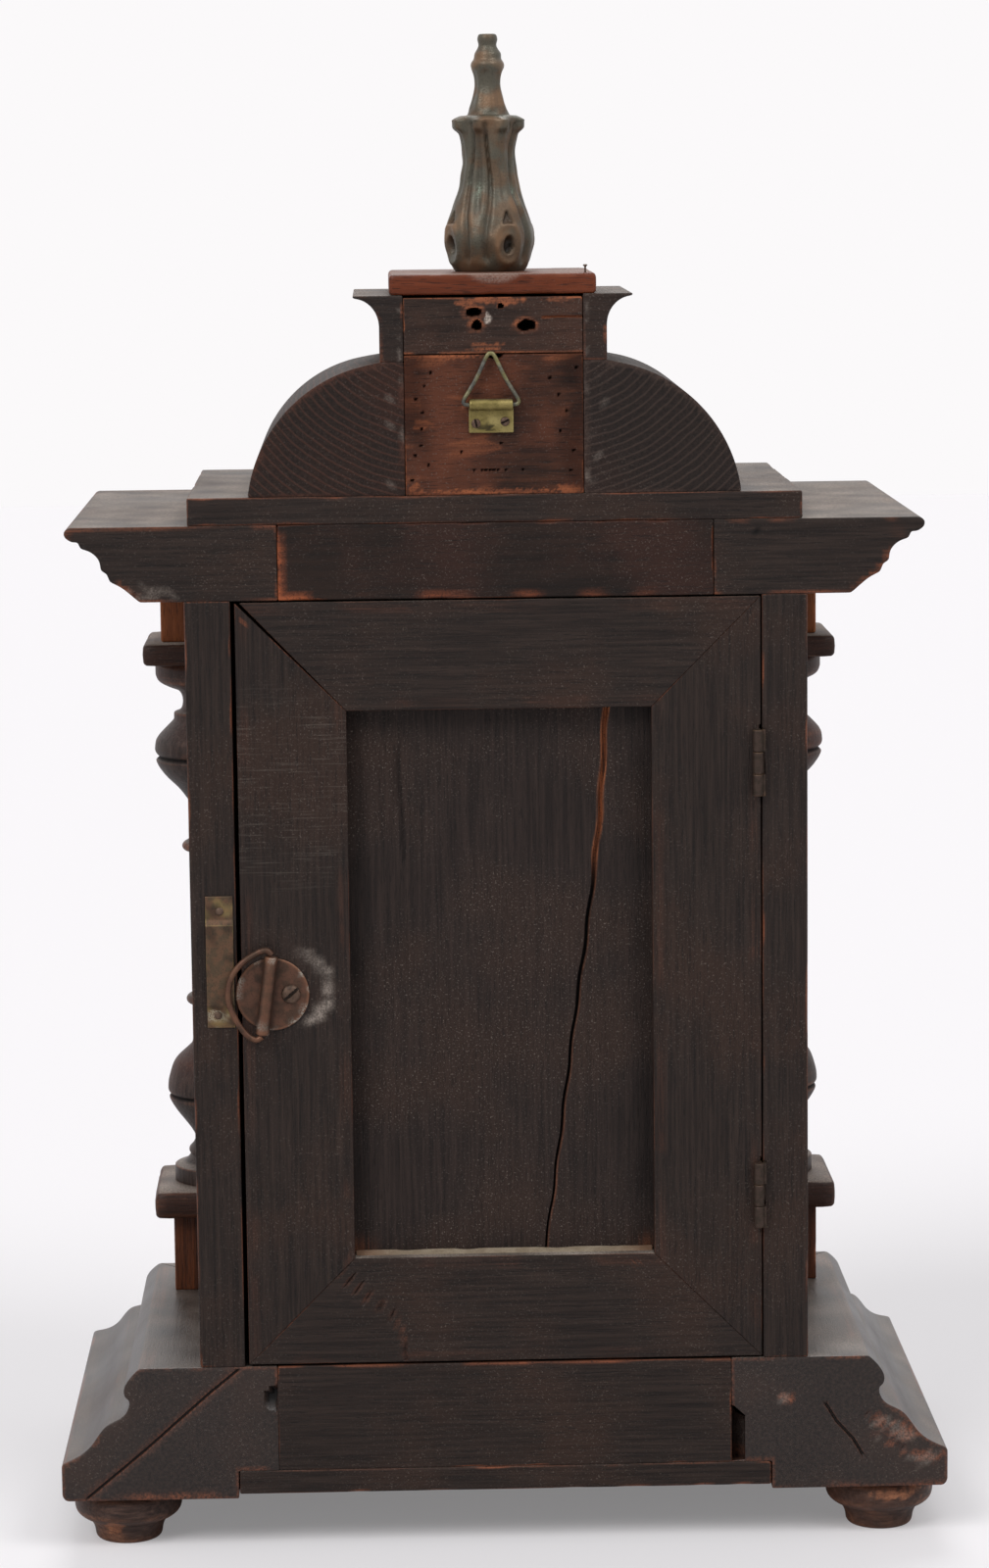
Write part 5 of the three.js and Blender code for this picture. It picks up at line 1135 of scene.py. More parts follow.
# %% Lathe
def turned(runs, axis, low, seed=1, sides=96, spacing=0.7, passes=2, bare=0.6, way="z"):
    """A closed turning from (radius, height) runs; it stands up, or its top faces the back or the front."""
    line = np.vstack([smooth_run(knots, spacing)[:-1] for knots in runs] + [[runs[-1][-1]]])
    soft_line = line.copy()
    for _ in range(passes):
        soft_line[1:-1] = 0.25 * soft_line[:-2] + 0.5 * soft_line[1:-1] + 0.25 * soft_line[2:]
    soft_line[[0, -1], 0] = 0
    ahead = np.gradient(soft_line, axis=0)
    shift = (line - soft_line)[:, 0] * ahead[:, 1] - (line - soft_line)[:, 1] * ahead[:, 0]
    crest = rise(shift / np.maximum(np.linalg.norm(ahead, axis=1), 1e-9), 0.01, 0.08)
    angles = np.linspace(0, 2 * math.pi, sides, endpoint=False)
    middle = soft_line[1:-1]
    radius, height = np.repeat(middle[:, 0], sides), np.repeat(middle[:, 1], sides)
    turn = np.tile(angles, len(middle))
    points = np.stack([radius * np.cos(turn), radius * np.sin(turn), height], 1)
    points = np.vstack([points, [[0, 0, soft_line[0, 1]], [0, 0, soft_line[-1, 1]]]])
    here = np.arange(sides)
    after = np.roll(here, -1)
    faces = []
    for i in range(len(middle) - 1):
        a, b = i * sides, (i + 1) * sides
        faces += np.stack([here + a, after + a, after + b, here + b], 1).tolist()
    bottom, top, last = len(points) - 2, len(points) - 1, (len(middle) - 1) * sides
    faces += [[bottom, j, i] for i, j in zip(here.tolist(), after.tolist())]
    faces += [[top, i + last, j + last] for i, j in zip(here.tolist(), after.tolist())]
    if way != "z":
        turn = 1 if way == "back" else -1
        points = np.stack([points[:, 0], turn * points[:, 2], -turn * points[:, 1]], 1)
    points = points + np.array([axis[0], axis[1], low])
    worn = np.concatenate([np.repeat(crest[1:-1], sides), [0, 0]])
    patchy = np.clip(0.6 + 0.6 * ripple(points, 8, seed), 0, 1)
    state = np.stack([bare * worn * patchy, 0 * worn, 0 * worn], 1)
    return points, faces, state


# %% Columns
COLUMN = [
    [(0, 0), (14.9, 0)], [(14.9, 0), (14.9, 5.2)], [(14.9, 5.2), (11.6, 6.2), (9.4, 8.6)],
    [(9.4, 8.6), (10.2, 9.8), (9.9, 11), (8.8, 11.9)],
    [(8.8, 11.9), (7.8, 14.4), (9.4, 17.8), (14, 24), (16.0, 27.4), (16.4, 28.6)],
    [(16.4, 28.6), (15.1, 29.3)],
    [(15.1, 29.3), (16.5, 30.3), (16.6, 32.4), (16.2, 35), (14.2, 40.6), (10.2, 44.6), (8.2, 46.4)],
    [(8.2, 46.4), (7.6, 52), (7.4, 59.4)], [(7.4, 59.4), (9.5, 60.2), (10, 61.4), (9.5, 62.6), (7.4, 63.6)],
    [(7.4, 63.6), (7, 87), (7.4, 110.8)],
    [(7.4, 110.8), (9.8, 111.8), (10.4, 113), (9.8, 114.2), (7.8, 115.2)],
    [(7.8, 115.2), (7.7, 122), (7.8, 128.4)],
    [(7.8, 128.4), (11, 132.6), (15, 136.6), (17.4, 139.9), (18.3, 142)], [(18.3, 142), (16.9, 143.2)],
    [(16.9, 143.2), (18.4, 144.6), (18.4, 147), (17.4, 149.8), (12, 155.4)], [(12, 155.4), (12, 157.8)],
    [(12, 157.8), (9.8, 158.6), (9, 160.6), (9, 162.8)],
    [(9, 162.8), (10.2, 165), (13.6, 166.4), (16.8, 168.2), (17.8, 170.4)], [(17.8, 170.4), (17.8, 173.2)],
    [(17.8, 173.2), (17.2, 174.4), (16.4, 175)], [(16.4, 175), (0, 175)],
]
BEAD_GROOVES = (29.3, 143.2)


def groove_dirt(points, state):
    """Painted shade, near black, fills the groove round each bulb."""
    for height in BEAD_GROOVES:
        mark(state, DIRT_AND_SHADE, 0.9 * (1 - rise(np.abs(points[:, 2] - low[2] - height), 0.2, 0.9)))


for side in ("left", "right"):
    low, high = span(f"column_{side}")
    axis = (low[:2] + high[:2]) / 2
    shape = turned(COLUMN, axis, low[2], seed=101)
    piece(
        f"column_{side}_turned", shape, turned_wood, [f"column_{side}"], carve=groove_dirt,
        dust=0.6
    )
    foot_low, foot_high = span(f"pedestal_{side}")
    seat = (*axis, 0)
    block_half, slab_half, slab_low = np.array([15, 15, 0]), np.array([21, 21, 0]), foot_high[2] - 9.3
    block = worn_block(
        seat - block_half + [0, 0, foot_low[2]], seat + block_half + [0, 0, slab_low], step=3, seed=103
    )
    slab = worn_block(
        seat - slab_half + [0, 0, slab_low], seat + slab_half + [0, 0, foot_high[2]], step=3, radius=2.4,
        seed=104, bare=0.3
    )
    piece(f"pedestal_{side}_block", block, pedestal_wood, [f"pedestal_{side}"])
    piece(f"pedestal_{side}_slab", slab, slab_wood, [f"pedestal_{side}"], dust=0.9)
    top_low, top_high = span(f"capital_{side}")
    slab_top = top_low[2] + 7.5
    slab = worn_block(
        seat - slab_half + [0, 0, top_low[2]], seat + slab_half + [0, 0, slab_top], step=3, radius=2.4,
        seed=105, bare=0.3
    )
    block = worn_block(
        seat - block_half + [0, 0, slab_top], seat + block_half + [0, 0, top_high[2]], step=3, seed=106
    )
    piece(f"capital_{side}_slab", slab, slab_wood, [f"capital_{side}"], dust=0.9)
    piece(f"capital_{side}_block", block, block_wood, [f"capital_{side}"])

# %% Feet
FOOT = [
    [(0, 0), (9.8, 0)], [(9.8, 0), (10.5, 0.7), (10.7, 2.4), (11.3, 4.4), (12.6, 6.4)],
    [(12.6, 6.4), (14.8, 7.4), (16.5, 9), (17, 11), (17, 13.4), (16.2, 15.6), (14, 17)],
    [(14, 17), (0, 17)],
]
FOOT_REACH = 17  # the profile's greatest radius, and its height


def foot_marks(points, state):
    """One orange rub on the latch-side foot, one gold streak on the hinge-side foot."""
    back = points[:, 1] > axis[1]
    mark(state, BARE, back * (points[:, 0] > 0) * blotch(points, 123, 6.2, 3.6, 2.6, 111, 0.3))
    mark(state, BARE, 0.8 * back * (points[:, 0] < 0) * blotch(points, -124, 13.5, 8, 1.6, 112, 0.6))
    mark(state, BARE, 0.35 * (points[:, 2] < 9) * rise(ripple(points, 7, 113), 0, 0.8))


for end in ("back_left", "back_right", "front_left", "front_right"):
    low, high = span(f"foot_{end}")
    axis = (low[:2] + high[:2]) / 2
    fit = (high[0] - low[0]) / 2 / FOOT_REACH
    lift = (high[2] - low[2]) / FOOT_REACH
    runs = [[(radius * fit, height * lift) for radius, height in knots] for knots in FOOT]
    piece(
        f"foot_{end}_turned", turned(runs, axis, low[2], seed=110), foot_wood,
        [f"foot_{end}"], carve=foot_marks, dust=0.4
    )

# %% [markdown]
# ## Cast finial
# The finial is one lost-wax casting: four broad leaves that wrap a bulb and four narrow ones between
# them, a lobed lip, and a small spire above. It can't be turned, so its radius is a lathe profile
# times a pattern round the axis. Each broad leaf carries an eye, which is a hollow in an almond rim,
# and a three-cornered notch above it. Verdigris sits in the hollows and bronze shows on the ridges.

# %% Finial
BULB = [
    (11.2, 0), (12.4, 2), (13.3, 5.2), (13.9, 8), (14.1, 10.2), (13.9, 13), (13.4, 15.4), (12, 19.6),
    (10.6, 23.5), (9.7, 27), (9.2, 31), (8.9, 35), (9, 38), (9.6, 41), (10.3, 43.6), (10.3, 45.2),
]
SPIRE = [
    (6.3, 47.4), (5.6, 49.4), (4.8, 52.4), (4.1, 55.4), (4.0, 57.5), (4.3, 60), (5, 61.8), (5, 63.2),
    (4.2, 64.4)
]
low, high = span("finial")
axis = (low[:2] + high[:2]) / 2
tip = high[2] - low[2]
finial_runs = [
    [(0, 0), (11.2, 0)], BULB, [(10.3, 45.2), (9.9, 46.5), (8.6, 47.3)], [(8.6, 47.3), (6.3, 47.4)], SPIRE,
    [(4.2, 64.4), (4.1, 66), (3.3, 67.2)], [(3.3, 67.2), (2.7, 68.6), (3.1, 70.2), (2.9, 71.4)],
    [(2.9, 71.4), (2.5, tip), (1.6, tip)], [(1.6, tip), (1.4, tip - 1.6)], [(1.4, tip - 1.6), (0, tip - 2)],
]
points, faces, state = turned(finial_runs, (0, 0), 0, seed=120, sides=160, spacing=0.45, bare=0)
height, radius = points[:, 2], np.hypot(points[:, 0], points[:, 1])
angle = np.arctan2(points[:, 1], points[:, 0])
FIRST_LEAF = math.radians(90 + 25)  # seen from behind, one eye looks out a little to the right
quarter = math.pi / 2
from_leaf = (angle - FIRST_LEAF + quarter / 2) % quarter - quarter / 2
aside = from_leaf * radius  # millimetres sideways from the middle of a broad leaf
turns = from_leaf / (quarter / 2)
on_bulb = 1 - rise(height, 44.5, 46.5)
leaf_edge = 0.62 + 0.1 * np.sin(height / 5.5)
valley = np.exp(-((np.abs(turns) - leaf_edge) / 0.1) ** 2) * rise(height, 1, 5) * on_bulb
twin = np.exp(-((np.abs(turns) - 1.0) / 0.13) ** 2) * rise(height, 14, 20) * on_bulb
vein = np.exp(-(turns / 0.1) ** 2) * rise(height, 19, 25) * on_bulb
almond = np.hypot(aside / 4.0, (height - 8.6) / 6.2)
rim = np.exp(-((almond - 1) / 0.22) ** 2)
hollow = 1 - rise(np.hypot(aside / 2.0, (height - 8.2) / 3.0), 0.55, 1.1)
notch = (
    1 - rise(np.abs(aside) - (2.1 - 0.55 * (height - 14.6)), -0.3, 0.5)
) * rise(height, 14.2, 15.0) * (1 - rise(height, 18, 18.8))
lobes = np.cos(8 * (angle - FIRST_LEAF)) * rise(height, 30, 45) * on_bulb
crown = (1 - rise(np.abs(height - 44.6), 0.8, 3.0)) * (0.5 + 0.5 * np.cos(8 * (angle - FIRST_LEAF)))
ribs = np.cos(7 * angle) * rise(height, 48, 50) * (1 - rise(height, 60, 62))
cast = ripple(points, 5, 121) * rise(height, 0.5, 3)
outer = radius > 2.6
shift = -1.1 * valley - 0.6 * twin - 0.35 * vein + 0.6 * rim - 2.0 * hollow - 1.3 * notch
shift += 0.6 * lobes + 1.5 * crown - 0.5 * on_bulb + 0.22 * ribs + 0.25 * cast
wanted = np.clip(radius + shift * outer * rise(radius, 2.6, 5), 0.2, 14.05)
grow = np.where(outer, wanted / np.maximum(radius, 1e-6), 1)
points[:, 0] *= grow
points[:, 1] *= grow
points[:, 2] = np.where(outer & (np.abs(height - 45.8) < 1.6), height + 0.9 * lobes, height)
raised = np.clip(rim + 0.6 * (1 - valley) * rise(ripple(points, 6, 122), 0.1, 0.7), 0, 1)
state[:, BARE] = 0.75 * raised * rise(ripple(points, 9, 123), -0.5, 0.4) * outer
# Painted shade in the leaf valleys, eye hollows and notches.
state[:, DIRT_AND_SHADE] = np.clip(0.28 * valley + 0.9 * hollow + 0.6 * notch + 0.3 * twin, 0, 0.9)
joint = np.exp(-((height - 24.5) / 2.5) ** 2) * (valley + twin)
green = np.clip(rise(height, 45.8, 47) * on_bulb + joint * rise(ripple(points, 3, 124), -0.3, 0.4), 0, 1)
state[:, DUST_AND_HIGHLIGHT] = 0.7 * green
points += np.array([*axis, low[2]])
piece("finial_cast", (points, faces, state), patina, ["finial"], sharp=60, dust=0.2)

# %% [markdown]
# ## Rear door
# The door's frame has four mitred members with a rebate that holds a flat panel. The mitre at the top
# of the latch stile has shrunk open, so its top rail stops short there. The panel has split along its
# grain. The split needs a fine grid, so the panel's upright grid lines are bent to run along it.

# %% Door frame
low, high = span("door_stile_hinge")
DOOR_LEFT, DOOR_BOTTOM, DOOR_TOP, MEMBER = low[0], low[2], high[2], high[0] - low[0]
DOOR_RIGHT = span("door_stile_latch")[1][0]
OPENING = DOOR_RIGHT - span("door_rail_top")[1][0]
member = section(
    [(0, 0), (MEMBER, 0)], [(MEMBER, 0), (MEMBER, 6.5)], [(MEMBER, 6.5), (26.5, 6.5)],
    [(26.5, 6.5), (26.5, 14)],
    [(26.5, 14), (0, 14)], [(0, 14), (0, 0)], spacing=0.6, passes=3,
)


def door_corner(right, top, shrunk=0.0):
    """A mitred corner of the door; shrunk opens the joint at its outer end."""
    def place(spots):
        inset, depth = spots[:, 0], spots[:, 1]
        x = DOOR_RIGHT - inset - shrunk * (1 - inset / MEMBER) if right else DOOR_LEFT + inset
        z = DOOR_TOP - inset if top else DOOR_BOTTOM + inset
        return np.stack([x, BACK - depth, z], 1)
    return place


def let_in_leaves(points, state):
    """Recesses for the two door leaves, and a few scuffs."""
    for leaf in ("upper_hinge_door_leaf", "lower_hinge_door_leaf"):
        low, high = span(leaf)
        inside = on_back(points, 10.2) & (points[:, 2] > low[2] - 0.4) & (points[:, 2] < high[2] + 0.4)
        points[inside & (points[:, 0] < DOOR_LEFT + 0.5), 0] = DOOR_LEFT + 1.0
    back = on_back(points, 2)
    mark(state, BARE, 0.7 * back * blotch(points, -44.3, 266.4, 1.2, 0.6, 131, 0.3))


def stile_scuffs(points, state):
    """A pale rub beside the turn plate and a bare corner where the mitre has opened."""
    back = on_back(points, 2)
    x, z = points[:, 0], points[:, 2]
    away = np.hypot(x - 65.2, z - 179.2)
    arc = (1 - rise(np.abs(away - 12.2), 0.5, 2.6)) * (1 - rise(x, 58, 63)) * rise(z, 166, 170)
    mark(state, DUST_AND_HIGHLIGHT, 0.6 * back * arc * (0.4 + 0.6 * rise(ripple(points, 1.8, 133), -0.4, 0.6)))
    mark(state, BARE, 0.9 * back * blotch(points, 77.1, 293.1, 0.8, 1.2, 134, 0.3))


def bottom_crack(points, state):
    """The crack in the door's bottom rail, and a rubbed spot near its other end."""
    open_crack(points, state, [(50, 88.8), (43, 81.5), (35, 76), (31.5, 69), (30.6, 61)], 0.45, 0.6, 0.25)
    mark(state, BARE, 0.8 * on_back(points, 2) * blotch(points, -41.3, 90.3, 1.8, 1.0, 135, 0.4))


top_rail = swept(
    member, [door_corner(False, True), door_corner(True, True, OPENING)], seed=136, end_round=0.2, bare=0.5
)
low_rail = swept(
    member, [door_corner(False, False), door_corner(True, False)], step=0.8, seed=137, end_round=0.2,
    bare=0.5
)
hinge_stile = swept(
    member, [door_corner(False, False), door_corner(False, True)], step=1.6, seed=138, end_round=0.2,
    bare=0.5
)
latch_stile = swept(
    member, [door_corner(True, False), door_corner(True, True)], step=0.5, seed=139, end_round=0.2, bare=0.5
)
piece(
    "door_rail_top_mitred", top_rail, ebonised["x"], ["door_rail_top"], "rear_door",
    dust=0.3
)
piece(
    "door_rail_bottom_mitred", low_rail, ebonised["x"], ["door_rail_bottom"], "rear_door",
    bottom_crack, dust=0.8
)
piece(
    "door_stile_hinge_mitred", hinge_stile, ebonised["z"], ["door_stile_hinge"],
    "rear_door", let_in_leaves
)
piece(
    "door_stile_latch_mitred", latch_stile, stile_wood, ["door_stile_latch"], "rear_door",
    stile_scuffs
)

# %% Door panel
SPLIT = [
    (-33.9, 272), (-33.5, 264.5), (-31.4, 231.6), (-28.8, 208.7), (-26.6, 191.8), (-23, 167.1),
    (-19.4, 139.2), (-16.1, 114.2), (-13.0, 92.2), (-12.4, 87)
]
split_z, split_x = np.array(SPLIT)[::-1, 1], np.array(SPLIT)[::-1, 0]
HOME = -23.0
OLD_CHECK = [(31.6, 264.5), (30.1, 241.7), (29.2, 217.3)]


def split_panel(points, state):
    """Bends the fine columns of the grid along the split, then cuts and colours it."""
    path = np.interp(points[:, 2], split_z, split_x) + 0.25 * np.sin(points[:, 2] / 3.1)
    near = rise(points[:, 0], low[0] + 1.5, HOME - 4) * (1 - rise(points[:, 0], HOME + 4, high[0] - 1.5))
    points[:, 0] += (path - HOME) * near
    back = points[:, 1] > high[1] - 0.6
    gap = points[:, 0] - path
    half = 0.3 + 0.22 * rise(points[:, 2], 90, 200)
    cut = back * (1 - rise(np.abs(gap), 0.7 * half, 1.25 * half))
    upper = rise(points[:, 2], 205, 222)
    fresh = back * (1 - rise(np.abs(gap + 0.35 * (1 - upper)), 0.3 + 0.45 * upper, 0.7 + 0.5 * upper))
    points[:, 1] -= 1.6 * cut
    mark(state, BARE, fresh * (0.25 + 0.75 * upper))
    # Painted shade inside the split, strong low down and faint in its fresh upper part.
    mark(state, DIRT_AND_SHADE, cut * (1 - 0.9 * upper))
    check = near_line(points, OLD_CHECK, 0.9) * back
    mark(state, DIRT_AND_SHADE, 0.6 * check)
    # Painted shade along the panel's sides, where the stiles stand over it.
    side = np.minimum(points[:, 0] + 47, 45.5 - points[:, 0])
    mark(state, DIRT_AND_SHADE, 0.35 * back * (1 - rise(side, 2, 9)) * (0.7 + 0.3 * ripple(points, 9, 141)))
    mark(
        state, BARE, 0.8 * back * rise(points[:, 2], 264.3, 265.2) * rise(ripple(points, 7, 142), -0.5, 0.2)
    )
    mark(state, BARE, 0.35 * back * (1 - rise(points[:, 2], 94.5, 101)) * (1 - rise(side, 0, 8)))


low, high = span("door_panel")
fine = [
    HOME + v
    for v in (
        -3, -2, -1.4, -1, -0.75, -0.55, -0.4, -0.28, -0.15, 0, 0.15, 0.28, 0.4, 0.55, 0.75, 1, 1.4, 2, 3
    )
]
panel = worn_block(
    low, high, step=2.2, radius=0.3, seed=140, lines={"x": fine + [30.4, 30.9, 31.4, 29.6, 29.1]}, bare=0.3
)
piece("door_panel_split", panel, panel_wood, ["door_panel"], "rear_door", split_panel)

# %% Dust on the ledge
# Grey-beige house dust: it lies on the ledge below the panel, deepest against the panel.
dust = old_metal(
    "house dust", "#7d6f5c", "#8d806d", "#6b4a34", "#9d9180", dirt_and_shade="#5a4a3c", metallic=0.0, rough=0.9,
    lump=5, relief=0.3
)
ledge_low = (DOOR_LEFT + MEMBER + 0.3, BACK - 6.4, DOOR_BOTTOM + MEMBER - 0.3)
ledge_high = (DOOR_RIGHT - MEMBER - 0.3, BACK - 3.4, DOOR_BOTTOM + MEMBER + 1.1)


def drift(points, state):
    """Makes the strip a ragged drift that is lowest at its outer edge."""
    outer = (points[:, 1] - ledge_low[1]) / (ledge_high[1] - ledge_low[1])
    top = points[:, 2] > ledge_low[2] + 0.6
    points[:, 2] -= top * (0.75 * rise(outer, 0.1, 1) + 0.3 * rise(ripple(points, 6, 151), -0.2, 0.8))
    mark(state, BARE, 0.8 * rise(np.abs(points[:, 0] + 0.4), 30, 46))


piece(
    "panel_ledge_dust", worn_block(ledge_low, ledge_high, step=0.9, radius=0.35, seed=150, bare=0), dust,
    [], "rear_door", drift
)

# %% [markdown]
# ## Wire and sheet fittings
# The latch, its ring, the keeper and the hanger are bent from wire and sheet. A wire is a round
# section carried along a path of points. Sheet pieces are thin worn blocks, with very small rounds.

# %% Wire
def new_tree(name, inputs):
    """An empty geometry tree with named inputs, and a mesh as its one output."""
    tree = bpy.data.node_groups.new(name, "GeometryNodeTree")
    for label, kind in inputs.items():
        tree.interface.new_socket(label, in_out="INPUT", socket_type=f"NodeSocket{kind}")
    tree.interface.new_socket("Mesh", in_out="OUTPUT", socket_type="NodeSocketGeometry")
    return tree


def run_tree(name, tree, start, values, body="case", nodes=(), wear=None):
    """Runs a tree on a start mesh, sets its inputs by socket, and makes the result a piece."""
    holder = bpy.data.objects.new(f"{name} start", start)
    scene.collection.objects.link(holder)
    modifier = holder.modifiers.new("build", "NODES")
    modifier.node_group = tree
    for socket in tree.interface.items_tree:
        if socket.in_out == "INPUT" and socket.name in values:
            modifier[socket.identifier] = values[socket.name]
    bpy.context.view_layer.update()
    built = bpy.data.meshes.new_from_object(holder.evaluated_get(bpy.context.evaluated_depsgraph_get()))
    bpy.data.objects.remove(holder)
    points = np.zeros(len(built.vertices) * 3)
    built.vertices.foreach_get("co", points)
    points = points.reshape(-1, 3) / MM
    faces = [list(face.vertices) for face in built.polygons]
    state = np.zeros((len(points), 3))
    if "state" in built.attributes:
        colours = np.zeros(len(points) * 4)
        built.attributes["state"].data.foreach_get("color", colours)
        state = colours.reshape(-1, 4)[:, :3]
    return piece(name, (points, faces, state), values["Finish"], nodes, body, wear)


wire_tree = new_tree(
    "wire along a path", {"Path": "Geometry", "Radius": "Float", "Sides": "Int", "Finish": "Material"}
)
path, radius, sides, finish = (
    add(wire_tree, "NodeGroupInput", out=label) for label in ("Path", "Radius", "Sides", "Finish")
)
course = add(wire_tree, "GeometryNodeMeshToCurve", {"Mesh": path})
round_section = add(wire_tree, "GeometryNodeCurvePrimitiveCircle", {"Resolution": sides, "Radius": radius})
tube = add(
    wire_tree, "GeometryNodeCurveToMesh",
    {"Curve": course, "Profile Curve": round_section, "Fill Caps": True}
)
solid = add(wire_tree, "GeometryNodeRealizeInstances", {"Geometry": tube})
dressed = add(wire_tree, "GeometryNodeSetMaterial", {"Geometry": solid, "Material": finish})
add(wire_tree, "NodeGroupOutput", {"Mesh": dressed})


def wire(name, knots, radius, closed, bright, seed, material, node, body):
    """A round wire through knots; bright says how much of it is rubbed to clean metal."""
    line = smooth_run(knots + knots[:1], 0.5)[:-1] if closed else smooth_run(knots, 0.5)
    edges = [(i, (i + 1) % len(line)) for i in range(len(line) if closed else len(line) - 1)]
    start = bpy.data.meshes.new(name)
    start.from_pydata((line * MM).tolist(), edges, [])

    def rub(points, state):
        mark(state, BARE, bright * rise(ripple(points, 4, seed), -0.2, 0.6))

    values = {"Radius": radius * MM, "Sides": 14, "Finish": material}
    return run_tree(name, wire_tree, start, values, body, [node], rub)


def turned_about(shape, pivot, angle):
    """A shape turned about a line along y through a pivot's x and z."""
    points, faces, state = shape
    x, z = points[:, 0] - pivot[0], points[:, 2] - pivot[1]
    c, s = math.cos(angle), math.sin(angle)
    turned_points = np.stack([pivot[0] + x * c + z * s, points[:, 1], pivot[1] - x * s + z * c], 1)
    return turned_points, faces, state


# %% Hinges
PIN_X, PIN_Y, HINGE_LENGTH = -79.6, BACK + 1.9, 20.6
for place in ("upper", "lower"):
    case_leaf = span(f"{place}_hinge_case_leaf")
    middle = (case_leaf[0][2] + case_leaf[1][2]) / 2
    foot, head = middle - HINGE_LENGTH / 2, middle + HINGE_LENGTH / 2
    third = HINGE_LENGTH / 3
    knuckle = [
        [(0, 0), (1.45, 0)], [(1.45, 0), (1.6, 0.25)], [(1.6, 0.25), (1.6, third - 0.35)],
        [(1.6, third - 0.35), (1.45, third - 0.1)], [(1.45, third - 0.1), (0, third - 0.1)],
    ]
    barrels = [
        turned(knuckle, (PIN_X, PIN_Y), foot + n * third + 0.05, seed=160 + n, sides=32, passes=1)
        for n in range(3)
    ]
    low, high = span(f"{place}_hinge_case_leaf")
    leaf = worn_block(
        (low[0] + 0.05, low[1] + 0.1, foot), (low[0] + 0.85, BACK - 0.25, head), step=1.5, radius=0.12,
        seed=163
    )
    tabs = [
        worn_block(
            (low[0] + 0.05, BACK - 0.7, z), (low[0] + 0.85, PIN_Y + 0.5, z + third - 0.15), step=1.5,
            radius=0.12, seed=164
        )
        for z in (foot, head - third + 0.15)
    ]
    piece(
        f"{place}_hinge_case_half", combine(barrels[0], barrels[2], leaf, *tabs), hinge_brass,
        [f"{place}_hinge_case_leaf"]
    )
    low, high = span(f"{place}_hinge_door_leaf")
    leaf = worn_block(
        (DOOR_LEFT + 0.05, low[1] + 0.1, foot), (DOOR_LEFT + 0.85, BACK - 0.25, head), step=1.5,
        radius=0.12, seed=165
    )
    tab = worn_block(
        (DOOR_LEFT + 0.05, BACK - 0.7, foot + third + 0.1),
        (DOOR_LEFT + 0.85, PIN_Y + 0.5, head - third - 0.1), step=1.5, radius=0.12, seed=166
    )
    piece(
        f"{place}_hinge_door_half", combine(barrels[1], leaf, tab), hinge_brass,
        [f"{place}_hinge_door_leaf"], "rear_door"
    )

# %% Turn latch
SCREW_X, LATCH_Z = 64.6, (span("turn_screw")[0][2] + span("turn_screw")[1][2]) / 2
PLATE_X, RIB_X, RIB_Y, TILT = 70.25, 71.95, BACK + 3.15, 0.13
disc_back, disc_front = BACK + 0.3, BACK + 1.0
disc = turned(
    [
        [(0, 0), (11.1, 0)], [(11.1, 0), (11.35, 0.2)], [(11.35, 0.2), (11.35, 0.45)],
        [(11.35, 0.45), (11.1, 0.68)], [(11.1, 0.68), (0, 0.7)],
    ],
    (PLATE_X, disc_back), LATCH_Z, seed=170, sides=120, spacing=0.9, passes=1, way="back",
)
rib_half = 12.3
rib_run = [
    [(0, 0), (1.9, 0)], [(1.9, 0), (2.1, 0.3)], [(2.1, 0.3), (2.1, 2 * rib_half - 0.3)],
    [(2.1, 2 * rib_half - 0.3), (1.9, 2 * rib_half)], [(1.9, 2 * rib_half), (0, 2 * rib_half)],
]
rib = turned(rib_run, (RIB_X, RIB_Y), LATCH_Z - rib_half, seed=171, sides=40, passes=1)
rib = turned_about(rib, (RIB_X, LATCH_Z), -TILT)
web = worn_block(
    (RIB_X - 1.9, disc_front - 0.2, LATCH_Z - 11), (RIB_X + 1.9, RIB_Y - 0.2, LATCH_Z + 11), step=1.5,
    radius=0.5, seed=172
)
web = turned_about(web, (RIB_X, LATCH_Z), -TILT)


def latch_dirt(points, state):
    """Painted shade in the creases beside the rib, bright metal on its crest and pale corrosion on the
    disc's rim.
    """
    x = points[:, 0] - RIB_X + math.tan(TILT) * (points[:, 2] - LATCH_Z)
    mark(state, DIRT_AND_SHADE, 0.55 * np.exp(-((np.abs(x) - 2.5) / 0.7) ** 2))
    mark(state, BARE, 0.2 * rise(points[:, 1], RIB_Y + 1.5, RIB_Y + 2.1))
    away = np.hypot(points[:, 0] - PLATE_X, points[:, 2] - LATCH_Z)
    mark(state, BARE, 0.5 * rise(away, 10.2, 11.2))
    mark(state, DUST_AND_HIGHLIGHT, 0.6 * rise(away, 9.5, 11) * rise(ripple(points, 3, 173), 0.1, 0.6))


piece(
    "turn_plate_worn", combine(disc, rib, web), latch_brass, ["turn_plate"],
    "turn_latch", latch_dirt
)


def on_latch(offset, reach):
    """A point of the ring: offset along the rib and reach out to its side."""
    lean, stand = math.sin(TILT), math.cos(TILT)
    return (RIB_X - offset * lean + reach * stand, RIB_Y, LATCH_Z + offset * stand + reach * lean)


RING = [
    (12.9, 0), (14.05, 1.6), (13.4, 4), (10.9, 6.8), (7.6, 9.2), (2.5, 11.6), (-3.7, 11.6), (-8.9, 9),
    (-13.0, 4.3), (-14.05, 1.6), (-12.9, 0)
]
ring_knots = [on_latch(-offset, reach) for offset, reach in RING]
wire(
    "pull_ring_wire", ring_knots, 0.95, False, 0.35, 174, latch_brass, "pull_ring",
    "latch_ring"
)

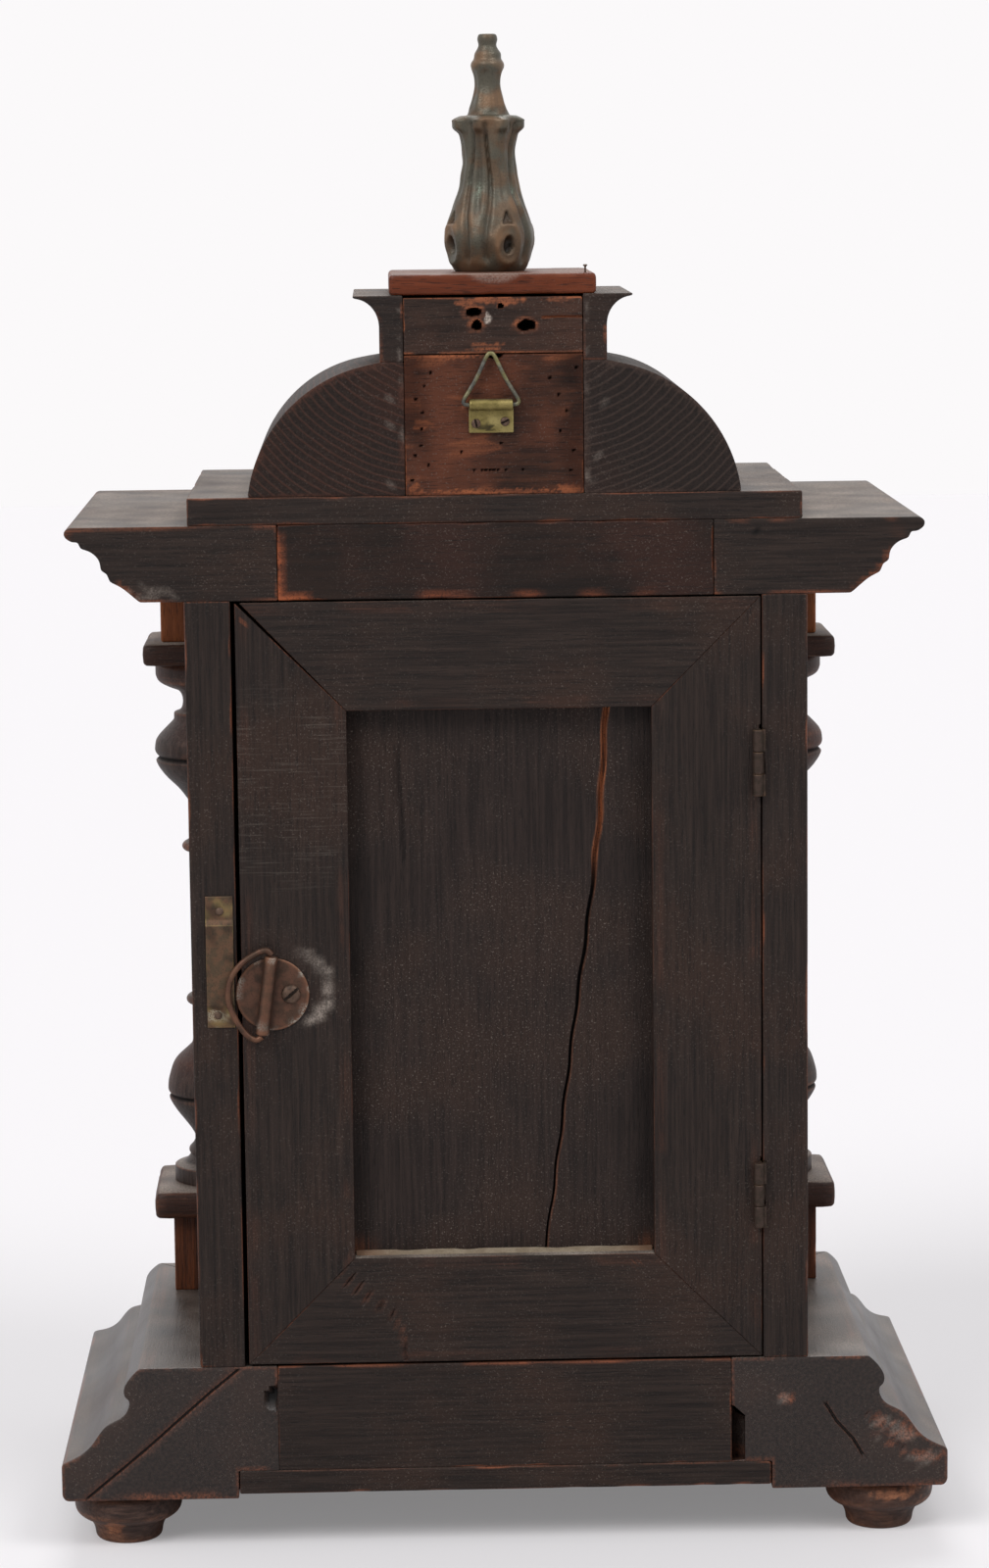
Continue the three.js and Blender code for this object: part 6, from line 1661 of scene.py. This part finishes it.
# %% Keeper
low, high = span("keeper")
KEEPER = [
    [(0, 0.05), (0.55, 0)], [(0.55, 0), (0.6, 5.6)], [(0.6, 5.6), (1.2, 6.5), (1.75, 7.2)],
    [(1.75, 7.2), (1.75, 32.2)], [(1.75, 32.2), (1.2, 32.9), (0.6, 33.8)], [(0.6, 33.8), (0.55, 41.2)],
    [(0.55, 41.2), (0.05, 41.2)], [(0.05, 41.2), (0.05, 33.5)], [(0.05, 33.5), (0.6, 32.5), (1.15, 31.6)],
    [(1.15, 31.6), (1.15, 7.8)], [(1.15, 7.8), (0.6, 6.9), (0.05, 5.9)], [(0.05, 5.9), (0, 0.05)],
]


def keeper_side(x):
    """A station that carries the keeper's outline in the plane at x."""
    return lambda spots: np.stack([np.full(len(spots), x), BACK + spots[:, 0], low[2] + spots[:, 1]], 1)


def keeper_wear(points, state):
    """Yellow brass still shows on the nailed pads; the bridge is brown."""
    pads = 1 - rise(np.abs(points[:, 2] - (low[2] + high[2]) / 2), 13.0, 15.0)
    mark(state, BARE, 0.32 * (1 - pads) * rise(ripple(points, 3, 181), -0.3, 0.6))
    mark(state, DUST_AND_HIGHLIGHT, 0.5 * blotch(points, 87.3, 171.0, 3.6, 2.4, 182, 0.5))
    mark(state, DIRT_AND_SHADE, 0.5 * rise(np.abs(ripple(points, 5, 183)), 0.45, 0.9))


strap = swept(
    section(*KEEPER, spacing=0.5, passes=1), [keeper_side(low[0]), keeper_side(high[0])], step=1.2,
    seed=180, end_round=0.1, fill=1.5
)
piece("keeper_strap", strap, keeper_brass, ["keeper"], carve=keeper_wear)

# %% Hanger
low, high = span("hanger_plate")
roll_z, roll_y = 358.3, BACK + 1.9
plate = worn_block(
    (low[0], BACK + 0.05, low[2]), (high[0], BACK + 0.95, roll_z + 0.4), step=1.0, radius=0.3, seed=190,
    bare=0.4
)
curl_run = [
    [(0, 0), (1.6, 0)], [(1.6, 0), (1.8, 0.3)], [(1.8, 0.3), (1.8, 12.9)], [(1.8, 12.9), (1.6, 13.2)],
    [(1.6, 13.2), (0, 13.2)],
]
curl, faces, state = turned(curl_run, (0, 0), 0, seed=191, sides=36, passes=1)
curl = (np.stack([low[0] + 0.2 + curl[:, 2], roll_y + curl[:, 0], roll_z + curl[:, 1]], 1), faces, state)


def plate_smudges(points, state):
    """A dark smudge on the hanging plate, painted shade under its curl, and bright rubs."""
    mark(state, DIRT_AND_SHADE, 0.75 * blotch(points, 2.6, 351.2, 3.4, 0.9, 192, 0.6))
    # Painted shade under the curl.
    mark(
        state, DIRT_AND_SHADE, 0.8 * rise(points[:, 2], 356.0, 357.6) * (1 - rise(points[:, 1], roll_y, roll_y + 1.5))
    )
    mark(state, BARE, 0.3 * rise(ripple(points, 4, 193), 0, 0.7))


piece(
    "hanger_plate_stamped", combine(plate, curl), plate_brass, ["hanger_plate"],
    carve=plate_smudges, dust=0.9
)
HANG_X, HANG_HALF, HANG_RISE = (span("hanger_ring")[0][0] + span("hanger_ring")[1][0]) / 2, 8.5, 15.4
TRIANGLE = [
    (0, 0), (HANG_HALF - 1.6, 0), (HANG_HALF - 0.3, 0.5), (HANG_HALF - 0.5, 1.9), (HANG_HALF * 0.52, 7.9),
    (1.3, 14.4),
    (0, HANG_RISE), (-1.3, 14.4), (-HANG_HALF * 0.52, 7.9), (-HANG_HALF + 0.5, 1.9),
    (-HANG_HALF + 0.3, 0.5), (-HANG_HALF + 1.6, 0),
]
hang_knots = [(HANG_X + x, roll_y, roll_z + z) for x, z in TRIANGLE]
wire(
    "hanger_ring_wire", hang_knots, 0.64, True, 0.3, 194, wire_zinc, "hanger_ring", "wall_ring"
)

# %% [markdown]
# ## Screws, nails and minute marks
# Small things that repeat are placed by Geometry Nodes: a tree takes one head and puts a copy on each
# of a few points, turned by a fixed random angle, because nobody lines up screw slots. The minute
# marks follow a rule too: sixty around a circle, every fifth one longer. Sizes are named inputs of
# each tree, so one modifier places the keeper's two nails and another the hanging plate's screws.

# %% Scatter heads
heads = new_tree(
    "heads on points",
    {"Points": "Geometry", "Head": "Object", "Size": "Float", "Seed": "Int", "Finish": "Material"}
)
spots, head_object, size, seed, finish = (
    add(heads, "NodeGroupInput", out=label) for label in ("Points", "Head", "Size", "Seed", "Finish")
)
head = add(heads, "GeometryNodeObjectInfo", {"Object": head_object}, "Geometry", transform_space="ORIGINAL")
turn = add(
    heads, "FunctionNodeRandomValue", {"Min": (0, 0, 0), "Max": (0, 6.28, 0), "Seed": seed}, "Value",
    data_type="FLOAT_VECTOR"
)
normal = add(heads, "FunctionNodeEulerToRotation", {"Euler": turn})
placed = add(
    heads, "GeometryNodeInstanceOnPoints",
    {"Points": spots, "Instance": head, "Rotation": normal, "Scale": size}
)
solid = add(heads, "GeometryNodeRealizeInstances", {"Geometry": placed})
dressed = add(heads, "GeometryNodeSetMaterial", {"Geometry": solid, "Material": finish})
add(heads, "NodeGroupOutput", {"Mesh": dressed})

# %% Heads
def head_mesh(name, runs, slot_width=0.0):
    """A turned head whose face looks out of the back; a slot is pressed in along x."""
    points, faces, state = turned(runs, (0, 0), 0, sides=28, spacing=0.35, passes=1, way="back")
    if slot_width:
        top = points[:, 1].max()
        cut = (np.abs(points[:, 2]) < slot_width / 2) & (points[:, 1] > top - 0.6)
        points[cut, 1] = top - 0.65
        # Painted shade in the slot.
        state[cut, DIRT_AND_SHADE] = 0.9
    mesh, colours = metre_mesh(name, points, faces, state)
    store_state(mesh, colours)
    return bpy.data.objects.new(name, mesh)


screw_head = head_mesh(
    "screw head",
    [
        [(0, -1), (1.0, -1)], [(1.0, -1), (1.0, 0)], [(1.0, 0), (1.55, 0.05)],
        [(1.55, 0.05), (1.5, 0.35), (1.2, 0.62), (0.7, 0.78), (0.35, 0.8)], [(0.35, 0.8), (0, 0.8)],
    ],
    0.5
)
nail_head = head_mesh(
    "nail head",
    [
        [(0, -0.8), (0.5, -0.8)], [(0.5, -0.8), (0.5, 0)], [(0.5, 0), (1.3, 0.02)],
        [(1.3, 0.02), (1.2, 0.35), (0.8, 0.6), (0.3, 0.68)], [(0.3, 0.68), (0, 0.7)],
    ]
)


def fix_with(name, head_object, places, size, seed, material):
    """Puts a head on each place, given as x, how far it stands behind the back plane, and z."""
    start = bpy.data.meshes.new(name)
    start.from_pydata([(x * MM, (BACK + out) * MM, z * MM) for x, out, z in places], [], [])
    values = {"Head": head_object, "Size": size, "Seed": seed, "Finish": material}
    return run_tree(name, heads, start, values)


fix_with("keeper_nails", nail_head, [(86.0, 0.6, 204.0), (87.1, 0.6, 171.5)], 1.0, 3, iron)
fix_with("hanger_screws", screw_head, [(5.5, 0.9, 352.6), (-3.3, 0.9, 353.1)], 0.95, 8, iron)
cap_nail = turned(
    [
        [(0, -2), (0.3, -2)], [(0.3, -2), (0.3, 1.9)], [(0.3, 1.9), (0.8, 2.0)], [(0.8, 2.0), (0.7, 2.4)],
        [(0.7, 2.4), (0, 2.5)],
    ],
    (-28.1, BACK - 3), span("cap_board")[1][2], sides=20, passes=1
)
piece("cap_nail", cap_nail, iron)

# %% Latch screw
SLOT_TURN = 0.7


def slot_cut(points, state):
    """Presses a slot across the head, paints shade into it and dirties the head in patches."""
    across = (points[:, 0] - SCREW_X) * math.sin(SLOT_TURN) + (points[:, 2] - LATCH_Z) * math.cos(SLOT_TURN)
    cut = (np.abs(across) < 0.42) & (points[:, 1] > BACK + 1.2)
    points[cut, 1] = np.minimum(points[cut, 1], BACK + 1.6)
    state[cut, DIRT_AND_SHADE] = 0.85
    mark(state, DIRT_AND_SHADE, 0.5 * rise(ripple(points, 1.6, 201), 0.1, 0.7))


screw_run = [
    [(0, 0), (0.6, 0)], [(0.6, 0), (1.5, 9.0)], [(1.5, 9.0), (1.5, 10.6)], [(1.5, 10.6), (2.9, 10.8)],
    [(2.9, 10.8), (3.0, 11.2), (2.7, 11.8), (1.9, 12.25), (0.9, 12.4)], [(0.9, 12.4), (0, 12.4)],
]
screw_points, faces, state = turned(screw_run, (0, 0), 0, sides=64, spacing=0.25, passes=1)
screw_points = np.stack(
    [SCREW_X + screw_points[:, 0], BACK - 9.95 + screw_points[:, 2], LATCH_Z + screw_points[:, 1]], 1
)
piece(
    "turn_screw_slotted", (screw_points, faces, state), iron, ["turn_screw"], "rear_door", slot_cut
)

# %% [markdown]
# ## The front
# The photograph doesn't show the front. It gets what such clocks have: a glazed door with a moulded
# frame and a small knob, a cream enamel dial with fired numerals in a brass bezel, and blued hands.

# %% Front door
low, high = span("front_door_frame")
front_section = section(
    [(0, 13), (0, 2.2)], [(0, 2.2), (0.6, 0.7), (2.2, 0)], [(2.2, 0), (12.3, 0)],
    [(12.3, 0), (13.4, 0.7), (14.4, 2.2)], [(14.4, 2.2), (15.6, 3.0), (17, 3.5)],
    [(17, 3.5), (17, 7)], [(17, 7), (13, 7)], [(13, 7), (13, 13)], [(13, 13), (0, 13)],
    spacing=0.8, passes=3,
)


def front_corner(x_side, top):
    """A mitred corner of the front door's frame."""
    def place(spots):
        x = high[0] - spots[:, 0] if x_side else low[0] + spots[:, 0]
        z = high[2] - spots[:, 0] if top else low[2] + spots[:, 0]
        return np.stack([x, low[1] + spots[:, 1], z], 1)
    return place


corners = [
    front_corner(False, False), front_corner(False, True), front_corner(True, True),
    front_corner(True, False)
]
frame_shape = swept(front_section, corners, step=4, seed=210, ring=True, mitre=0.7, bare=0.5)
piece(
    "front_door_moulded", frame_shape, ebonised["z"], ["front_door_frame"], "front_door",
    dust=0.3
)
knob_run = [
    [(0, 0), (3.4, 0)], [(3.4, 0), (3.4, 0.7)], [(3.4, 0.7), (1.6, 1.3), (1.5, 3.0)],
    [(1.5, 3.0), (2.6, 3.8), (3.5, 5.4), (3.2, 7.0), (1.8, 8.0)], [(1.8, 8.0), (0, 8.2)],
]
knob = turned(
    knob_run, (high[0] - 7, low[1] + 0.05), (low[2] + high[2]) / 2, seed=211, sides=48, spacing=0.4,
    way="front", bare=0.5
)
piece("front_door_knob", knob, hinge_brass, [], "front_door")

# %% Dial
low, high = span("dial")
DIAL_Z, DIAL_R, DIAL_Y = (low[2] + high[2]) / 2, (high[0] - low[0]) / 2, low[1]
domed = [
    [(0, 0), (48.4, 0)], [(48.4, 0), (48.4, 0.9)], [(48.4, 0.9), (46.5, 1.02), (20, 1.08), (7, 1.1)],
    [(7, 1.1), (0, 1.1)],
]
piece(
    "dial_enamel",
    turned(domed, (0, low[1] + 1.2), DIAL_Z, sides=160, spacing=3, passes=0, way="front", bare=0), enamel,
    ["dial"]
)
bezel_run = section(
    [(0, 0), (3.0, 0)], [(3.0, 0), (3.0, 0.7)], [(3.0, 0.7), (2.2, 1.15), (1.0, 1.2), (0.2, 1.0)],
    [(0.2, 1.0), (0, 0)], spacing=0.3, passes=1
)


def round_dial(angle):
    """A station that carries the bezel's outline at one angle round the dial."""
    c, s = math.cos(angle), math.sin(angle)
    return lambda spots: np.stack(
        [c * (DIAL_R - spots[:, 0]), high[1] - spots[:, 1], DIAL_Z + s * (DIAL_R - spots[:, 0])], 1
    )


bezel = swept(
    bezel_run, [round_dial(a) for a in np.linspace(0, 2 * math.pi, 96, endpoint=False)], step=20, ring=True,
    mitre=0, bare=0.3
)
piece("dial_bezel", bezel, movement_brass, [])

# %% Minute marks
minutes = new_tree(
    "minute marks", {
        "Ring": "Geometry", "Radius": "Float", "Width": "Float", "Length": "Float", "Every": "Int",
        "Finish": "Material"
    }
)
width, length, every, radius, finish = (
    add(minutes, "NodeGroupInput", out=label) for label in ("Width", "Length", "Every", "Radius", "Finish")
)
around = add(minutes, "GeometryNodeMeshCircle", {"Vertices": 60, "Radius": radius}, "Mesh")
number = add(minutes, "GeometryNodeInputIndex")
turn = add(minutes, "ShaderNodeMath", {0: number, 1: math.radians(6)}, operation="MULTIPLY")
facing = add(minutes, "ShaderNodeCombineXYZ", {"Z": turn})
rest = add(minutes, "ShaderNodeMath", {0: number, 1: every}, operation="FLOORED_MODULO")
fifth = add(minutes, "ShaderNodeMath", {0: rest, 1: 0.5}, operation="LESS_THAN")
longer = add(minutes, "ShaderNodeMath", {0: fifth, 1: 0.7, 2: 1.0}, operation="MULTIPLY_ADD")
wider = add(minutes, "ShaderNodeMath", {0: fifth, 1: 1.2, 2: 1.0}, operation="MULTIPLY_ADD")
stretch_by = add(minutes, "ShaderNodeCombineXYZ", {"X": longer, "Y": wider, "Z": 1.0})
bar_size = add(minutes, "ShaderNodeCombineXYZ", {"X": length, "Y": width, "Z": 0.00012})
bar = add(minutes, "GeometryNodeMeshCube", {"Size": bar_size}, "Mesh")
placed = add(
    minutes, "GeometryNodeInstanceOnPoints",
    {"Points": around, "Instance": bar, "Rotation": facing, "Scale": stretch_by}
)
solid = add(minutes, "GeometryNodeRealizeInstances", {"Geometry": placed})
upright = add(
    minutes, "GeometryNodeTransform",
    {
        "Geometry": solid, "Translation": (0, (DIAL_Y + 0.16) * MM, DIAL_Z * MM),
        "Rotation": (math.pi / 2, 0, 0)
    }
)
dressed = add(minutes, "GeometryNodeSetMaterial", {"Geometry": upright, "Material": finish})
add(minutes, "NodeGroupOutput", {"Mesh": dressed})
start = bpy.data.meshes.new("minute start")
run_tree(
    "dial_minute_marks", minutes, start,
    {"Radius": 43.4 * MM, "Width": 0.34 * MM, "Length": 1.9 * MM, "Every": 5, "Finish": numeral_black},
)

# %% Numerals
def numeral(hour):
    """One fired numeral, extruded text made into a mesh and stood upright on the dial."""
    curve = bpy.data.curves.new(f"hour {hour}", "FONT")
    curve.body = str(hour)
    curve.size = 9.2 * MM
    curve.align_x, curve.align_y = "CENTER", "CENTER"
    curve.extrude = 0.06 * MM
    curve.resolution_u = 4
    writing = bpy.data.objects.new(curve.name, curve)
    scene.collection.objects.link(writing)
    bpy.context.view_layer.update()
    mesh = bpy.data.meshes.new_from_object(writing.evaluated_get(bpy.context.evaluated_depsgraph_get()))
    bpy.data.objects.remove(writing)
    angle = math.radians(90 - 30 * hour)
    at = Vector((35.6 * math.cos(angle), DIAL_Y + 0.16, DIAL_Z + 35.6 * math.sin(angle))) * MM
    mesh.transform(Matrix.Translation(at) @ Matrix.Rotation(math.pi / 2, 4, "X"))
    return mesh


joined = bmesh.new()
for hour in range(1, 13):
    joined.from_mesh(numeral(hour))
bmesh.ops.remove_doubles(joined, verts=joined.verts, dist=1e-6)
joined.verts.index_update()
points = np.array([vert.co for vert in joined.verts]) / MM
faces = [[vert.index for vert in face.verts] for face in joined.faces]
joined.free()
piece("dial_numerals", (points, faces, np.zeros((len(points), 3))), numeral_black)

# %% Hands
def hand(length, tail, widest, at, angle, y_low, y_high):
    """A flat hand cut from sheet: a hub, a slim stem and a leaf point."""
    along = np.array([
        -tail, -tail + 1.4, -3.6, -3.2, -1.5, 1.5, 3.2, 3.8, length * 0.45, length * 0.55, length * 0.68,
        length * 0.8, length * 0.9, length
    ])
    half = np.array([0.5, 1.5, 0.9, 2.2, 3.4, 3.4, 2.2, 0.9, 0.7, 1.2, widest, 0.6 * widest, 0.5, 0.12])
    fine = np.linspace(0, 1, 4)
    rows = np.concatenate(
        [
            np.stack([a + (b - a) * fine[:-1], p + (q - p) * rise(fine[:-1], 0, 1)], 1)
            for a, b, p, q in zip(along[:-1], along[1:], half[:-1], half[1:])
        ]
        + [[(along[-1], half[-1])]]
    )
    outline = (
        (y_low + 0.15, -1), (y_low, -0.8), (y_low, 0.8), (y_low + 0.15, 1), (y_high, 1), (y_high, -1)
    )
    points, faces = [], []
    for reach, wide in rows:
        points += [(wide * side, y, reach) for y, side in outline]
    for i in range(len(rows) - 1):
        faces += [
            [6 * i + k, 6 * i + (k + 1) % 6, 6 * i + 6 + (k + 1) % 6, 6 * i + 6 + k] for k in range(6)
        ]
    faces += [list(range(6))[::-1], list(range(6 * len(rows) - 6, 6 * len(rows)))]
    shape = (np.array(points), faces, np.zeros((len(points), 3)))
    points, faces, state = turned_about(shape, (0, 0), angle)
    return points + np.array([0, 0, at]), faces, state


for name, length, tail, widest, angle in (
    ("hour_hand", 29.5, 6.0, 2.6, math.radians(304)), ("minute_hand", 42.5, 6.4, 1.7, math.radians(48))
):
    low, high = span(name)
    body = "hour_train" if name == "hour_hand" else "minute_train"
    piece(
        f"{name}_blued", hand(length, tail, widest, DIAL_Z, angle, low[1], high[1]), blued,
        [name], body
    )

# %% Pendulum bob
low, high = span("pendulum_bob")
bob_r, bob_thick = (high[0] - low[0]) / 2, high[1] - low[1]
half = bob_thick / 2
lens = [
    [(0, 0), (2.4, 0)], [(2.4, 0), (9, 0.35), (15, 1.4), (19, 3.3), (bob_r, half)],
    [(bob_r, half), (19, bob_thick - 3.3), (15, bob_thick - 1.4), (9, bob_thick - 0.35), (2.4, bob_thick)],
    [(2.4, bob_thick), (0, bob_thick)],
]
bob = turned(
    lens, (0, high[1]), (low[2] + high[2]) / 2, seed=220, sides=128, spacing=0.8, way="front", bare=0.3
)
piece("pendulum_bob_lens", bob, movement_brass, ["pendulum_bob"], "pendulum")

# %% [markdown]
# ## Movement and glass
# The hidden movement keeps its plain solids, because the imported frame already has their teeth,
# pillars and arbors. They only need the right finish, which goes on each solid's material slot.

# %% Finish the kept solids
KEPT = {
    movement_brass: (
        "front_plate", "back_plate", "barrel", "centre_wheel", "third_wheel", "escape_wheel",
        "minute_wheel", "hour_wheel", "suspension_cock"
    ),
    steel: ("winding_arbor", "pallets", "pendulum_rod"),
    mask_wood: ("dial_mask",),
    glass: ("front_door_glass",),
}
for material, names in KEPT.items():
    for name in names:
        solid = bpy.data.objects[name]
        for place in solid.material_slots:
            place.material = material
print("kept solids:", sum(len(names) for names in KEPT.values()))

# %% Size
low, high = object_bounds()
print("piece box", [[round(v / MM, 2) for v in corner] for corner in (low, high)])
